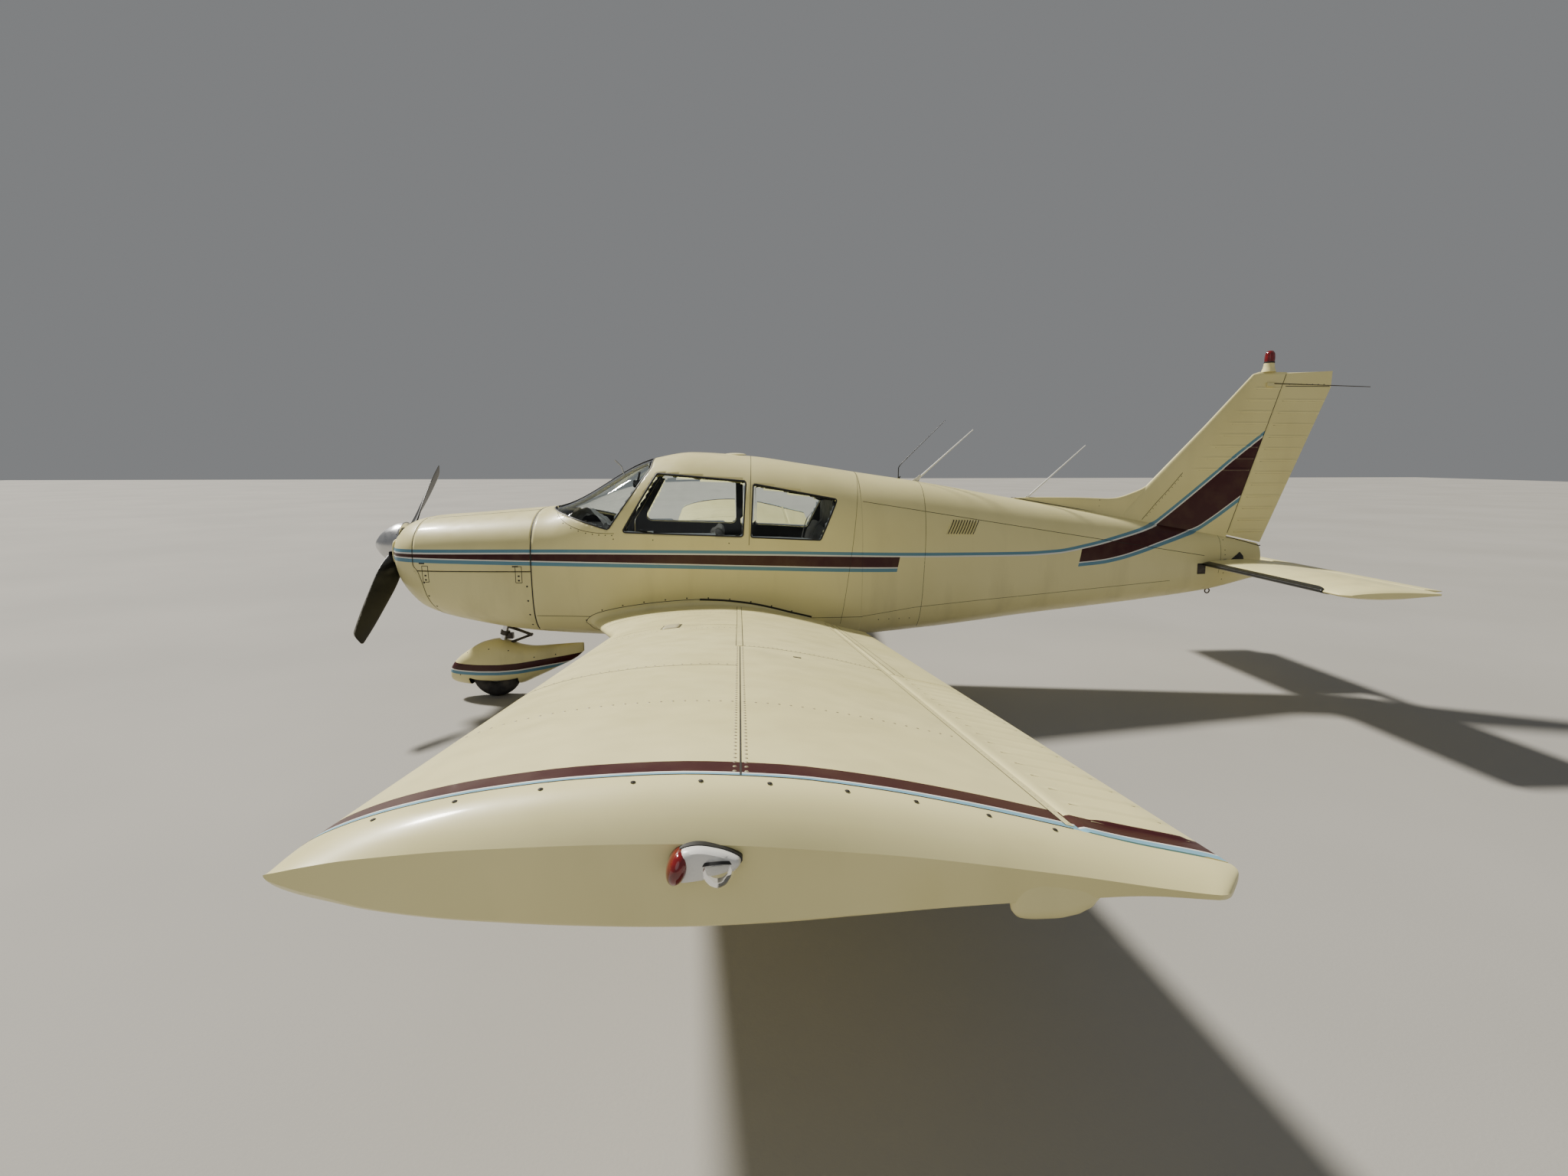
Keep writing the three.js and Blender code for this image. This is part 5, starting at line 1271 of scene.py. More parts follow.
                # A dark strip behind each hood is painted shadow in the louvre's slot.
                line = line[2:-2] + (0.0098, 0.0)
                shadows.append(BODY.line(line[:, 0], BODY.at_height(line[:, 0], line[:, 1], side), 0.0100))
            x0, x1, z0, z1 = self.plate
            plates.append(self.patch([(x0, z0), (x1, z0), (x1 - 0.006, z1), (x0 - 0.006, z1)], side, 0.0015))
            z, x = (v.ravel() for v in np.meshgrid(np.linspace(z0 + 0.009, z1 - 0.009, 8),
                                                   np.linspace(x0 + 0.006, x1 - 0.011, 6)))
            turn = BODY.at_height(x, z, side)
            holes.append(domes(BODY.point(x, turn, -0.0015), BODY.normal(x, turn), 0.0042, 0.0004))
            gaps.append(self.patch([(4.487, 1.000), (4.606, 1.000), (4.600, 1.026), (4.570, 1.058)], side,
                                   0.0016))
        Piece("cabin_air_louvres", Surface.joined(hoods), PAINT, "airframe").build()
        Piece("louvre_slot_shadows", Surface.joined(shadows), SEAM, "airframe").build()
        Piece("static_plates", Surface.joined(plates), STEEL, "airframe", closed=False, thick=0.0014).build()
        Piece("static_holes", Surface.joined(holes), SEAM, "airframe", weld=1e-6).build()
        Piece("tailplane_slots", Surface.joined(gaps), SEAL, "airframe", closed=False, thick=0.0014).build()
        turn = np.linspace(0, 2 * np.pi, 40, endpoint=False)
        ring = np.stack([4.395 + 0.018 * np.cos(turn), 0 * turn, 0.744 + 0.018 * np.sin(turn)], -1)
        loop = sweep(ring, np.tile([0.0, 1.0, 0.0], (40, 1)), circle(0.005), closed=True)
        nipples = [tube([(x, -0.09, z), (x, -0.09, z + 0.05)], 0.006, 12) for x,
                   z in ((2.14, 0.555), (1.10, 0.455))]
        Piece("tail_ring", Surface.joined([loop, *nipples]), STEEL, "airframe").build()


@dataclass
class Cowling:
    """The cowling: nose bowl, top strip, two side doors and the lower half."""

    split: float = 1.020
    hinge_y: float = 0.170
    gap: float = 0.003
    skin: float = 0.004
    opening: float = 0.118
    hub_z: float = 1.152
    inlet_y: float = 0.212
    inlet_z: float = 1.125
    inlet_size: tuple[float, float] = (0.068, 0.080)
    inlet_power: float = 2.6
    joint_x: float = -0.652
    joint_width: float = 0.0075
    latch_x: tuple[float, float] = (-1.374, -0.738)
    latch_z: tuple[float, float] = (0.945, 1.055)

    def bowl_edge(self, z: Array) -> Array:
        """Where the bowl ends at a height: straight above the split, slanting aft below it."""
        table = np.array([[0.60, -1.22], [0.70, -1.285], [0.76, -1.352], [0.85, -1.388], [0.94, -1.404],
                          [1.02, -1.430], [1.06, -1.460], [1.60, -1.460]])
        return smooth_table(np.clip(z, 0.60, 1.60), table[:, 0], table[:, 1:])[:, 0]

    def inlets(self, points: Array) -> Array:
        """Distance outside the two air inlets, ovals of a power above 2."""
        w, h = self.inlet_size
        u = np.abs(np.abs(points[:, 1]) - self.inlet_y) / w
        v = np.abs(points[:, 2] - self.inlet_z) / h
        away = (u**self.inlet_power + v**self.inlet_power) ** (1 / self.inlet_power)
        return np.where(points[:, 0] < -1.58, (away - 1) * w, 1.0)

    def bowl(self) -> None:
        """The nose bowl: rings from its rear edge forward, rounding into a face with three openings."""
        angle = np.linspace(-np.pi / 2, 1.5 * np.pi, 181)
        edge = self.bowl_edge(BODY.point(-1.43, angle)[:, 2])
        share = np.linspace(0, 1, 26)[:, None]
        x = edge[None] + (-1.640 - edge[None]) * share
        sides = BODY.point(x, angle[None])
        hole = np.stack([np.full_like(angle, -1.640), self.opening * np.cos(angle),
                         self.hub_z + self.opening * np.sin(angle)], -1)
        t = np.linspace(0, 1, 30)[1:, None, None]
        face = sides[-1] + (hole - sides[-1]) * t
        face[..., 0] = -1.640 - 0.020 * np.sin(np.pi * np.clip(t[..., 0], 0, 1)) ** 0.6
        lip = hole + np.array([0.018, 0, 0]) * np.linspace(0.3, 1, 3)[:, None, None]
        lip[..., 1:] += (hole[:, 1:] - (0, self.hub_z)) * 0.02
        grid = np.concatenate([sides, face, lip])
        skin = cut(grid, [self.inlets])
        Piece("nose_bowl", STRIPES.mark(skin), BODY_PAINT, "airframe", ["nose_cowl"], closed=False,
              thick=self.skin, lining=ENGINE, edge=PAINT).build()
        lips, walls = [], []
        turn = np.linspace(0, 2 * np.pi, 80, endpoint=False)
        w, h = self.inlet_size
        power = 2 / self.inlet_power
        for side in Side:
            y = side.value * self.inlet_y + w * np.sign(np.cos(turn)) * np.abs(np.cos(turn)) ** power
            z = self.inlet_z + h * np.sign(np.sin(turn)) * np.abs(np.sin(turn)) ** power
            path = np.stack([np.full(80, -1.652), y, z], -1)
            lips.append(sweep(path, np.tile([1.0, 0.0, 0.0], (80, 1)), circle(0.007, 12), closed=True))
            depth = np.array([0.0, 0.03, 0.09, 0.10])[:, None, None]
            size = np.array([1.0, 0.97, 0.9, 0.0])[:, None]
            tunnel = path[None] + depth * np.array([1.0, 0, 0])
            middle = np.array([side.value * self.inlet_y, self.inlet_z])
            tunnel[..., 1:] = middle + (tunnel[..., 1:] - middle) * size[..., None]
            walls.append(Surface.grid(tunnel, wrap=True, flip=False))
        Piece("inlet_lips", Surface.joined(lips), PAINT, "airframe").build()
        Piece("inlet_tunnels", Surface.joined(walls), PLASTIC, "airframe", closed=False, thick=0.002).build()

    def panels(self) -> None:
        """The top strip, both side doors and the lower half, each from edge to edge of its own."""
        x0, x1 = BODY.bowl_seam + self.gap / 2, BODY.firewall - self.gap
        x = np.linspace(x0, x1, 60)
        right = BODY.at_width(x, self.hinge_y, Side.RIGHT)
        strip = BODY.sheet(x, right, np.pi - right, 26)
        Piece("cowl_top_skin", STRIPES.mark(Surface.grid(strip, flip=True)), BODY_PAINT, "airframe",
              ["cowl_top"], closed=False, thick=self.skin, lining=SATIN, edge=PAINT).build()
        x = np.linspace(x0 + 0.003, x1 - 0.003, 60)
        low = BODY.at_height(x, self.split + 0.004, Side.RIGHT)
        high = BODY.at_width(x, self.hinge_y + 0.0095, Side.RIGHT)
        door = Surface.grid(BODY.sheet(x, low, high, 44), flip=True)
        for side in Side:
            skin = door if side is Side.RIGHT else door.mirrored()
            Piece(f"cowl_door_skin_{side.word}", STRIPES.mark(Surface(skin.points, skin.faces)), BODY_PAINT,
                  f"{side.word}_cowl_door", [f"cowl_door_{side.word}"], closed=False, thick=self.skin,
                  lining=SATIN, edge=PAINT).build()
            self.door_ribs(side)
        share = np.linspace(0, 1, 64)
        columns = np.linspace(0, 1, 120)
        low_left = BODY.at_height(x1, self.split, Side.LEFT)
        low_right = BODY.at_height(x1, self.split, Side.RIGHT) + 2 * np.pi
        guess = BODY.point(-1.40, low_left + (low_right - low_left) * columns)
        edge = self.bowl_edge(guess[:, 2]) + self.gap
        xx = edge[None] + (x1 - edge[None]) * share[:, None]
        left = BODY.at_height(xx, self.split, Side.LEFT)
        right = BODY.at_height(xx, self.split, Side.RIGHT) + 2 * np.pi
        points = BODY.point(xx, left + (right - left) * columns[None])
        skin = cut(points, [self.leg_hole, self.outlet], flip=True)
        Piece("lower_cowl_skin", STRIPES.mark(skin), BODY_PAINT, "airframe", ["lower_cowl"], closed=False,
              thick=self.skin, lining=ENGINE, edge=PAINT).build()

    def leg_hole(self, points: Array) -> Array:
        """Distance outside the opening for the nose leg, an oval in the cowling's floor."""
        away = np.hypot((points[:, 0] + 1.005) / 0.085, points[:, 1] / 0.070)
        return np.where(points[:, 2] < 0.8, (away - 1) * 0.07, 1.0)

    def outlet(self, points: Array) -> Array:
        """Distance outside the cooling air's outlet, a wide slot at the rear of the floor."""
        away = np.maximum(np.abs(points[:, 0] + 0.700) / 0.07, np.abs(points[:, 1]) / 0.145)
        return np.where(points[:, 2] < 0.8, (away - 1) * 0.07, 1.0)

    def door_ribs(self, side: Side) -> None:
        """Stiffening ribs inside a door, its piano hinge, and its two latches with their dark strikes."""
        ribs = []
        for place in (-1.40, -1.05, -0.71):
            angle = np.linspace(float(BODY.at_height(place, self.split + 0.03, side)),
                                float(BODY.at_width(place, self.hinge_y + 0.03, side)), 40)
            path = BODY.point(np.full(40, place), angle, self.skin + 0.006)
            profile = np.array([[-0.016, -0.004], [0.016, -0.004], [0.009, 0.006], [-0.009, 0.006]])
            ribs.append(sweep(path, BODY.normal(np.full(40, place), angle), profile))
        Piece(f"cowl_door_ribs_{side.word}", Surface.joined(ribs), SATIN, f"{side.word}_cowl_door").build()
        x = np.linspace(-1.452, -0.658, 60)
        angle = BODY.at_width(x, self.hinge_y, side)
        path = BODY.point(x, angle, 0.0035)
        Piece(f"cowl_hinge_{side.word}", tube(path, 0.0035, 12), SATIN, "airframe").build()
        latches = []
        for x in self.latch_x:
            top = np.linspace(x - 0.040, x, 8)
            latches.append(BODY.line(top, BODY.at_height(top, 1.072 if x < -1 else 1.055, side), 0.009))
            for z in (0.990, 0.960):
                spot = np.linspace(x - 0.006, x + 0.008, 4)
                latches.append(BODY.line(spot, BODY.at_height(spot, z, side), 0.011))
            z = np.linspace(*self.latch_z, 14)
            for edge in (x - 0.020, x + 0.022):
                latches.append(BODY.line(np.full(14, edge), BODY.at_height(edge, z, side), 0.0042))
            for edge in self.latch_z:
                row = np.linspace(x - 0.020, x + 0.022, 6)
                latches.append(BODY.line(row, BODY.at_height(row, edge, side), 0.0042))
        strike = Surface.joined(latches)
        Piece(f"cowl_latches_{side.word}", strike, SEAL, f"{side.word}_cowl_door").build()

    def seams(self) -> None:
        """The wide dark joint at the firewall, thin seams, and the dark screws beside them."""
        z = np.linspace(0.60, 1.405, 60)
        joint = []
        for side in Side:
            x = np.full(60, self.joint_x)
            joint.append(BODY.line(x, BODY.at_height(x, z, side), self.joint_width))
        ends = (float(BODY.at_height(self.joint_x, 1.40, side)) for side in (Side.RIGHT, Side.LEFT))
        joint.append(BODY.line(np.full(40, self.joint_x), np.linspace(*ends, 40), self.joint_width))
        Piece("firewall_joint", Surface.joined(joint), SEAL, "airframe").build()
        angle = np.linspace(-np.pi / 2, 1.5 * np.pi, 200)
        edge = self.bowl_edge(BODY.point(-1.43, angle)[:, 2]) + 0.0015
        lines = [BODY.line(edge, angle, 0.0046)]
        x = np.linspace(-1.43, -0.66, 60)
        for side in Side:
            lines.append(BODY.line(x, BODY.at_height(x, self.split, side), 0.0044))
            lines.append(BODY.line(x, BODY.at_width(x, self.hinge_y + 0.0015, side), 0.0070))
        Piece("cowl_seams", Surface.joined(lines), SEAM, "airframe").build()
        spots = []
        for side in Side:
            z = np.array([0.92, 0.82, 0.72, 0.64])
            x = np.full(4, -0.685)
            spots.append(np.stack([x, BODY.at_height(x, z, side)], -1))
            z = np.array([0.94, 0.845, 0.765])
            x = self.bowl_edge(z) + 0.014
            spots.append(np.stack([x, BODY.at_height(x, z, side)], -1))
        at = np.vstack(spots)
        heads = domes(BODY.point(at[:, 0], at[:, 1]), BODY.normal(at[:, 0], at[:, 1]), 0.0078, 0.0022)
        Piece("cowl_screws", heads, SEAL, "airframe", weld=1e-6).build()

    def build(self) -> None:
        """Builds the bowl, the panels and their seams."""
        self.bowl()
        self.panels()
        self.seams()


@dataclass(frozen=True)
class WingForm:
    """The wing's outer shape: one laminar section carried out along a rising, slightly twisted line.

    A point lies at a distance out from the middle, a distance along the chord and a height over the
    chord line. The section's height is its mean line plus or minus half its thickness. Near the body
    the front of the section is drawn forward, most at the body's side.
    """

    chord: float = 1.600
    leading_z: float = 0.578
    dihedral: float = 0.1208
    incidence: float = 0.0426
    washout: float = 0.0085
    half_span: float = 4.570
    tip_seam: float = 4.465
    glove_start: float = 0.380
    glove_end: float = 1.300
    glove_reach: float = 0.300
    hinge_at: float = 0.842
    flap_start: float = 0.590
    flap_end: float = 2.745
    lift: float = 0.4
    airfoil: tuple[tuple[float, float], ...] = (
        (0.0, 0.0), (0.0125, 0.0170), (0.05, 0.0325), (0.1, 0.0456), (0.2, 0.0622), (0.3, 0.0715),
        (0.4, 0.0750), (0.5, 0.0717), (0.6, 0.0612), (0.7, 0.0460), (0.8, 0.0286), (0.9, 0.0114), (1.0, 0.0015))

    def half(self, c: Array) -> Array:
        """Half thickness at a share of the chord, in metres, smooth in the share's square root."""
        table = np.array(self.airfoil)
        return smooth_table(np.sqrt(np.asarray(c, float)).ravel(), np.sqrt(table[:, 0]),
                            table[:, 1:])[:, 0].reshape(np.shape(c)) * self.chord

    def mean(self, c: Array) -> Array:
        """Height of the mean line, -lift / 4 pi (c ln c + (1 - c) ln(1 - c)), in metres."""
        held = np.clip(c, 1e-9, 1 - 1e-9)
        curve = held * np.log(held) + (1 - held) * np.log(1 - held)
        return -self.lift / (4 * np.pi) * curve * self.chord

    def lead(self, y: Array) -> Array:
        """How far the leading edge stands ahead of the straight wing's."""
        share = (self.glove_end - np.asarray(y)) / (self.glove_end - self.glove_start)
        return -self.glove_reach * np.clip(share, 0, 1.2)

    def along(self, c: Array, y: Array) -> Array:
        """Distance along the chord for a share of it, stretched forward in the front half near the body."""
        return c * self.chord + self.lead(y) * np.clip(1 - c / 0.5, 0, 1) ** 2

    def place(self, side: Side, y: Array, along: Array, up: Array) -> Array:
        """Points at a distance out, along the chord and over the chord line."""
        y, along, up = np.broadcast_arrays(*(np.asarray(v, float) for v in (y, along, up)))
        turn = self.incidence - self.washout * y / self.half_span
        x = along * np.cos(turn) + up * np.sin(turn)
        rise = up * np.cos(turn) - along * np.sin(turn)
        slope = math.atan(self.dihedral)
        z = self.leading_z + self.dihedral * y + rise * math.cos(slope)
        return np.stack([x, side.value * (y - rise * math.sin(slope)), z], -1)

    def skin(self, side: Side, y: Array, c: Array, over: bool = True) -> Array:
        """Points of the upper or lower skin."""
        sign = 1 if over else -1
        return self.place(side, y, self.along(c, y), self.mean(c) + sign * self.half(c))

    def normal(self, side: Side, y: Array, c: Array, over: bool = True) -> Array:
        """Outward directions of the skin, from its two tangents."""
        step = 0.002
        y, c = np.asarray(y, float), np.asarray(c, float)
        out = self.skin(side, y + step, c, over) - self.skin(side, y - step, c, over)
        back = self.skin(side, y, c + step, over) - self.skin(side, y, c - step, over)
        return unit(np.cross(back, out)) * side.value * (1 if over else -1)

    def line(self, side: Side, y: Array, c: Array, width: float, over: bool = True,
             lift: float = 0.0004) -> Surface:
        """A thin strip along a line on the skin."""
        y, c = np.broadcast_arrays(np.asarray(y, float), np.asarray(c, float))
        return ribbon(self.skin(side, y, c, over), self.normal(side, y, c, over), width, lift)


WING = WingForm()


@dataclass
class Wing:
    """One wing with its root fairing, flap, aileron and tip.

    Attributes:
        side: Which wing it is.
        gap: Gap between the moving surfaces and their neighbours.
        cove_gap: Gap round the noses of the moving surfaces.
        bead_pitch: Distance between the stiffening beads of the aileron.
        bead_height: Height of a bead.
        fillet: Height of the root fairing on the body and its width on the wing.
        rim_top: Shares of the chord and heights of the tip's rim over the chord line.
        rim_low: The same for the lower edge of the tip's outer face.
    """

    side: Side
    gap: float = 0.008
    cove_gap: float = 0.007
    bead_pitch: float = 0.098
    bead_height: float = 0.0052
    fillet: tuple[float, float] = (0.050, 0.060)
    rim_top: tuple[tuple[float, float], ...] = (
        (0.0, 0.026), (0.009, 0.0295), (0.041, 0.0397), (0.068, 0.047), (0.104, 0.0535), (0.2, 0.066),
        (0.4, 0.076),
        (0.6, 0.061), (0.8, 0.028), (0.904, 0.006), (0.957, -0.004), (1.0, -0.009))
    rim_low: tuple[tuple[float, float], ...] = (
        (0.0, 0.026), (0.0194, 0.0071), (0.033, -0.0009), (0.051, -0.0092), (0.0726, -0.0205), (0.09, -0.029),
        (0.2, -0.056), (0.4, -0.072), (0.6, -0.054), (0.8, -0.026), (0.904, -0.0135), (0.967, -0.0158),
        (1.0, -0.0165))

    @property
    def nose(self) -> float:
        """Radius of the moving surfaces' noses: the wing's half thickness at their hinge."""
        return float(WING.half(np.array(WING.hinge_at)))

    def ring(self) -> tuple[Array, Array, Array]:
        """The fixed part's section: shares of the chord over the top, forward, then aft along the bottom.

        Returns:
            Shares, signs of the thickness, and the cove's points as distances along and up.
        """
        edge = WING.hinge_at - 0.6 * self.nose / WING.chord
        spread = (1 - np.cos(np.linspace(0, np.pi / 2, 44))) * edge
        c = np.concatenate([spread[::-1], spread[1:]])
        sign = np.concatenate([np.ones(44), -np.ones(43)])
        turn = np.radians(np.linspace(232, 128, 14))
        size = self.nose + self.cove_gap
        hinge = np.array([WING.hinge_at * WING.chord, float(WING.mean(np.array(WING.hinge_at)))])
        cove = hinge + size * np.stack([np.cos(turn), np.sin(turn)], -1)
        return c, sign, cove

    def root(self) -> Array:
        """How far out the body's side cuts each line of the section, by halving an interval."""
        c, sign, _ = self.ring()
        low, high = np.full(len(c), 0.15), np.full(len(c), 0.95)
        for _ in range(30):
            y = (low + high) / 2
            p = WING.place(Side.RIGHT, y, WING.along(c, y), WING.mean(c) + sign * WING.half(c))
            out = np.abs(p[:, 1]) > np.abs(BODY.onto(p)[:, 1])
            low, high = np.where(out, low, y), np.where(out, y, high)
        return (low + high) / 2

    def skin(self, name: str) -> None:
        """The fixed wing: every line of the section runs from the body's side to the tip's seam."""
        c, sign, cove = self.ring()
        start = self.root() - 0.015
        share = np.linspace(0, 1, 90)[:, None] ** 1.15
        y = start[None] + (WING.tip_seam - 0.0003 - start[None]) * share
        points = WING.place(self.side, y, WING.along(c[None], y), (WING.mean(c) + sign * WING.half(c))[None])
        yc = start[[-1]][None] + (WING.tip_seam - 0.0003 - start[-1]) * share
        rear = WING.place(self.side, yc, cove[None, :, 0], cove[None, :, 1])
        grid = np.concatenate([points, rear], 1)
        surface = Surface.grid(grid, wrap=True, caps=True)
        Piece(f"wing_skin_{name}", surface, WING_PAINT, "airframe", [f"wing_{name}"], crease=34).build()

    def root_fairing(self, name: str) -> None:
        """A concave fairing round the root: curves of second degree from the body's side to the wing's skin."""
        c, sign, _ = self.ring()
        keep = slice(2, len(c) - 2)
        y = self.root()
        base = WING.place(Side.RIGHT, y, WING.along(c, y), WING.mean(c) + sign * WING.half(c))
        tangent = np.gradient(base[:, [0, 2]], axis=0)
        normal = unit(np.stack([tangent[:, 1], -tangent[:, 0]], -1))
        normal *= np.sign((normal[:20, 1]).sum())
        height, width = self.fillet
        fade = np.clip((0.80 - c) / 0.5, 0.25, 1.0)
        low = np.where(sign > 0, 1.0, 0.45)
        reach = height * fade * low
        spot = base[:, [0, 2]] + normal * reach[:, None]
        turn = BODY.at_height(spot[:, 0], spot[:, 1], Side.RIGHT)
        upper = BODY.point(spot[:, 0], turn, -0.0008)
        yw = y + width * fade * low
        outer = WING.place(Side.RIGHT, yw, WING.along(c, yw), WING.mean(c) + sign * (WING.half(c) + 0.0008))
        t = np.linspace(0, 1, 12)[:, None, None]
        sheet = ((1 - t) ** 2 * upper + 2 * t * (1 - t) * base + t**2 * outer)[:, keep]
        surface = Surface.grid(sheet)
        if self.side is Side.LEFT:
            surface = surface.mirrored()
        Piece(f"root_fairing_{name}", surface, PAINT, "airframe", closed=False, thick=0.0012).build()
        edge = evenly(upper[keep], 200)
        out = BODY.normal(edge[:, 0], BODY.direction(edge))
        dark = edge[:, 0] > 0.46
        over = edge[:, 2] > np.interp(edge[:, 0], [-0.3, 1.4], [0.60, 0.60])
        lines = [ribbon(edge, out, 0.0036)]
        black = edge[dark & over]
        lines.append(ribbon(black, BODY.normal(black[:, 0], BODY.direction(black)), 0.013, 0.0012))
        strip = Surface.joined(lines)
        Piece(f"root_fairing_edge_{name}", strip if self.side is Side.RIGHT else strip.mirrored(), SEAL,
              "airframe").build()
        at = evenly(upper[keep], 26)[1:-1]
        at[:, 2] += np.where(at[:, 2] > 0.62, 0.012, -0.004)
        turn = BODY.direction(at)
        heads = domes(BODY.point(at[:, 0], turn), BODY.normal(at[:, 0], turn), 0.0060, 0.0018)
        Piece(f"root_fairing_screws_{name}", heads if self.side is Side.RIGHT else heads.mirrored(), SEAL,
              "airframe", weld=1e-6).build()

    def surface_ring(self, bead: bool, start: float, end: float) -> Surface:
        """A flap or aileron: a round nose about the hinge, then the wing's rear part.

        Beads, where there are any, are narrow ridges of a high power of a cosine, along the chord.
        """
        back = np.linspace(WING.hinge_at, 1.0, 15)
        turn = np.linspace(np.pi / 2, 1.5 * np.pi, 15)[1:-1]
        middle = float(WING.mean(np.array(WING.hinge_at)))
        along = np.concatenate([back[::-1] * WING.chord, WING.hinge_at * WING.chord + self.nose * np.cos(turn),
                                back * WING.chord])
        c = np.concatenate([back[::-1], np.full(13, WING.hinge_at), back])
        sign = np.concatenate([np.ones(15), np.zeros(13), -np.ones(15)])
        up = np.concatenate([WING.mean(back[::-1]) + WING.half(back[::-1]), middle + self.nose * np.sin(turn),
                             WING.mean(back) - WING.half(back)])
        rows = int((end - start) / (0.0055 if bead else 0.05)) + 2
        y = np.linspace(start, end, rows)
        wave = np.maximum(np.cos((y - start - 0.05) * 2 * np.pi / self.bead_pitch), 0) ** 7 if bead else 0 * y
        fade = np.clip((c - 0.868) / 0.012, 0, 1) * np.clip((0.992 - c) / 0.012, 0, 1)
        rise = self.bead_height * wave[:, None] * (fade * sign)[None]
        points = WING.place(self.side, y[:, None], along[None], up[None] + rise)
        return Surface.grid(points, wrap=True, caps=True)

    def moving(self, name: str) -> None:
        """The flap and the aileron."""
        flap = self.surface_ring(False, WING.flap_start, WING.flap_end)
        Piece(f"flap_skin_{name}", flap, PAINT, f"{name}_flap", [f"flap_{name}"]).build()
        aileron = self.surface_ring(True, WING.flap_end + self.gap, WING.tip_seam - self.gap)
        Piece(f"aileron_skin_{name}", aileron, WING_PAINT, f"{name}_aileron", [f"aileron_{name}"],
              crease=60).build()
        strips = []
        y = np.linspace(WING.flap_start + 0.005, WING.flap_end - 0.005, 80)
        strips.append(WING.line(self.side, y, 0.848, 0.0030, lift=0.0006))
        strips.append(WING.line(self.side, y, 0.872, 0.0022, lift=0.0006))
        Piece(f"flap_strip_{name}", Surface.joined(strips), SEAM, f"{name}_flap").build()

    def tip(self, name: str) -> None:
        """The moulded tip: the wing's section turns into a low one with a raised nose and a blunt tail.

        Heights over the chord line are (1 - w) times the section's plus w times the rim's, with w a
        power of the distance from the seam.
        """
        c = (1 - np.cos(np.linspace(0, np.pi, 70))) / 2
        over, under = np.array(self.rim_top), np.array(self.rim_low)
        top = smooth_table(np.sqrt(c), np.sqrt(over[:, 0]), over[:, 1:])[:, 0]
        low = smooth_table(np.sqrt(c), np.sqrt(under[:, 0]), under[:, 1:])[:, 0]
        share = np.concatenate([np.linspace(0, 0.76, 10), np.linspace(0.80, 1.0, 9)])[:, None]
        w = share**2.4
        y = WING.tip_seam + (WING.half_span - 0.0005 - WING.tip_seam) * share
        y = y - 0.045 * np.clip((c - 0.965) / 0.035, 0, 1) ** 2 * share
        along = 0.020 * w + c * (WING.chord - 0.055 * w)
        tuck = 0.045 * w * np.sin(np.pi * c)
        upper = WING.place(self.side, y, along, (1 - w) * (WING.mean(c) + WING.half(c)) + w * top)
        lower = WING.place(self.side, y - tuck, along, (1 - w) * (WING.mean(c) - WING.half(c)) + w * low)
        grid = np.concatenate([upper[:, ::-1], lower[:, 1:]], 1)
        Piece(f"tip_skin_{name}", Surface.grid(grid, wrap=True, caps=True), PAINT, "airframe",
              [f"wingtip_{name}"], crease=26).build()
        t = np.linspace(0, 2 * np.pi, 36, endpoint=False)
        round_x = 0.075 * np.sign(np.cos(t)) * np.abs(np.cos(t)) ** 0.6
        round_y = 0.027 * np.sign(np.sin(t)) * np.abs(np.sin(t)) ** 0.8
        levels = np.array([[1.092, 1.0, 0.0], [1.058, 1.0, 0.0], [1.044, 0.93, 0.004], [1.033, 0.80, 0.012],
                           [1.026, 0.62, 0.020], [1.023, 0.35, 0.024], [1.0226, 0.0, 0.024]])
        rows = [np.stack([1.255 - back + round_x * size, self.side.value * (4.534 + round_y * size), 0 * t + z],
                         -1)
                for z, size, back in levels]
        blister = Surface.grid(np.stack(rows), wrap=True)
        Piece(f"tip_blister_{name}", blister, PAINT, "airframe", crease=60).build()

    def light(self, name: str) -> None:
        """The wing tip's light: a white housing, a coloured lens ahead and a clear one that looks down."""
        out = self.side.value
        shape = np.array([[0.632, 1.138], [0.634, 1.170], [0.648, 1.183], [0.674, 1.1865], [0.712, 1.178],
                          [0.740, 1.1635],
                          [0.730, 1.148], [0.700, 1.138], [0.664, 1.1325], [0.642, 1.130]])
        line = evenly(rounded(np.vstack([shape, shape[:1]]), 5, 0.4)[:-1], 60, closed=True)
        middle = line.mean(0)

        def layer(y: float, size: float) -> Array:
            """The outline at a distance out and a size."""
            flat = middle + (line - middle) * size
            return np.stack([flat[:, 0], np.full(60, out * y), flat[:, 1]], -1)

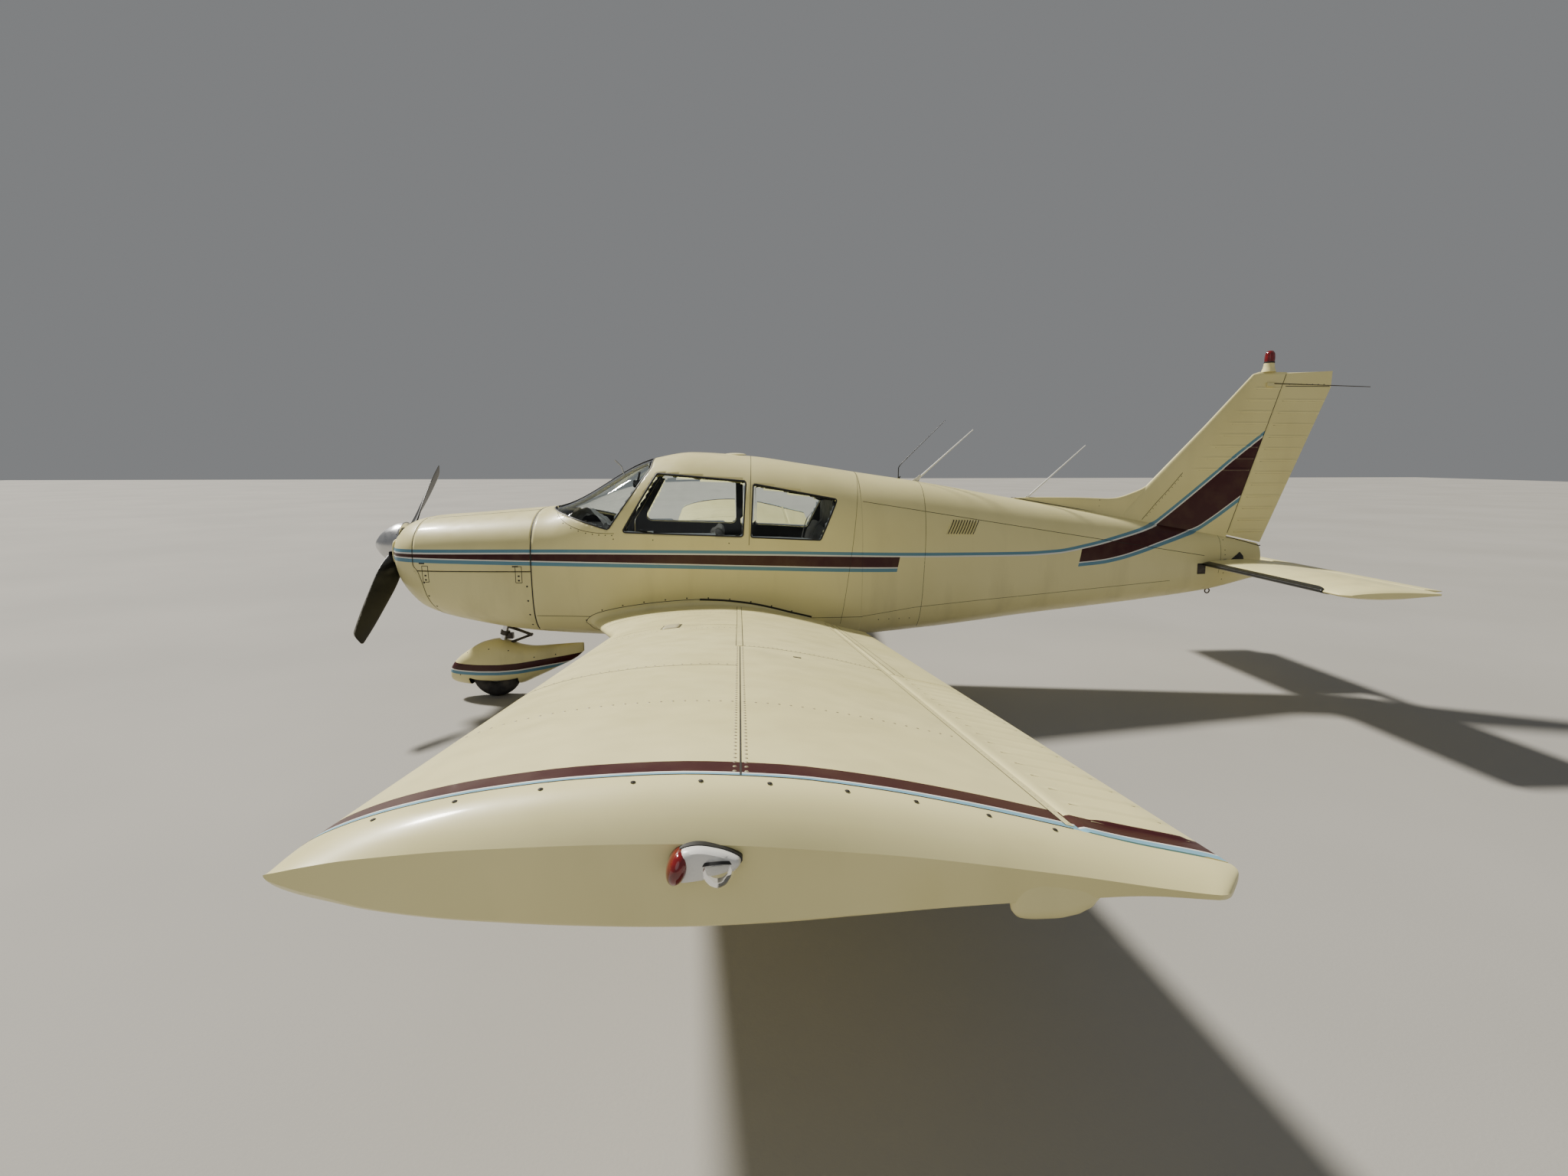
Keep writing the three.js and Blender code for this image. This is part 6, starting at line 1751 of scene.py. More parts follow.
        rows = [layer(y, size) for y, size in ((4.545, 1.0), (4.580, 1.0), (4.586, 0.95), (4.590, 0.85),
                                               (4.592, 0.6),
                                               (4.5925, 0.0))]
        Piece(f"tip_light_housing_{name}", Surface.grid(np.stack(rows), wrap=True), WHITE, "airframe",
              [f"wingtip_light_{name}"]).build()
        rows = [layer(y, size) for y, size in ((4.545, 1.05), (4.5722, 1.05), (4.5728, 1.0), (4.5729, 0.9))]
        Piece(f"tip_light_gasket_{name}", Surface.grid(np.stack(rows), wrap=True), SEAL, "airframe",
              closed=False).build()
        t, turn = np.linspace(0, np.pi / 2, 12)[:, None], np.linspace(0, 2 * np.pi, 40, endpoint=False)
        x, z = 0.017 * np.cos(t) * np.cos(turn), 0.027 * np.cos(t) * np.sin(turn)
        dome = np.stack([0.6393 + x + 0.22 * z, out * (4.578 + 0.026 * np.sin(t) + 0 * x), 1.1535 + z], -1)
        back = dome[:1] * (1, 0, 1) + (0, out * 4.555, 0)
        lens = RED_LENS if self.side is Side.LEFT else GREEN_LENS
        Piece(f"tip_light_front_{name}", Surface.grid(np.concatenate([back, dome]), wrap=True), lens, "airframe",
              closed=False).build()
        at, aim = (0.700, out * 4.574, 1.150), (0.05, out * 0.60, -0.80)
        cone = [[-0.012, 0.0290], [0.004, 0.0286], [0.016, 0.0235], [0.027, 0.0135], [0.032, 0.0]]
        Piece(f"tip_light_clear_{name}", lathe(rounded(cone), at, aim, 36), CLEAR_LENS, "airframe",
              closed=False).build()
        bowl = lathe([[0.002, 0.0240], [-0.004, 0.019], [-0.010, 0.010], [-0.012, 0.0]], at, aim, 30)
        Piece(f"tip_light_reflector_{name}", bowl, ALLOY, "airframe", closed=False).build()
        rim = lathe([[-0.004, 0.0290], [-0.004, 0.0310], [0.001, 0.0310], [0.001, 0.0290]], at, aim, 40)
        hole = domes(np.array([[0.672, out * 4.5905, 1.150]]), np.array([[0.0, out, 0.0]]), 0.0045, 0.0012)
        Piece(f"tip_light_rim_{name}", Surface.joined([rim, hole]), SEAL, "airframe", weld=1e-6).build()

    def details(self, name: str) -> None:
        """Seams, spar strip, rivet rows, fuel cap, tip screws and the jack pad."""
        side = self.side
        front = np.linspace(0.004, 0.452, 60)
        rear = np.linspace(0.460, 0.822, 50)
        seams = [
            WING.line(side, 2.715, rear, 0.0036), WING.line(side, 3.235, front, 0.0044),
            WING.line(side, 3.235, front[2:], 0.0026, over=False),
            WING.line(side, 2.715, rear, 0.0024, over=False),
            WING.line(side, 0.930, front, 0.0038), WING.line(side, 1.860, front[6:], 0.0024),
            WING.line(side, np.linspace(2.72, 4.46, 80), 0.458, 0.0036),
            WING.line(side, 4.4645, np.linspace(0.004, 0.820, 90), 0.0044),
            WING.line(side, 4.4645, np.linspace(0.004, 0.820, 90), 0.0024, over=False)]
        Piece(f"wing_seams_{name}", Surface.joined(seams), SEAM, "airframe").build()
        y = np.linspace(0.60, 2.715, 90)
        strips = [WING.line(side, y, 0.4565, 0.026, lift=0.0015)]
        strips.append(WING.line(side, np.linspace(0.70, 4.45, 120), 0.8205, 0.014, lift=0.0012))
        Piece(f"spar_strip_{name}", Surface.joined(strips), PAINT, "airframe").build()
        edge = [WING.line(side, y, 0.4565 + d, 0.0026, lift=0.0016) for d in (-0.0083, 0.0083)]
        edge.append(WING.line(side, np.linspace(0.70, 4.45, 120), 0.8158, 0.0020, lift=0.0006))
        Piece(f"spar_strip_edges_{name}", Surface.joined(edge), SEAM, "airframe").build()
        rows = [(np.full(44, 3.84), np.linspace(0.02, 0.815, 44)),
                (np.full(24, 2.02), np.linspace(0.05, 0.445, 24)),
                (np.full(18, 1.10), np.linspace(0.12, 0.445, 18)),
                (np.full(24, 3.215), np.linspace(0.02, 0.45, 24)),
                (np.linspace(2.75, 4.44, 62), np.full(62, 0.4515)),
                (np.linspace(2.75, 4.44, 62), np.full(62, 0.4645)),
                (np.linspace(0.70, 4.44, 124), np.full(124, 0.8215)),
                (np.full(30, 2.70), np.linspace(0.47, 0.81, 30))]
        heads = []
        for over in (True, False):
            for y, c in rows:
                heads.append(domes(WING.skin(side, y, c, over), WING.normal(side, y, c, over), 0.0046, 0.0015))
        Piece(f"wing_rivets_{name}", Surface.joined(heads), RIVET, "airframe", weld=1e-6).build()
        c = np.array([0.09, 0.17, 0.255, 0.348, 0.417, 0.488, 0.569, 0.642, 0.72, 0.792])
        y = np.full(len(c), 4.492)
        scale = 1 - 0.5 * ((y - 4.465) / 0.1045) ** 2.4
        at = WING.place(side, y, c * WING.chord, (WING.mean(c) + WING.half(c)) * scale + 0.001)
        Piece(f"tip_screws_{name}", domes(at, WING.normal(side, np.full(len(c), 4.3), c), 0.0050, 0.0014),
              SEAM, "airframe", weld=1e-6).build()
        # Thin dark strips beside the aileron's beads: painted shadow under each bead, with some grime.
        grooves = [WING.line(side, y + 0.008, np.linspace(0.866, 0.985, 8), 0.0050, lift=0.0010)
                   for y in np.arange(WING.flap_end + self.gap + 0.05, 4.43, self.bead_pitch)]
        Piece(f"aileron_grime_{name}", Surface.joined(grooves), BEAD_SHADOW_GRIME, f"{name}_aileron").build()
        self.fuel_cap(name)
        tag = WING.line(side, np.linspace(2.865, 2.885, 4), 0.594, 0.030, lift=0.0012)
        Piece(f"wing_vent_{name}", tag, SEAL, "airframe").build()
        pad = WING.skin(side, np.array(2.400), np.array(0.4), over=False)
        ring = lathe([[-0.012, 0.026], [0.018, 0.026], [0.024, 0.020], [0.024, 0.011], [0.014, 0.009],
                      [0.014, 0.0]],
                     pad, (0, 0, -1), 40)
        Piece(f"jack_pad_ring_{name}", ring, STEEL, "airframe", [f"jack_pad_{name}"], closed=False).build()

    def fuel_cap(self, name: str) -> None:
        """The fuel filler: a raised rectangular cover with round corners and its gap."""
        y, c = np.meshgrid(np.linspace(1.765, 1.945, 12), np.linspace(0.214, 0.268, 8), indexing="ij")
        edge = np.minimum.reduce([y - 1.765, 1.945 - y, (c - 0.214) * 1.6, (0.268 - c) * 1.6])
        lift = 0.0008 + 0.0055 * np.clip(edge / 0.010, 0, 1) ** 0.5
        points = WING.skin(self.side, y, c) + WING.normal(self.side, y, c) * lift[..., None]
        cover = Surface.grid(points, flip=self.side is Side.RIGHT)
        # The cover is darker than the wing all over: painted shade of the raised cover.
        Piece(f"fuel_cover_{name}", cover, COVER_SHADE, "airframe", closed=False, thick=0.004).build()
        lines = [WING.line(self.side, yy, np.linspace(0.212, 0.270, 12), 0.004) for yy in (1.762, 1.948)]
        lines += [WING.line(self.side, np.linspace(1.762, 1.948, 14), cc, 0.004) for cc in (0.212, 0.270)]
        Piece(f"fuel_cover_gap_{name}", Surface.joined(lines), SEAM, "airframe").build()

    def build(self) -> None:
        """Builds the whole wing."""
        name = self.side.word
        self.skin(name)
        self.root_fairing(name)
        self.moving(name)
        self.tip(name)
        self.light(name)
        self.details(name)
        if self.side is Side.RIGHT:
            y, c = np.meshgrid(np.linspace(0.64, 1.02, 30), np.linspace(0.20, 0.80, 60), indexing="ij")
            points = WING.skin(self.side, y, c) + WING.normal(self.side, y, c) * 0.0012
            Piece("wing_walkway", Surface.grid(points, flip=True), GRIP, "airframe", closed=False,
                  thick=0.001).build()
        else:
            self.pitot()

    def pitot(self) -> None:
        """The air speed mast under the left wing: a raked blade with two ports."""
        base = WING.skin(Side.LEFT, np.array(2.75), np.array(0.3), over=False)
        t = np.linspace(0, 2 * np.pi, 30, endpoint=False)
        section = np.stack([0.040 * np.cos(t) - 0.004 * np.cos(2 * t), 0.0075 * np.sin(t)], -1)
        drop = np.linspace(0.012, -0.108, 8)
        rows = np.stack([np.stack([base[0] + 0.040 + d * 0.12 + section[:, 0] * (1 + d * 0.9),
                                   base[1] + section[:, 1],
                                   np.full(30, base[2] + d)], -1) for d in drop])
        mast = Surface.grid(rows, wrap=True, caps=True)
        Piece("pitot_blade", mast, PAINT, "airframe", ["pitot_mast"]).build()
        at = base + np.array([[0.002, 0, -0.100], [0.004, 0, -0.088]])
        Piece("pitot_ports", domes(at, np.tile([-1.0, 0, 0], (2, 1)), 0.004, 0.001), SEAL, "airframe",
              weld=1e-6).build()


@dataclass
class Tail:
    """The fin with its low ridge, the rudder, the all-moving tailplane and what stands on the fin."""

    axis_low: tuple[float, float] = (4.499, 1.177)
    axis_high: tuple[float, float] = (4.859, 2.393)
    bead_height: float = 0.0050
    pivot_x: float = 4.440
    lead_z: tuple[float, ...] = (1.10, 2.006, 2.385)
    lead_x: tuple[float, ...] = (3.4065, 4.254, 4.592)
    half_widths: tuple[float, ...] = (0.056, 0.032, 0.020)
    plane_x: float = 4.250
    plane_z: float = 0.975
    plane_chord: float = 0.720
    plane_root: float = 0.150
    tab_at: float = 0.83
    ridge_top: tuple[tuple[float, float], ...] = (
        (2.755, 1.456), (2.800, 1.471), (3.000, 1.478), (3.263, 1.476), (3.366, 1.473), (3.469, 1.469),
        (3.538, 1.467),
        (3.593, 1.470), (3.647, 1.481), (3.728, 1.509), (3.794, 1.536), (3.840, 1.562), (3.899, 1.608),
        (3.962, 1.667),
        (4.025, 1.736), (4.081, 1.802), (4.115, 1.843))

    def hinge_x(self, z: Array) -> Array:
        """The rudder axis's place at a height."""
        (x0, z0), (x1, z1) = self.axis_low, self.axis_high
        return x0 + (np.asarray(z) - z0) * (x1 - x0) / (z1 - z0)

    def beads(self, z: Array, first: float, last: float, pitch: float) -> Array:
        """Narrow ridges at even heights: a high power of a cosine between the first and the last."""
        wave = np.maximum(np.cos((z - first) * 2 * np.pi / pitch), 0) ** 8
        return wave * (z > first - pitch / 2) * (z < last + pitch / 2)

    def fin(self) -> None:
        """The fin: a lens section at every height, cut square behind its rear spar."""
        levels = np.array([[1.10, 3.4065, 0.056], [2.006, 4.254, 0.032], [2.385, 4.592, 0.020],
                           [2.402, 4.640, 0.012]])
        z = np.concatenate([np.linspace(1.10, 2.37, 300), np.linspace(2.375, 2.402, 8)])
        lead, half = np.interp(z, levels[:, 0], levels[:, 1]), np.interp(z, levels[:, 0], levels[:, 2])
        u = (1 - np.cos(np.linspace(0, np.pi / 2, 26)))
        shape = smooth_table(np.sqrt(u), np.sqrt([0, 0.05, 0.16, 0.4, 0.7, 1]),
                             np.array([0, 0.50, 0.80, 1, 0.92, 0.72]))[:, 0]
        behind = self.hinge_x(z) - np.interp(z, [1.177, 2.393], [0.018, 0.013])
        x = lead[:, None] + (behind - lead)[:, None] * u
        ridge = self.beads(z, 1.684, 2.284, 0.0857)[:, None] * np.clip((u - 0.34) / 0.05, 0, 1) * np.clip(
            (0.97 - u) / 0.03, 0, 1)
        width = half[:, None] * shape + self.bead_height * ridge
        right = np.stack([x, width, np.broadcast_to(z[:, None], x.shape)], -1)
        left = right[:, ::-1] * (1, -1, 1)
        inner = right[:, -1:] + np.array([-0.030, 0, 0])
        inner[..., 1] *= 0.8
        grid = np.concatenate([left, right, inner, inner * (1, -1, 1)], 1)
        surface = Surface.grid(grid, wrap=True, caps=True)
        Piece("fin_skin", STRIPES.mark(surface), BODY_PAINT, "airframe", ["fin"], crease=50).build()
        self.ridge()

    @staticmethod
    def fin_side(spots: Array, above: bool) -> Array:
        """Half width of the fin's front, or of the ridge's foot, at places given as x and height."""
        if not above:
            return np.full(len(spots), 0.0215)
        return np.maximum(Tail.fin_width(spots), 0.016)

    @staticmethod
    def fin_width(spots: Array) -> Array:
        """Half width of the fin at places given as x and height."""
        lead = np.interp(spots[:, 1], Tail.lead_z, Tail.lead_x)
        back = np.interp(spots[:, 1], Tail.lead_z, [4.458, 4.727, 4.843])
        u = np.clip((spots[:, 0] - lead) / (back - lead), 0, 1)
        shape = smooth_table(np.sqrt(u), np.sqrt([0, 0.05, 0.16, 0.4, 0.7, 1]),
                             np.array([0, 0.50, 0.80, 1, 0.92, 0.72]))
        return np.interp(spots[:, 1], Tail.lead_z, Tail.half_widths) * shape[:, 0]

    def ridge(self) -> None:
        """The long low fairing ahead of the fin: a rounded blade that rises out of the tail cone."""
        table = np.array(self.ridge_top)
        x = np.linspace(2.755, 4.115, 130)
        top = smooth_table(x, table[:, 0], table[:, 1:])[:, 0]
        foot = BODY.rows(x)[0] - 0.02
        t = np.linspace(0, 1, 12)
        across = np.array([0.034, 0.025, 0.020, 0.0175, 0.0160, 0.0155, 0.0150, 0.0140, 0.0125, 0.0100, 0.0060,
                           0.0])
        nose = np.clip((x - 2.752) / 0.06, 0, 1) ** 0.5
        half = across[None] * nose[:, None]
        z = foot[:, None] + (top - foot)[:, None] * np.sin(t * np.pi / 2)[None]
        right = np.stack([np.broadcast_to(x[:, None], z.shape), half, z], -1)
        grid = np.concatenate([right, right[:, -2::-1] * (1, -1, 1)], 1)
        Piece("fin_ridge", STRIPES.mark(Surface.grid(grid)), BODY_PAINT, "airframe", crease=50).build()
        seam = evenly(np.array([[4.094, 1.658], [3.995, 1.536], [3.895, 1.423], [3.845, 1.360], [3.801, 1.307]]),
                      40)
        foot_line = np.stack([np.linspace(2.80, 3.80, 60), BODY.rows(np.linspace(2.80, 3.80, 60))[0] + 0.006], -1)
        strips, dots = [], []
        for side in Side:
            for row, wide in ((seam, 0.0030), (foot_line, 0.0040)):
                place = np.stack([row[:, 0], 0 * row[:, 0], row[:, 1]], -1)
                place[:, 1] = side.value * self.fin_side(row, wide < 0.0035)
                strips.append(ribbon(place, np.tile([0.0, side.value, 0.0], (len(row), 1)), wide, 0.0010))
            spots = np.vstack([[[3.475, 1.454], [3.473, 1.409], [3.477, 1.364]], seam[3:38:3] + (0.014, 0.0)])
            place = np.stack([spots[:, 0], 0 * spots[:, 0], spots[:, 1]], -1)
            place[:, 1] = side.value * np.where(spots[:, 0] < 3.5, 0.0158, self.fin_side(spots, True))
            dots.append(domes(place, np.tile([0.0, side.value, 0.0], (len(spots), 1)), 0.0036, 0.0016))
        Piece("fin_front_seams", Surface.joined(strips), SEAM, "airframe").build()
        Piece("fin_front_rivets", Surface.joined(dots), STEEL, "airframe", weld=1e-6).build()
        z = np.linspace(1.20, 2.385, 60)
        joint, fin_bead_shadows, loose = [], [], []
        for side in Side:
            half = np.interp(z, self.lead_z, self.half_widths) * 0.72 + 0.0004
            edge = np.stack([self.hinge_x(z) - np.interp(z, [1.177, 2.393], [0.0195, 0.0145]), side.value * half,
                             z], -1)
            joint.append(ribbon(edge, np.tile([0.0, side.value, 0.0], (60, 1)), 0.0042))
            # Thin dark strips just under the fin's beads: painted shadow under each bead, with some grime.
            for k in range(8):
                height = 1.684 + 0.0857 * k - 0.008
                lead, back = np.interp(height, self.lead_z, self.lead_x), self.hinge_x(height) - 0.03
                x = np.linspace(lead + 0.40 * (back - lead), back, 12)
                row = np.stack([x, np.full(12, height)], -1)
                place = np.insert(row, 1, side.value * (self.fin_width(row) + 0.0006), axis=1)
                fin_bead_shadows.append(ribbon(place, np.tile([0.0, side.value, 0.0], (12, 1)), 0.0036))
            # The same painted shadow strips, with some grime, under the rudder's beads.
            for k in range(12):
                height = 1.214 + 0.0894 * k - 0.008
                x = np.linspace(float(self.hinge_x(height)) + 0.03,
                                float(np.interp(height, [1.132, 2.294], [4.782, 5.213])) - 0.02, 12)
                share = (x - self.hinge_x(height)) / (np.interp(height, [1.132, 2.294],
                                                                [4.782, 5.213]) - self.hinge_x(height))
                half = np.interp(height, [1.19, 2.31], [0.038, 0.020]) * np.interp(share, [0, 0.55, 1],
                                                                                   [1, 0.5, 0.09])
                place = np.stack([x, side.value * (half + 0.0006), np.full(12, height)], -1)
                loose.append(ribbon(place, np.tile([0.0, side.value, 0.0], (12, 1)), 0.0036))
        Piece("fin_rear_joint", Surface.joined(joint), SEAM, "airframe").build()
        Piece("fin_bead_shadow_and_grime", STRIPES.mark(Surface.joined(fin_bead_shadows)), BEAD_SHADOW_GRIME, "airframe").build()
        Piece("rudder_bead_shadow_and_grime", Surface.joined(loose), BEAD_SHADOW_GRIME, "rudder").build()

    def rudder(self) -> None:
        """The rudder: a round nose about its axis and flat sides to a thin rear edge, with beads.

        Each level is a straight ring from the axis to the rear edge.
        """
        low = np.array([self.axis_low[0] + 0.0018, self.axis_low[1] + 0.0060])
        high = np.array(self.axis_high)
        s = np.concatenate([np.linspace(0, 0.918, 330), np.linspace(0.922, 1.0, 14)])
        at = low + (high - low) * s[:, None]
        ends = np.array([[0.0, 4.779, 1.123], [0.918, 5.213, 2.294], [1.0, 5.213, 2.4135]])
        end = np.stack([np.interp(s, ends[:, 0], ends[:, k]) for k in (1, 2)], -1)
        radius = np.interp(s, [0, 0.918, 1.0], [0.038, 0.020, 0.017])
        axis = unit(high - low)
        turn = np.linspace(np.pi / 2, 1.5 * np.pi, 13)
        forward = np.array([axis[1], -axis[0]])
        nose_xz = at[:, None] + forward * (radius[:, None] * np.cos(turn))[..., None]
        nose_y = radius[:, None] * np.sin(turn)
        share = np.linspace(0, 1, 14)[1:]
        aft = at[:, None] + (end - at)[:, None] * share[None, :, None]
        thin = smooth_table(share, np.array([0.0, 0.55, 1.0]), np.array([1.0, 0.5, 0.09]))[:, 0]
        bead = self.beads(aft[..., 1], 1.214, 2.215, 0.0894) * np.clip((share - 0.06) / 0.05, 0, 1) * np.clip(
            (0.97 - share) / 0.02, 0, 1)
        half = radius[:, None] * thin[None] + self.bead_height * bead
        left = np.stack([aft[..., 0], -half, aft[..., 1]], -1)
        right = np.stack([aft[..., 0], half, aft[..., 1]], -1)
        nose = np.stack([nose_xz[..., 0], nose_y, nose_xz[..., 1]], -1)
        grid = np.concatenate([nose, left, right[:, ::-1]], 1)
        Piece("rudder_skin", Surface.grid(grid, wrap=True, caps=True), PAINT, "rudder", ["rudder"],
              crease=60).build()
        s = np.linspace(0.03, 0.97, 24)
        top = at[330] + (end[330] - at[330]) * s[:, None]
        lines, heads = [], []
        for side in Side:
            half = np.interp(s, [0, 0.55, 1], [0.020, 0.0105, 0.0020]) + 0.0003
            path = np.stack([top[:, 0], side.value * half, top[:, 1]], -1)
            out = np.tile([0.0, side.value, 0.0], (24, 1))
            lines.append(ribbon(path, out, 0.0046))
            heads.append(domes((path + (0, 0, 0.014))[2:22:3], out[2:22:3], 0.0046, 0.0015))
        Piece("rudder_cap_seam", Surface.joined(lines), SEAM, "rudder").build()
        Piece("rudder_cap_screws", Surface.joined(heads), SEAM, "rudder", weld=1e-6).build()

    def plane_half(self, c: Array) -> Array:
        """Half thickness of the tailplane at a share of its chord."""
        return WING.half(c) / WING.chord * 0.66 * self.plane_chord

    def plane_ring(self, y: Array, scale: Array, shift: Array, c: Array, sign: Array) -> Array:
        """Rings of the tailplane: its own thin form of the wing's section, shrinking at the tips."""
        x = self.plane_x + shift[:, None] + c[None] * (self.plane_chord - shift[:, None])
        z = self.plane_z + (sign * self.plane_half(c))[None] * scale[:, None]
        return np.stack(np.broadcast_arrays(x, y[:, None], z), -1)

    def stabilator(self) -> None:
        """Both halves, their tube, the black leading edge boots and the tab."""
        edge = self.tab_at - 0.006
        spread = (1 - np.cos(np.linspace(0, np.pi / 2, 26))) * edge
        c = np.concatenate([spread[::-1], spread[1:]])
        sign = np.concatenate([np.ones(26), -np.ones(25)])
        y = np.concatenate([np.linspace(self.plane_root, 1.42, 50),
                            1.51 - 0.09 * np.cos(np.linspace(0, np.pi / 2, 12))[1:]])
        t = np.clip((y - 1.42) / 0.0898, 0, 1)
        scale, shift = np.sqrt(1 - 0.80 * t**2.5), 0.045 * t**3
        halves = []
        for side in Side:
            ring = self.plane_ring(y * side.value, scale, shift, c, sign)
            halves.append(Surface.grid(ring, wrap=True, caps=True, flip=side is Side.LEFT))
        cuff = tube([(self.pivot_x, -0.20, self.plane_z), (self.pivot_x, 0.20, self.plane_z)], 0.031, 32)
        Piece("stabilator_skin", Surface.joined(halves), PAINT, "stabilator", ["stabilator"], crease=45).build()
        Piece("stabilator_tube", cuff, STEEL, "stabilator").build()
        boots = []
        c = np.concatenate([np.linspace(0.20, 0, 16) ** 2 / 0.20, (np.linspace(0, 0.20, 16) ** 2 / 0.20)[1:]])
        sign = np.concatenate([np.ones(16), -np.ones(15)])
        y = np.linspace(0.152, 1.345, 60)
        for side in Side:
            keep = c * np.where(sign > 0, 0.30, 0.80)
            ring = self.plane_ring(y * side.value, np.ones(60), np.zeros(60), keep, sign)
            ends = np.sqrt(np.clip((1.350 - y) / 0.09, 0.02, 1))[:, None]
            ring[..., 0] = self.plane_x + (ring[..., 0] - self.plane_x) * ends
            ring[..., 2] = self.plane_z + sign * self.plane_half((ring[..., 0] - self.plane_x) / self.plane_chord)
            ring[..., 2] += sign * 0.0014
            ring[..., 0] -= 0.0012 * (keep < 0.01)[None]
            boots.append(Surface.grid(ring, flip=side is Side.RIGHT))
        Piece("stabilator_boots", Surface.joined(boots), BOOT, "stabilator", closed=False, thick=0.002).build()
        self.tab()

    def tab(self) -> None:
        """The full span tab: a round nose and flat sides to a thin edge."""
        x0 = self.plane_x + self.tab_at * self.plane_chord + 0.012
        radius = float(self.plane_half(np.array(self.tab_at)))
        turn = np.linspace(np.pi / 2, 1.5 * np.pi, 13)
        end = self.plane_x + self.plane_chord
        ring = np.concatenate([[[end, 0.0018], [(x0 + end) / 2, radius * 0.6]],
                               np.stack([x0 + radius * np.cos(turn), radius * np.sin(turn)], -1),
                               [[(x0 + end) / 2, -radius * 0.6], [end, -0.0018]]])
        y = np.linspace(-1.388, 1.388, 120)
        points = np.stack(np.broadcast_arrays(ring[None, :, 0], y[:, None], self.plane_z + ring[None, :, 1]), -1)
        Piece("tab_skin", Surface.grid(points, wrap=True, caps=True), PAINT, "stabilator_tab", ["stabilator_tab"],
              crease=50).build()

    def fittings(self) -> None:
        """The beacon in its cream foot, the navigation aerial and both whip aerials."""
        centre = np.array([4.712, 0, 2.4023])
        foot = lathe(rounded([[0.0, 0.049], [0.010, 0.046], [0.035, 0.038], [0.062, 0.035], [0.066, 0.033],
                              [0.066, 0.0]]), centre, (0, 0, 1), 48)
        Piece("beacon_foot", foot, PAINT, "airframe", ["beacon"], closed=False).build()
        ring = lathe([[0.064, 0.0], [0.064, 0.036], [0.074, 0.036], [0.075, 0.030], [0.075, 0.0]], centre,
                     (0, 0, 1), 48)
        Piece("beacon_ring", ring, PLASTIC, "airframe", closed=False).build()
        angle = np.linspace(0, 2 * np.pi, 72, endpoint=False)
        profile = rounded([[0.070, 0.034], [0.100, 0.0355], [0.135, 0.032], [0.152, 0.020], [0.157, 0.0]], 8)
        ribs = 1 + 0.02 * np.cos(angle * 12)
        points = np.stack(np.broadcast_arrays(
            centre[0] + profile[:, None, 1] * np.cos(angle) * ribs, profile[:, None, 1] * np.sin(angle) * ribs,
            centre[2] + profile[:, None, 0]), -1)
        Piece("beacon_lens", Surface.grid(points, wrap=True), RED_LENS, "airframe", closed=False).build()
        parts = [sweep(np.array([[4.690, 0, 2.3075], [4.745, 0, 2.3075]]), np.tile([0.0, 0, 1.0], (2, 1)),
                       np.array([[-0.04, -0.012], [0.04, -0.012], [0.036, 0.0], [0.03, 0.016], [-0.03, 0.016],
                                 [-0.036, 0.0]]))]
        Piece("nav_aerial_foot", Surface.joined(parts), PAINT, "airframe", ["nav_antenna"]).build()
        rods = []
        for side in Side:
            rod = evenly(np.array([[4.735, side.value * 0.020, 2.318], [5.190, side.value * 0.400, 2.262]]), 16)
            rods.append(tube(rod, np.linspace(0.0040, 0.0025, 16)))
        Piece("nav_aerial_rods", Surface.joined(rods), STEEL, "airframe").build()
        whips = (("front", 2.052, (2.480, 1.976), 0.023, WHITE), ("rear", 2.910, (3.343, 1.862), 0.015, WHITE),
                 ("middle", 1.924, (2.268, 2.043), 0.010, BLADE))
        for name, bx, (tx, tz), size, finish in whips:
            foot = np.array([bx, 0, float(BODY.rows(np.array(bx))[0]) - 0.006])
            if name == "rear":
                foot[2] = float(np.interp(bx, *np.array(self.ridge_top).T)) - 0.006
            lean = unit(np.array([tx, 0, tz]) - foot)
            seat = [[[-1.1, -0.25], [-1.1, 0.25], [1.5, 0.06], [1.5, -0.06]],
                    [[-0.9, -0.22], [-0.9, 0.22], [1.5, 0.06], [1.5, -0.06]],
                    [[0.6, -0.12], [0.6, 0.12], [1.9, 0.08], [1.9, -0.08]],
                    [[1.5, -0.08], [1.5, 0.08], [2.2, 0.06], [2.2, -0.06]]]
            rows = [np.insert(np.array(flat) * size, 2, h * size, axis=1) + foot for flat,
                    h in zip(seat, (0, 0.5, 1.4, 2.2))]
            Piece(f"whip_seat_{name}", Surface.grid(np.stack(rows), wrap=True, caps=True), finish,
                  "airframe").build()
            start = foot + lean * size * 0.6
            path = [start, (tx, 0, tz)] if name != "middle" else [start, foot + (0.004, 0, 0.094), (tx, 0, tz)]
            line = evenly(rounded(path, 8, 0.12), 30)
            Piece(f"whip_rod_{name}", tube(line,
                                           np.linspace(0.0070, 0.0034, 30) * (1 if finish is WHITE else 0.55)),
                                           finish, "airframe",
                  [f"whip_antenna_{name}"] if name != "middle" else []).build()

    def build(self) -> None:
        """Builds the tail."""
        self.fin()
        self.rudder()
        self.stabilator()
        self.fittings()


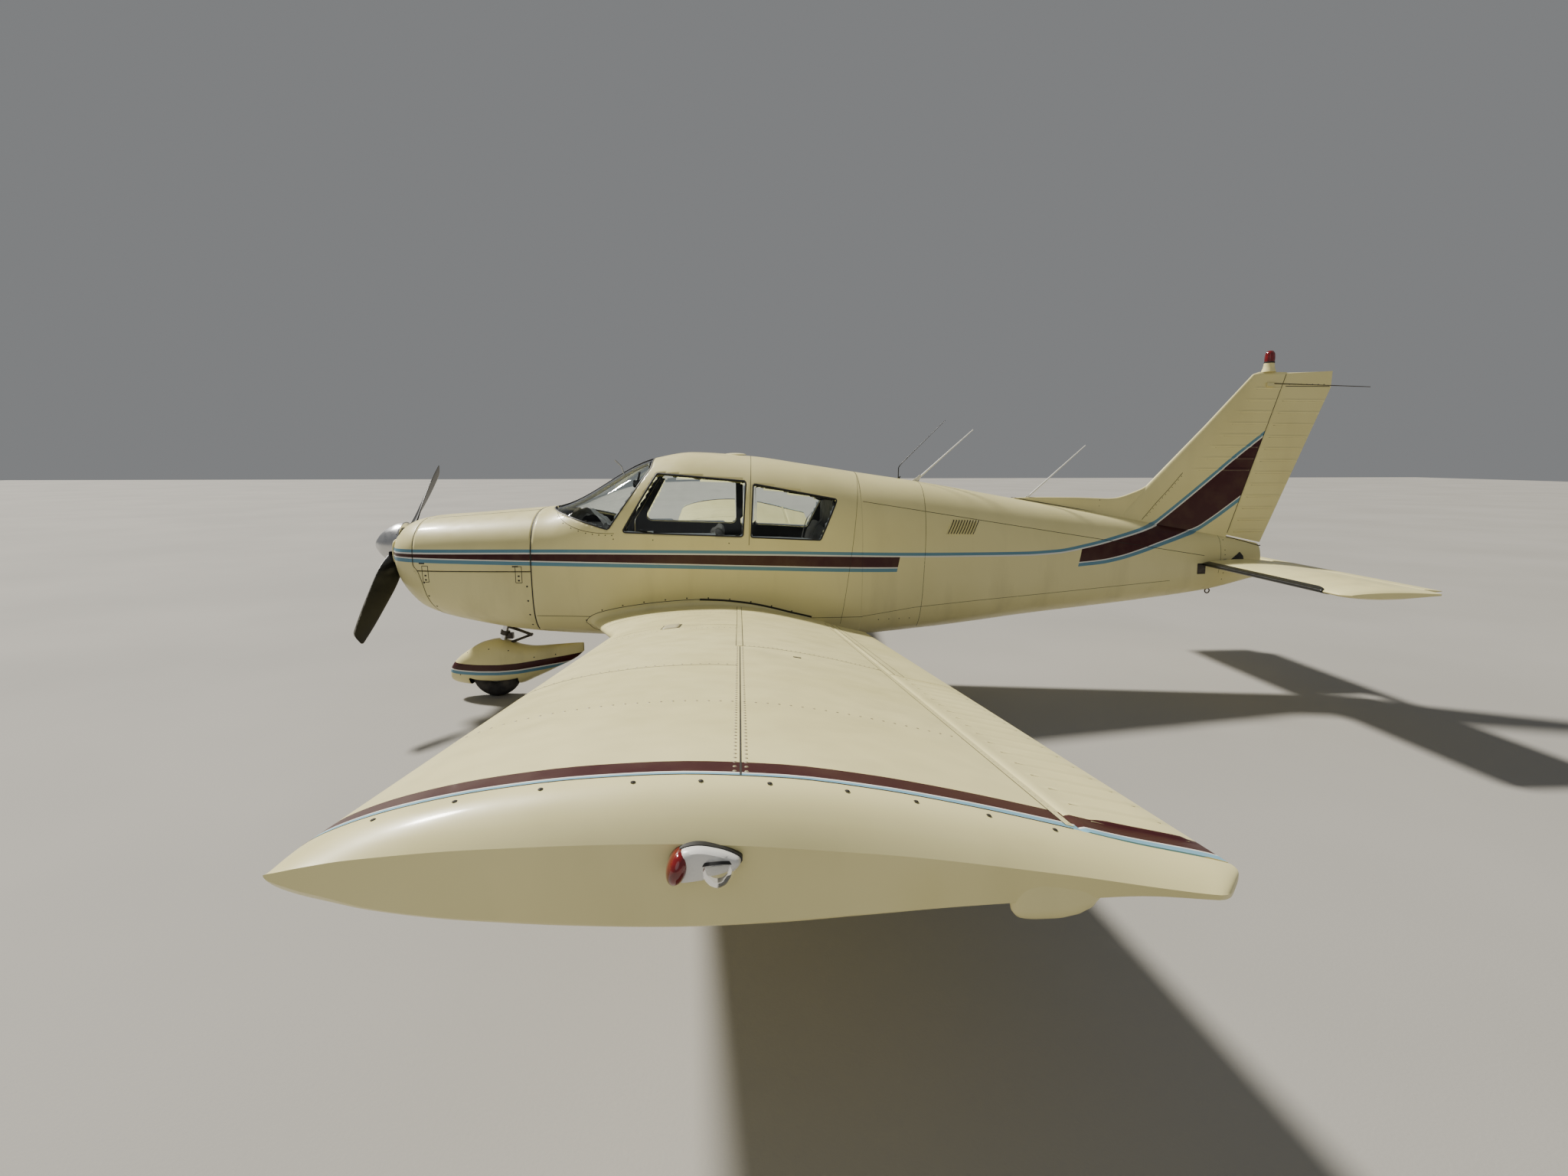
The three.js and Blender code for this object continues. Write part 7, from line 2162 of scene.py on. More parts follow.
@dataclass
class Wheel:
    """A tyre with worn grooves on a cast hub.

    Attributes:
        node: Start of the names of its CAD nodes.
        body: The body that turns.
        centre: Middle of the axle.
        radius: Outer radius of the tyre.
        width: Full width of the tyre.
        bore: Radius of the hub's hole.
    """

    node: str
    body: str
    centre: tuple[float, float, float]
    radius: float
    width: float
    bore: float

    def build(self) -> None:
        """Builds the tyre and the hub."""
        r, w = self.radius, self.width
        half = [[0.36, 0.36], [0.40, 0.40], [0.52, 0.475], [0.70, 0.49], [0.86, 0.44], [0.955, 0.31],
                [0.985, 0.17],
                [1.0, 0.06]]
        side = np.array(half) * (r, w)
        line = np.vstack([side, side[::-1] * (1, -1)])
        profile = evenly(rounded(line, 6, 0.4), 150)[:, ::-1]
        for groove in (-0.20, -0.07, 0.07, 0.20):
            near = (np.abs(profile[:, 0] - groove * w) < 0.0030) & (profile[:, 1] > 0.9 * r)
            profile[near, 1] -= 0.0040
        tyre = lathe(profile, self.centre, (0, 1, 0), 96)
        Piece(f"{self.node}_tyre_body", tyre, RUBBER, self.body, [f"{self.node}_tyre"], closed=False).build()
        outer = [[-0.365, 0.40], [-0.385, 0.47], [-0.36, 0.49], [-0.33, 0.44], [-0.30, 0.36], [-0.12, 0.33],
                 [-0.10, 0.22], [-0.20, 0.17], [-0.34, 0.155], [-0.34, 0.10]]
        shape = np.array(outer) * (w, r)
        bore = np.array([[-0.34 * w, self.bore + 0.002], [0.34 * w, self.bore + 0.002]])
        profile = np.vstack([rounded(shape, 3, 0.3), bore, (rounded(shape, 3, 0.3) * (-1, 1))[::-1]])
        hub = lathe(np.vstack([profile, profile[:1]]), self.centre, (0, 1, 0), 72)
        Piece(f"{self.node}_hub_body", hub, SATIN, self.body, [f"{self.node}_hub"]).build()
        turn = np.arange(6) * np.pi / 3
        bolts = []
        for sign in (-1, 1):
            at = np.array(self.centre) + np.stack([np.cos(turn) * 0.27 * r, turn * 0 + sign * 0.110 * w,
                                                   np.sin(turn) * 0.27 * r], -1)
            bolts.append(domes(at, np.tile([0.0, sign, 0.0], (6, 1)), 0.0070, 0.0080))
        Piece(f"{self.node}_hub_bolts", Surface.joined(bolts), STEEL, self.body, weld=1e-6).build()


@dataclass
class Spat:
    """The fairing over a wheel: a drop of superelliptic sections, open below over the tyre.

    Attributes:
        node: The CAD node that it stands for.
        body: The body that carries it.
        centre: Place of the axle along and across.
        scale: Its size for a wheel of 0.180.
        table: Rows of distance aft of the axle, top, bottom and half width.
    """

    node: str
    body: str
    centre: tuple[float, float]
    scale: float = 1.0
    table: tuple[tuple[float, float, float, float], ...] = (
        (-0.338, 0.200, 0.156, 0.010), (-0.331, 0.224, 0.143, 0.030), (-0.305, 0.266, 0.124, 0.060),
        (-0.210, 0.348, 0.102, 0.102), (-0.085, 0.417, 0.092, 0.123), (0.023, 0.438, 0.090, 0.128),
        (0.100, 0.424, 0.092, 0.124), (0.186, 0.392, 0.100, 0.114), (0.292, 0.379, 0.142, 0.090),
        (0.450, 0.389, 0.214, 0.054), (0.600, 0.399, 0.290, 0.022), (0.652, 0.400, 0.336, 0.009))
    power: float = 2.5
    opening: tuple[float, float] = (0.178, 0.103)
    band_line: tuple[tuple[float, float], ...] = (
        (-0.338, 0.230), (-0.28, 0.227), (-0.10, 0.221), (0.056, 0.220), (0.18, 0.226), (0.29, 0.237),
        (0.514, 0.262),
        (0.652, 0.281))

    def point(self, s: Array, turn: Array) -> Array:
        """A point of the skin, at a distance aft of the axle and an angle round from the right side."""
        table = np.array(self.table)
        top, bottom, half = smooth_table(np.ravel(s), table[:, 0], table[:, 1:]).T.reshape(3, *np.shape(s))
        c, d = np.cos(turn), np.sin(turn)
        y = half * np.sign(c) * np.abs(c) ** (2 / self.power)
        z = (top + bottom) / 2 + (top - bottom) / 2 * np.sign(d) * np.abs(d) ** (2 / self.power)
        x, y, z = np.broadcast_arrays(s, y, z)
        return np.stack([self.centre[0] + x * self.scale, self.centre[1] + y * self.scale, z * self.scale], -1)

    def build(self) -> None:
        """Builds the shell with its opening, the stripes' field and screws."""
        s = np.concatenate([-0.338 + 0.338 * (1 - np.cos(np.linspace(0, np.pi / 2, 44))),
                            np.linspace(0, 0.652, 60)[1:]])
        turn = np.linspace(0, 2 * np.pi, 97)
        grid = self.point(s[:, None], turn[None])
        reach, across = self.opening

        def keep(p: Array) -> Array:
            """Positive outside the slot that the tyre comes through."""
            x, y = (p[:, 0] - self.centre[0]) / self.scale, (p[:, 1] - self.centre[1]) / self.scale
            slot = np.maximum(np.abs(y) - across, np.abs(x) - reach)
            return np.maximum(slot, p[:, 2] / self.scale - 0.21)

        skin = cut(grid, [keep], flip=True)
        lines = np.array(self.band_line)
        along = (skin.points[:, 0] - self.centre[0]) / self.scale
        skin.fields["band"] = skin.points[:, 2] / self.scale - np.interp(along, lines[:, 0], lines[:, 1])
        Piece(f"{self.node}_skin", skin, SPAT_PAINT, self.body, [self.node], closed=False, thick=0.002, crease=45,
              lining=PLASTIC, edge=PAINT).build()
        at = []
        for s, t in ((-0.19, 62), (-0.02, 40), (0.12, 40), (0.30, 20), (0.45, 10), (-0.24, -10)):
            for angle in (t, 180 - t):
                at.append((s, math.radians(angle)))
        s, t = np.array(at).T
        here = self.point(s, t)
        step = 1e-3
        out = unit(np.cross(self.point(s, t + step) - here, self.point(s + step, t) - here))
        out *= np.sign((out * (here - self.point(s, t + np.pi))).sum(1, keepdims=True))
        Piece(f"{self.node}_screws", domes(here, out, 0.0055, 0.0016), SEAL, self.body, weld=1e-6).build()


@dataclass
class NoseGear:
    """The steered nose leg: housing, chromed piston, torque links, fork, rubber bellows and its arm."""

    axle: tuple[float, float] = (-1.090, 0.180)
    rake: float = 0.2515

    def along(self, z: float, y: float = 0.0) -> tuple[float, float, float]:
        """The strut's middle at a height."""
        return (self.axle[0] + (z - self.axle[1]) * self.rake, y, z)

    def bar(self, low: float, high: float, radius: float) -> Surface:
        """A round length of the strut."""
        return tube([self.along(low), self.along(high)], radius, 40)

    def build(self) -> None:
        """Builds the whole leg."""
        housing = [self.bar(0.585, 0.845, 0.037), self.bar(0.585, 0.606, 0.042), self.bar(0.690, 0.708, 0.044),
                   block((-0.960, -0.058, 0.733), (-0.6515, 0.058, 0.842))]
        brace = [tube([self.along(0.62, side * 0.030), (-0.700, side * 0.055, 0.735)], 0.011) for side in (-1, 1)]
        Piece("nose_strut_housing", Surface.joined(housing + brace), STEEL, "airframe", ["nose_leg"]).build()
        Piece("nose_piston", self.bar(0.378, 0.590, 0.0248), CHROME, "nose_steering", ["nose_fork"]).build()
        fork = [block((-1.083, -0.088, 0.374), (-0.997, 0.088, 0.390)), self.bar(0.470, 0.500, 0.034),
                self.bar(0.380, 0.398, 0.033)]
        for side in (-1, 1):
            path = np.array([[-1.090, side * 0.084, 0.152], [-1.040, side * 0.084, 0.382]])
            fork.append(sweep(path, np.tile([0.0, 1.0, 0.0], (2, 1)),
                              np.array([[-0.025, -0.0045], [0.025, -0.0045], [0.025, 0.0045], [-0.025, 0.0045]])))
        fork.append(tube([(-1.090, -0.0935, 0.180), (-1.090, 0.0935, 0.180)], 0.0125, 20))
        Piece("nose_fork_plates", Surface.joined(fork), STEEL, "nose_steering").build()
        links = []
        end = (-0.822, 0.0, 0.466)
        for start in ((-0.985, 0.0, 0.405), (-0.985, 0.0, 0.532)):
            for side in (-1, 1):
                a, b = np.array(start) + (0, side * 0.013, 0), np.array(end) + (0, side * 0.005, 0)
                path = np.array([a, a + (b - a) * 0.5, b])
                links.append(tube(path, np.array([0.0100, 0.0080, 0.0095]), 12))
        for x, wide, z, size in ((-0.822, 0.014, 0.466, 0.0110), (-0.985, 0.020, 0.405, 0.0095),
                                 (-0.985, 0.020, 0.532, 0.0095)):
            links.append(tube([(x, -wide, z), (x, wide, z)], size, 14))
        links.append(block((-0.998, -0.020, 0.440), (-0.955, 0.020, 0.482)))
        Piece("nose_torque_links", Surface.joined(links), STEEL, "nose_steering").build()
        wave = np.linspace(0, 1, 61)
        z = 0.400 + 0.025 * wave
        size = 0.031 + 0.004 * np.cos(8 * np.pi * wave)
        axis = unit(np.array(self.along(1.0)) - np.array(self.along(0.0)))
        length = (z - 0.400) * math.hypot(1, self.rake)
        bellows = lathe(np.stack([length, size], -1), self.along(0.400), axis, 32)
        Piece("nose_gaiter", bellows, BOOT, "nose_steering", closed=False).build()
        Wheel("nose", "nose_wheel", (-1.090, 0.0, 0.180), 0.180, 0.127, 0.0135).build()
        Spat("nose_fairing", "nose_steering", (-1.090, 0.0)).build()


@dataclass
class MainGear:
    """One main leg with its wheel and fairing."""

    side: Side
    x: float = 0.795
    leg: float = 1.398
    track: float = 1.524
    axle: float = 0.222

    def at(self, y: float, z: float) -> tuple[float, float, float]:
        """A point in the leg's plane."""
        return (self.x, self.side.value * y, z)

    def build(self) -> None:
        """Builds the leg, its scissor links, the wheel and the fairing."""
        word = self.side.word
        top = float(WING.skin(self.side, np.array(self.leg), np.array(0.5), over=False)[2])
        parts = [tube([self.at(self.leg, 0.432), self.at(self.leg, top + 0.015)], 0.0325, 40),
                 tube([self.at(self.leg, 0.432), self.at(self.leg, 0.450)], 0.037, 40),
                 tube([self.at(self.leg, top - 0.030), self.at(self.leg, top + 0.004)], 0.041, 40),
                 tube([self.at(self.leg, 0.222), self.at(1.618, 0.222)], 0.0185, 28),
                 tube([self.at(self.leg - 0.030, 0.222), self.at(self.leg + 0.030, 0.222)], 0.0355, 32)]
        Piece(f"main_strut_{word}", Surface.joined(parts), STEEL, "airframe", [f"main_leg_{word}"]).build()
        piston = tube([self.at(self.leg, 0.205), self.at(self.leg, 0.436)], 0.0238, 36)
        Piece(f"main_piston_{word}", piston, CHROME, "airframe").build()
        links = []
        for start in ((self.x + 0.030, 0.300), (self.x + 0.034, 0.440)):
            a = np.array([start[0], self.side.value * self.leg, start[1]])
            b = np.array([self.x + 0.125, self.side.value * self.leg, 0.372])
            for off in (-0.012, 0.012):
                links.append(tube(np.array([a + (0, off, 0), b + (0, off * 0.4, 0)]), 0.0065, 12))
        line = evenly(np.array([self.at(self.leg - 0.030, 0.30), self.at(self.leg - 0.040, 0.45),
                                self.at(self.leg - 0.030, top + 0.01)]) - (0.028, 0, 0), 16)
        links.append(tube(line, 0.0035, 8))
        Piece(f"main_links_{word}", Surface.joined(links), STEEL, "airframe").build()
        Wheel(f"main_{word}", f"{word}_wheel", self.at(self.track, self.axle), 0.222, 0.155, 0.0195).build()
        Spat(f"main_fairing_{word}", "airframe", (self.x, self.side.value * self.track), 1.14).build()


@dataclass
class Propeller:
    """The two-bladed metal propeller with its polished spinner.

    Attributes:
        hub: Place of the hub along and up.
        table: Rows of radius, chord and thickness.
        advance: Geometric pitch: how far the blades' angle would carry them in a turn.
    """

    hub: tuple[float, float] = (-1.700, 1.152)
    table: tuple[tuple[float, float, float], ...] = (
        (0.040, 0.080, 0.060), (0.120, 0.100, 0.054), (0.190, 0.128, 0.042), (0.420, 0.165, 0.026),
        (0.680, 0.152, 0.016), (0.880, 0.120, 0.009), (0.925, 0.106, 0.007), (0.940, 0.078, 0.005))
    advance: float = 1.473
    angle: float = 56.0
    tip: float = -1.893

    def blade(self, turn: float) -> Surface:
        """A blade of aerofoil sections, twisted by atan(advance / 2 pi r)."""
        table = np.array(self.table)
        r = np.concatenate([np.linspace(0.040, 0.90, 70),
                            0.90 + 0.040 * np.sin(np.linspace(0, np.pi / 2, 12))[1:]])
        chord, thick = smooth_table(r, table[:, 0], table[:, 1:]).T
        pitch = np.arctan2(self.advance, 2 * np.pi * np.maximum(r, 0.190))
        t = np.linspace(0, 2 * np.pi, 44, endpoint=False)
        across = np.cos(t) / 2
        height = np.sin(t) / 2 * (0.92 - 0.18 * np.cos(t)) * np.where(np.sin(t) < 0, 0.8, 1.0)
        radial = np.array([0, math.sin(turn), math.cos(turn)])
        ahead = np.array([0, math.cos(turn), -math.sin(turn)])
        along = ahead * np.cos(pitch)[:, None] - np.array([1.0, 0, 0]) * np.sin(pitch)[:, None]
        up = np.cross(radial, along)
        centre = np.array([self.hub[0], 0, self.hub[1]]) + radial * r[:, None]
        points = (centre[:, None] + along[:, None] * (across * chord[:, None])[..., None]
                  + up[:, None] * (height * thick[:, None])[..., None])
        made = Surface.grid(points, wrap=True, caps=True)
        made.fields["edge"] = (0.5 * chord[:, None] - across[None] * chord[:, None]).ravel()
        made.fields["out"] = np.broadcast_to(r[:, None], points.shape[:2]).ravel()
        return made

    def build(self) -> None:
        """Builds blades, hub, back plate and spinner."""
        x, z = self.hub
        turns = [math.radians(self.angle + a) for a in (0, 180)]
        blades = Surface.joined([self.blade(t) for t in turns])
        Piece("propeller_metal", blades, BLADES, "propeller", ["propeller_blades"], closed=True).build()
        hub = lathe([[-0.045, 0.0], [-0.045, 0.071], [0.044, 0.071], [0.044, 0.0]], (x, 0, z), (1, 0, 0), 48)
        Piece("propeller_boss", hub, STEEL, "propeller").build()
        shape = np.array([[0, 0.0], [0.0035, 0.018], [0.022, 0.048], [0.062, 0.092], [0.118, 0.130],
                          [0.172, 0.152],
                          [0.217, 0.1605]])
        along = np.linspace(0, 1, 60) ** 2 * 0.217
        radius = smooth_table(np.sqrt(along), np.sqrt(shape[:, 0]), shape[:, 1])[:, 0]
        turn = np.linspace(0, 2 * np.pi, 121)
        grid = np.stack(np.broadcast_arrays(self.tip + along[:, None], radius[:, None] * np.sin(turn),
                                            z + radius[:, None] * np.cos(turn)), -1)

        def keep(p: Array) -> Array:
            """Positive outside the two round-ended holes that the blades come through."""
            rel = p - (x, 0, z)
            t = turns[0]
            out = rel[:, 1] * math.sin(t) + rel[:, 2] * math.cos(t)
            side = rel[:, 1] * math.cos(t) - rel[:, 2] * math.sin(t)
            lean = side + rel[:, 0] * np.sign(out) * 0.55
            hole = np.hypot(lean / 0.046, (rel[:, 0] - 0.004) / 0.056) - 1
            return np.where(np.abs(out) > 0.04, hole * 0.05, 1.0)

        skin = cut(grid, [keep])
        Piece("spinner_shell", skin, POLISHED, "propeller", ["spinner"], closed=False, thick=0.0015).build()
        rear = self.tip + 0.217
        plate = lathe(rounded([[0.0, 0.0], [0.0, 0.1585], [0.001, 0.1620], [0.007, 0.1620], [0.008, 0.156],
                               [0.008, 0.0]], 3, 0.2), (rear, 0, z), (1, 0, 0), 96)
        Piece("spinner_plate", plate, ALLOY, "propeller").build()
        count = np.arange(10) * np.pi / 5 + 0.25
        at = np.stack([np.full(10, rear - 0.010), 0.1601 * np.sin(count), z + 0.1601 * np.cos(count)], -1)
        out = np.stack([np.full(10, -0.1), np.sin(count), np.cos(count)], -1)
        Piece("spinner_screws", domes(at, unit(out), 0.0042, 0.0016), STEEL, "propeller", weld=1e-6).build()


@dataclass
class Engine:
    """A flat four-cylinder engine that fills its plain CAD block, with baffles and exhaust."""

    axis: float = 1.050
    rows: tuple[float, float] = (-1.235, -0.985)

    def cylinder(self, x: float, side: Side) -> tuple[Surface, Surface]:
        """A finned barrel and its head: a lathe whose radius goes in and out, and a ribbed box.

        Returns:
            The barrel and the head.
        """
        steps = np.arange(0.120, 0.235, 0.0040)
        profile = [[steps[0], 0.0]]
        for i, y in enumerate(steps):
            size = 0.078 if i % 2 else 0.062
            profile += [[y, size], [y + 0.0035, size]]
        profile.append([steps[-1] + 0.0035, 0.0])
        barrel = lathe(profile, (x, 0, self.axis), (0, side.value, 0), 36)
        fins = []
        for k in range(9):
            y0 = 0.236 + k * 0.0095
            size = 0.088 - 0.001 * k
            low = (x - size, side.value * y0, self.axis - size * 0.92)
            high = (x + size, side.value * (y0 + 0.0045), self.axis + size * 0.92)
            fins.append(block(np.minimum(low, high), np.maximum(low, high)))
        core = [(x - 0.070, side.value * 0.232, self.axis - 0.066),
                (x + 0.070, side.value * 0.326, self.axis + 0.066)]
        fins.append(block(np.minimum(*core), np.maximum(*core)))
        return barrel, Surface.joined(fins)

    def build(self) -> None:
        """Builds crankcase, cylinders, covers, exhaust and baffles."""
        crank = [[-0.610, 0.0], [-0.610, 0.060], [-0.560, 0.075], [-0.380, 0.080], [-0.375, 0.115],
                 [-0.060, 0.115],
                 [-0.055, 0.085], [0.0, 0.080], [0.0, 0.0]]
        case = lathe(rounded(crank, 3, 0.15), (-0.770, 0, self.axis), (1, 0, 0), 48)
        parts, heads = [case, block((-1.300, -0.118, 0.900), (-0.830, 0.118, 1.150))], []
        covers, plugs = [], []
        for side in Side:
            for x in self.rows:
                x = x - 0.020 * (side is Side.LEFT)
                barrel, head = self.cylinder(x, side)
                parts.append(barrel)
                heads.append(head)
                low, high = (x - 0.050, side.value * 0.3225, self.axis - 0.070), (x + 0.050, side.value * 0.3295,
                                                                                 self.axis + 0.070)
                covers.append(block(np.minimum(low, high), np.maximum(low, high)))
                for lift in (-0.052, 0.050):
                    y = side.value * 0.290
                    plugs.append(tube([(x + 0.030, y, self.axis + lift * 1.55),
                                       (x + 0.030, y, self.axis + lift * 2.2)],
                                      0.010, 10))
                    path = np.array([[x + 0.030, y, self.axis + lift * 2.2], [x + 0.06, y * 0.7, 1.158],
                                     [-0.800, side.value * 0.090, 1.140]])
                    plugs.append(tube(evenly(rounded(path, 6, 0.4), 16), 0.0045, 8))
        Piece("engine_case", Surface.joined(parts), ENGINE, "airframe", ["engine_block"]).build()
        Piece("engine_heads", Surface.joined(heads), ENGINE, "airframe").build()
        Piece("engine_covers", Surface.joined(covers), SATIN, "airframe").build()
        Piece("ignition_leads", Surface.joined(plugs), BELT, "airframe").build()
        shaft = tube([(-1.350, 0, 1.152), (-1.660, 0, 1.152)], 0.0445, 40)
        flange = lathe([[0, 0.0], [0, 0.070], [0.012, 0.070], [0.012, 0.0]], (-1.669, 0, 1.152), (1, 0, 0), 40)
        Piece("engine_shaft", Surface.joined([shaft, flange]), STEEL, "airframe").build()
        accessory = [block((-0.780, -0.118, 0.952), (-0.6525, 0.118, 1.148)),
                     lathe(rounded([[0, 0.0], [0, 0.045], [0.09, 0.045], [0.10, 0.03], [0.10, 0.0]], 3, 0.2),
                           (-0.770, 0.060, 1.160), (1, 0, 0), 30),
                     lathe(rounded([[0, 0.0], [0, 0.045], [0.09, 0.045], [0.10, 0.03], [0.10, 0.0]], 3, 0.2),
                           (-0.770, -0.060, 1.160), (1, 0, 0), 30)]
        Piece("engine_accessories", Surface.joined(accessory), ENGINE, "airframe").build()
        pipes = []
        for side in Side:
            for x in self.rows:
                path = np.array([[x - 0.02, side.value * 0.285, 0.985], [x - 0.02, side.value * 0.285, 0.900],
                                 [-0.900, side.value * 0.240, 0.885]])
                pipes.append(tube(evenly(rounded(path, 8, 0.45), 20), 0.019, 16))
        pipes.append(tube([(-0.900, -0.250, 0.905), (-0.900, 0.250, 0.905)], 0.034, 24))
        Piece("exhaust_manifold", Surface.joined(pipes), BURNT, "airframe").build()
        sheets = [block((-1.385, -0.330, 1.180), (-1.382, 0.330, 1.245)),
                  block((-0.868, -0.330, 0.985), (-0.865, 0.330, 1.235))]
        Piece("engine_baffles", Surface.joined(sheets), SATIN, "airframe").build()
        pipe = [[0.070, 0.0215], [0.070, 0.0240], [0.142, 0.0240], [0.142, 0.0215]]
        lead = np.array([-0.900, -0.180, 0.640]) - np.array([-0.870, -0.180, 0.500])
        tail = lathe(np.vstack([pipe, pipe[:1]]), (-0.870, -0.180, 0.500), lead, 40)
        Piece("exhaust_tail", tail, BURNT, "airframe", ["exhaust_pipe"]).build()


@dataclass
class Seat:
    """A front seat: a metal frame, and a padded seat and back that a cloth simulation fills out."""

    side: Side
    middle: float = 0.255
    base: float = 0.7603
    half: float = 0.210
    tuck: float = 0.045

    def profile(self) -> Array:
        """The seat's side view, seat cushion and back in one."""
        b = self.base
        return np.array([[0.040, b + 0.010], [0.500, b + 0.004], [0.545, b + 0.060], [0.622, b + 0.475],
                         [0.588, b + 0.508],
                         [0.548, b + 0.505], [0.455, b + 0.160], [0.430, b + 0.140], [0.060, b + 0.158],
                         [0.038, b + 0.130]])

    def build(self) -> None:
        """Builds the cushion and the frame under it."""
        word = self.side.word
        y = self.side.value * self.middle
        line = evenly(rounded(np.vstack([self.profile(), self.profile()[:1]]), 5, 0.3)[:-1], 120, closed=True)
        width = np.array([0.0, 0.86, 0.965, 1.0, 1.0, 0.965, 0.86, 0.0])
        across = np.array([-1, -0.985, -0.93, -0.85, 0.85, 0.93, 0.985, 1]) * self.half
        inward = unit(self.inward(line))
        rings = [line + inward * (1 - share) * self.tuck for share in width]
        points = np.stack([np.concatenate([r[:, :1], np.full((len(line), 1), y + o), r[:, 1:]], 1)
                           for r, o in zip(rings, across)])
        body = Surface.grid(points, wrap=True)
        closed = Surface(body.points, body.faces + [np.arange(120)[None], (7 * 120 + np.arange(120))[None, ::-1]])
        piece = Piece(f"seat_cushion_{word}", closed, CLOTH, "airframe", [f"seat_{word}"]).build()
        puff(piece, self.limit)
        bars = []
        for off in (-0.150, 0.150):
            for x in (0.080, 0.480):
                bars.append(tube([(x, y + off, 0.592), (x, y + off, 0.745)], 0.011, 12))
            bars.append(tube([(0.070, y + off, 0.750), (0.510, y + off, 0.750)], 0.009, 12))
            bars.append(block((0.050, y + off - 0.012, 0.590), (0.560, y + off + 0.012, 0.600)))
        for x in (0.080, 0.480):
            bars.append(tube([(x, y - 0.180, 0.750), (x, y + 0.180, 0.750)], 0.009, 12))
        Piece(f"seat_rails_{word}", Surface.joined(bars), STEEL, "airframe", [f"seat_frame_{word}"]).build()

    def inward(self, line: Array) -> Array:
        """Directions into the outline, square to it."""
        along = np.roll(line, -1, 0) - np.roll(line, 1, 0)
        normal = np.stack([-along[:, 1], along[:, 0]], -1)
        area = (line[:, 0] * np.roll(line[:, 1], -1) - line[:, 1] * np.roll(line[:, 0], -1)).sum()
        return normal * np.sign(area)

    @staticmethod
    def limit() -> float:
        """How far a point of the cushion may move."""
        return 0.016


def puff(piece: bpy.types.Object, limit: Callable[[], float], voxel: float = 0.016) -> None:
    """Fills a cushion out by a short cloth simulation with inner pressure, and applies it.

    Args:
        piece: The cushion, as a closed mesh.
        limit: Gives the longest move of a point, in metres.
        voxel: Size of the remesh before it.
    """
    scene = bpy.context.scene
    remesh = piece.modifiers.new("even", "REMESH")
    remesh.voxel_size = voxel
    bake(piece)
    rest = np.zeros(len(piece.data.vertices) * 3, np.float32)
    piece.data.vertices.foreach_get("co", rest)
    cloth = piece.modifiers.new("cloth", "CLOTH")
    cloth.settings.use_pressure = True
    cloth.settings.uniform_pressure_force = 4.0
    cloth.settings.effector_weights.gravity = 0.0
    cloth.point_cache.frame_end = 20
    for step in range(1, 21):
        scene.frame_set(step)
    bake(piece)
    scene.frame_set(1)
    moved = np.zeros_like(rest)
    piece.data.vertices.foreach_get("co", moved)
    way = (moved - rest).reshape(-1, 3)
    far = np.linalg.norm(way, axis=1, keepdims=True)
    held = rest.reshape(-1, 3) + way * np.minimum(1.0, limit() / np.maximum(far, 1e-9))
    piece.data.vertices.foreach_set("co", held.astype(np.float32).ravel())
    smooth = piece.modifiers.new("soft", "SUBSURF")
    smooth.levels = smooth.render_levels = 1
    bake(piece)
    piece.data.shade_smooth()


def bake(piece: bpy.types.Object) -> None:
    """Turns the piece's modifiers into its mesh."""
    graph = bpy.context.evaluated_depsgraph_get()
    made = bpy.data.meshes.new_from_object(piece.evaluated_get(graph), depsgraph=graph)
    old = piece.data
    piece.modifiers.clear()
    piece.data = made
    bpy.data.meshes.remove(old)


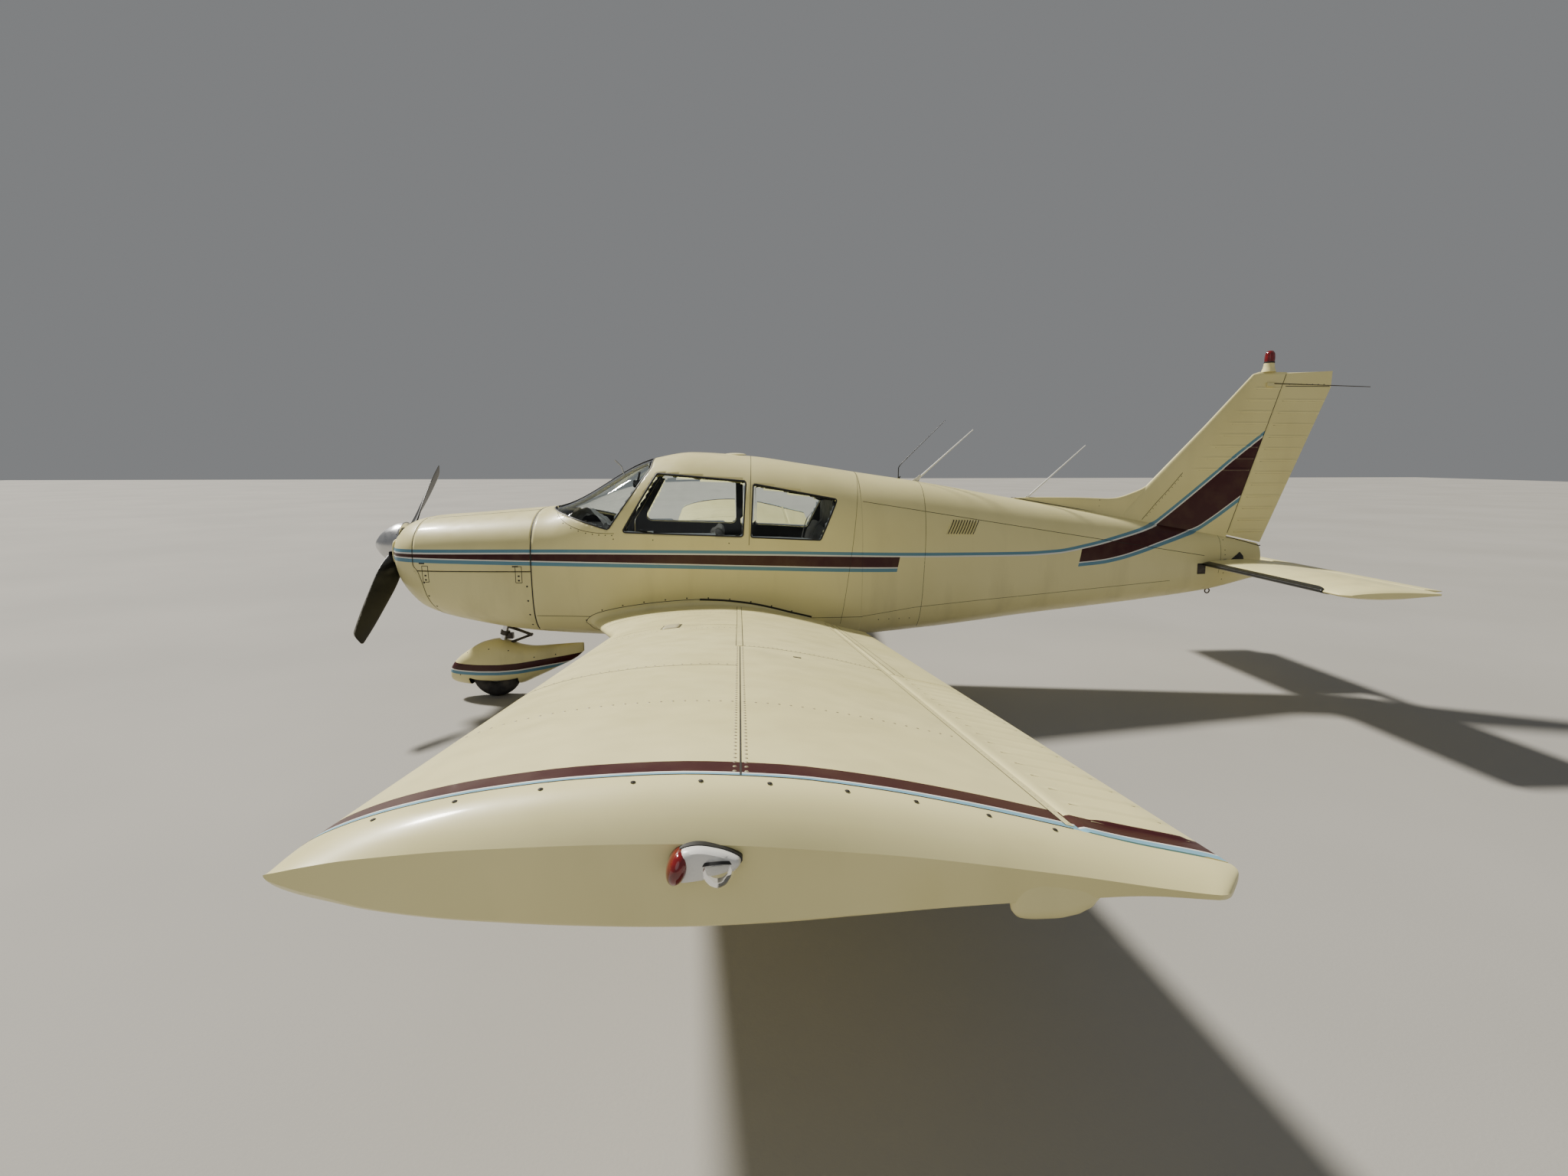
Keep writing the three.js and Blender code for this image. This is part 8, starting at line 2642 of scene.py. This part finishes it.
@dataclass
class Cockpit:
    """Everything in the cabin: panel, wheels, seats, bench, belts, floor, trim and the loose sheet."""

    floor: float = 0.590
    sheet_z: float = 1.288

    def room(self, x: Array, z: Array, inset: float) -> Array:
        """Half width of the cabin at a place and height, less an inset."""
        turn = BODY.at_height(np.atleast_1d(x), np.atleast_1d(z), Side.RIGHT)
        return BODY.point(np.atleast_1d(x), turn, inset)[:, 1]

    def panel(self) -> None:
        """The instrument panel: a shaped box across the cabin, dials, switches and the two wheels."""
        outline = np.array([[-0.560, 1.288], [-0.560, 1.180], [-0.330, 1.180], [-0.250, 0.985], [-0.152, 0.985],
                            [-0.150, 1.235], [-0.170, 1.262], [-0.35, 1.284]])
        y = np.linspace(-1, 1, 25)
        width = np.minimum(self.room(outline[:, 0], outline[:, 1], 0.012), 0.52)
        points = np.stack([np.stack([outline[:, 0], width * s,
                                     outline[:, 1] - 0.020 * s**4 * (outline[:, 1] > 1.2)], -1)
                           for s in y])
        Piece("panel_body", Surface.grid(points, wrap=True, caps=True), PLASTIC, "airframe",
              ["instrument_panel"], crease=50).build()
        faces, rims, marks = [], [], []
        for row, z in enumerate((1.205, 1.110)):
            for k in range(6):
                y = -0.42 + k * 0.098
                centre = (-0.150, y, z)
                faces.append(lathe([[0.0012, 0.0], [0.0012, 0.038]], centre, (1, 0, 0), 28))
                rims.append(lathe([[-0.001, 0.037], [0.006, 0.038], [0.007, 0.041], [0.005, 0.044],
                                   [-0.001, 0.0445]],
                                  centre, (1, 0, 0), 28))
                turn = np.arange(12) * np.pi / 6
                for a in turn:
                    p = np.array(centre) + (0.0018, 0.031 * math.sin(a), 0.031 * math.cos(a))
                    q = np.array(centre) + (0.0018, 0.026 * math.sin(a), 0.026 * math.cos(a))
                    marks.append(tube([p, q], 0.0010, 4))
                a = 0.9 * k + 2.1 * row
                p = np.array(centre) + (0.0022, 0.024 * math.sin(a), 0.024 * math.cos(a))
                marks.append(tube([np.array(centre) + (0.0022, 0, 0), p], 0.0012, 4))
        Piece("dial_faces", Surface.joined(faces), DIAL, "airframe", closed=False).build()
        Piece("dial_rims", Surface.joined(rims), PLASTIC, "airframe", closed=False).build()
        Piece("dial_hands", Surface.joined(marks), MARK, "airframe").build()
        stack = [block((-0.152, 0.190, 1.060 + k * 0.042), (-0.144, 0.345, 1.096 + k * 0.042)) for k in range(4)]
        Piece("radio_stack", Surface.joined(stack), DIAL, "airframe").build()
        knobs = [lathe([[0, 0.0065], [0.014, 0.0055], [0.014, 0.0]], (-0.144, y, 1.078 + k * 0.042), (1, 0, 0),
                       12)
                 for k in range(4) for y in (0.202, 0.333)]
        knobs += [lathe([[0, 0.006], [0.030, 0.006], [0.032, 0.013], [0.044, 0.013], [0.046, 0.0]],
                        (-0.150, 0.02 + 0.045 * k, 1.020), (1, 0, 0), 14) for k in range(3)]
        Piece("panel_knobs", Surface.joined(knobs), PLASTIC, "airframe", closed=False).build()
        for side in Side:
            y = side.value * 0.250
            shaft = tube([(-0.160, y, 1.120), (-0.030, y, 1.120)], 0.0115, 20)
            path = np.array([[-0.030, y - 0.118, 1.214], [-0.030, y - 0.120, 1.150], [-0.030, y - 0.095, 1.112],
                             [-0.030, y, 1.118], [-0.030, y + 0.095, 1.112], [-0.030, y + 0.120, 1.150],
                             [-0.030, y + 0.118, 1.214]])
            bar = tube(evenly(rounded(path, 6, 0.35), 60), 0.0108, 16)
            boss = lathe(rounded([[-0.018, 0.0], [-0.018, 0.034], [0.014, 0.038], [0.020, 0.0]], 4, 0.3),
                         (-0.030, y, 1.120), (1, 0, 0), 28)
            Piece(f"control_wheel_{side.word}", Surface.joined([shaft, bar, boss]), PLASTIC, "airframe").build()

    def sun_sheet(self) -> None:
        """A pale crumpled sheet that lies on the top of the panel, against the left windshield."""
        s, t = np.meshgrid(np.linspace(0, 1, 60), np.linspace(0, 1, 50), indexing="ij")
        x = -0.450 + 0.270 * s + 0.02 * t
        y = -0.420 + 0.300 * t
        wave = 0.008 * np.sin(9 * s + 5 * t) * np.cos(7 * t - 3 * s) + 0.006 * np.sin(23 * s - 11 *
                                                                                      t) + 0.003 * np.cos(
            31 * t + 17 * s)
        rise = 0.140 * np.sin(np.pi * np.clip(0.06 + 0.88 * s, 0, 1)) * (0.75 + 0.25 * np.cos(3 * t))
        point = np.stack([x, y, self.sheet_z + 0.014 + wave + rise], -1)
        piece = Piece("sun_sheet", Surface.grid(point), SHADE, "airframe", closed=False).build()
        across = float(np.linalg.norm(np.diff(point, axis=1), axis=-1).sum(1).mean())
        down = float(np.linalg.norm(np.diff(point, axis=0), axis=-1).sum(0).mean())

    def bench(self) -> None:
        """The rear bench, filled out by the same simulation, and its belts."""
        shape = np.array([[0.905, 0.594], [1.280, 0.594], [1.378, 1.270], [1.355, 1.292], [1.305, 1.300],
                          [1.215, 0.905], [1.190, 0.885], [0.925, 0.893], [0.903, 0.870]])
        line = evenly(rounded(np.vstack([shape, shape[:1]]), 5, 0.3)[:-1], 130, closed=True)
        inward = unit(Seat(Side.LEFT).inward(line))
        across = np.array([-1, -0.99, -0.96, -0.90, -0.05, 0.0, 0.05, 0.90, 0.96, 0.99, 1]) * 0.424
        share = np.array([0.045, 0.010, 0.003, 0, 0, 0.006, 0, 0, 0.003, 0.010, 0.045])
        points = np.stack([np.insert(line + inward * s, 1, y, axis=1) for s, y in zip(share, across)])
        body = Surface.grid(points, wrap=True)
        last = 10 * 130
        closed = Surface(body.points, body.faces + [np.arange(130)[None], (last + np.arange(130))[None, ::-1]])
        piece = Piece("bench_cushion", closed, CLOTH, "airframe", ["rear_bench"]).build()
        puff(piece, Seat.limit, 0.014)
        belts = []
        for side in Side:
            y = side.value * 0.21
            path = np.array([[1.335, side.value * 0.36, 1.330], [1.292, side.value * 0.34, 1.285],
                             [1.235, y + side.value * 0.06, 1.07],
                             [1.205, y, 0.935], [1.090, y - side.value * 0.02, 0.925]])
            line = evenly(rounded(path, 6, 0.35), 40)
            out = np.tile([-0.9, 0.0, 0.35], (40, 1))
            belts.append(sweep(line, out,
                               np.array([[-0.024, 0.022], [0.024, 0.022], [0.024, 0.0245], [-0.024, 0.0245]])))
        Piece("rear_belts", Surface.joined(belts), BELT, "airframe").build()

    def linings(self) -> None:
        """Floor carpet, rear wall, firewall and the compass."""
        x = np.linspace(-0.640, 1.385, 40)
        half = self.room(x, np.full(40, self.floor), 0.010)
        grid = np.stack([np.stack([x, s * half, np.full(40, self.floor + 0.001)], -1) for s in np.linspace(-1, 1,
                                                                                                           12)],
                                                                                                           1)
        Piece("cabin_carpet", Surface.grid(grid), CARPET, "airframe", closed=False, thick=0.006).build()
        for name, at, finish in (("rear_wall_lining", 1.394, TRIM), ("firewall_sheet", -0.6475, ENGINE)):
            turn = np.linspace(0, 2 * np.pi, 97)
            rim = BODY.point(np.full(97, at), turn, 0.012)
            middle = np.array([at, 0, 1.05])
            rows = middle + (rim - middle) * np.linspace(0, 1, 8)[:, None, None]
            Piece(name, Surface.grid(rows), finish, "airframe", closed=False, thick=0.002).build()
        compass = lathe(rounded([[-0.030, 0.0], [-0.030, 0.028], [0.020, 0.030], [0.030, 0.0]], 4, 0.3),
                        (0.000, 0, 1.585), (1, 0, 0), 28)
        stalk = tube([(0.002, 0, 1.590), (0.020, 0, 1.672)], 0.008, 12)
        Piece("compass", Surface.joined([compass, stalk]), PLASTIC, "airframe", closed=False).build()

    def build(self) -> None:
        """Builds the cabin's inside."""
        self.panel()
        self.sun_sheet()
        for side in Side:
            Seat(side).build()
        self.bench()
        self.linings()


@dataclass
class Step:
    """The boarding step behind the right wing."""

    def build(self) -> None:
        """Builds the stalk and the ribbed tread."""
        parts = [tube(evenly(rounded([(1.500, 0.400, 0.612), (1.500, 0.412, 0.500), (1.500, 0.442, 0.412)], 6,
                                     0.4), 16),
                      0.011, 16), block((1.442, 0.402, 0.402), (1.558, 0.498, 0.414))]
        parts += [block((1.446, 0.410 + 0.018 * k, 0.413), (1.554, 0.416 + 0.018 * k, 0.4175)) for k in range(5)]
        Piece("boarding_step_tread", Surface.joined(parts), STEEL, "airframe", ["boarding_step"]).build()


@dataclass
class Studio:
    """The pale floor, the lights and the camera.

    Attributes:
        camera: Place of the camera in the frame.
        turn: Its rotation in degrees.
        lens: Its lens in millimetres on a 36 mm sensor.
    """

    camera: tuple[float, float, float] = (-0.9209, -5.6606, 1.7721)
    turn: tuple[float, float, float] = (80.266, 0.028, -3.397)
    lens: float = 17.447

    def lamp(self, name: str, kind: str, power: float, colour: Colour, place: Sequence[float],
             aim: Sequence[float], size: float) -> None:
        """A light that looks at a point."""
        data = bpy.data.lights.new(name, kind)
        data.energy = power
        data.color = colour
        if kind == "AREA":
            data.shape = "DISK"
            data.size = size
        else:
            data.angle = size
        made = bpy.data.objects.new(name, data)
        made.location = place
        away = np.subtract(place, aim)
        flat = math.hypot(away[0], away[1])
        made.rotation_euler = (math.atan2(flat, away[2]), 0.0, math.atan2(away[0], -away[1]))
        bpy.context.scene.collection.objects.link(made)

    def build(self) -> None:
        """Builds the stage."""
        size = 60.0
        mesh = bpy.data.meshes.new("floor")
        mesh.from_pydata([(-size, -size, 0), (size, -size, 0), (size, size, 0), (-size, size, 0)], [],
                         [(0, 1, 2, 3)])
        floor = bpy.data.objects.new("floor", mesh)
        bpy.context.scene.collection.objects.link(floor)
        g = Graph("studio_floor")
        shade = g.spread(g.noise(0.35, 3.0), 0.35, 0.65, 0.0, 1.0)
        g.set(Base_Color=g.blend(shade, (0.36, 0.345, 0.315), (0.325, 0.312, 0.285)), Roughness=0.85)
        g.bump((g.noise(90.0, 3.0), 0.0006))
        mesh.materials.append(g.material)
        world = bpy.data.worlds.new("studio")
        world.use_nodes = True
        back = world.node_tree.nodes["Background"]
        back.inputs["Color"].default_value = (0.86, 0.88, 0.90, 1.0)
        back.inputs["Strength"].default_value = 0.25
        bpy.context.scene.world = world
        self.lamp("key", "SUN", 6.3, (1.0, 0.965, 0.89), (-7.0, 6.0, 12.0), (0.5, 0, 1.0), 0.10)
        self.lamp("fill", "AREA", 35.0, (0.96, 0.98, 1.0), (-2.5, -8.0, 4.5), (0.2, 0, 1.0), 5.0)
        data = bpy.data.cameras.new("camera")
        data.sensor_width = 36.0
        data.lens = self.lens
        data.dof.use_dof = False
        data.clip_end = 200.0
        camera = bpy.data.objects.new("camera", data)
        camera.location = self.camera
        camera.rotation_euler = tuple(math.radians(a) for a in self.turn)
        bpy.context.scene.collection.objects.link(camera)
        bpy.context.scene.camera = camera


def main() -> None:
    """Builds every part in order, then the stage."""
    logging.basicConfig(level=logging.INFO, format="%(message)s")
    Cabin().build()
    TailCone().build()
    Cowling().build()
    for side in Side:
        Wing(side).build()
    Tail().build()
    Propeller().build()
    Engine().build()
    NoseGear().build()
    for side in Side:
        MainGear(side).build()
    Cockpit().build()
    Step().build()
    Studio().build()


if __name__ == "__main__":
    main()
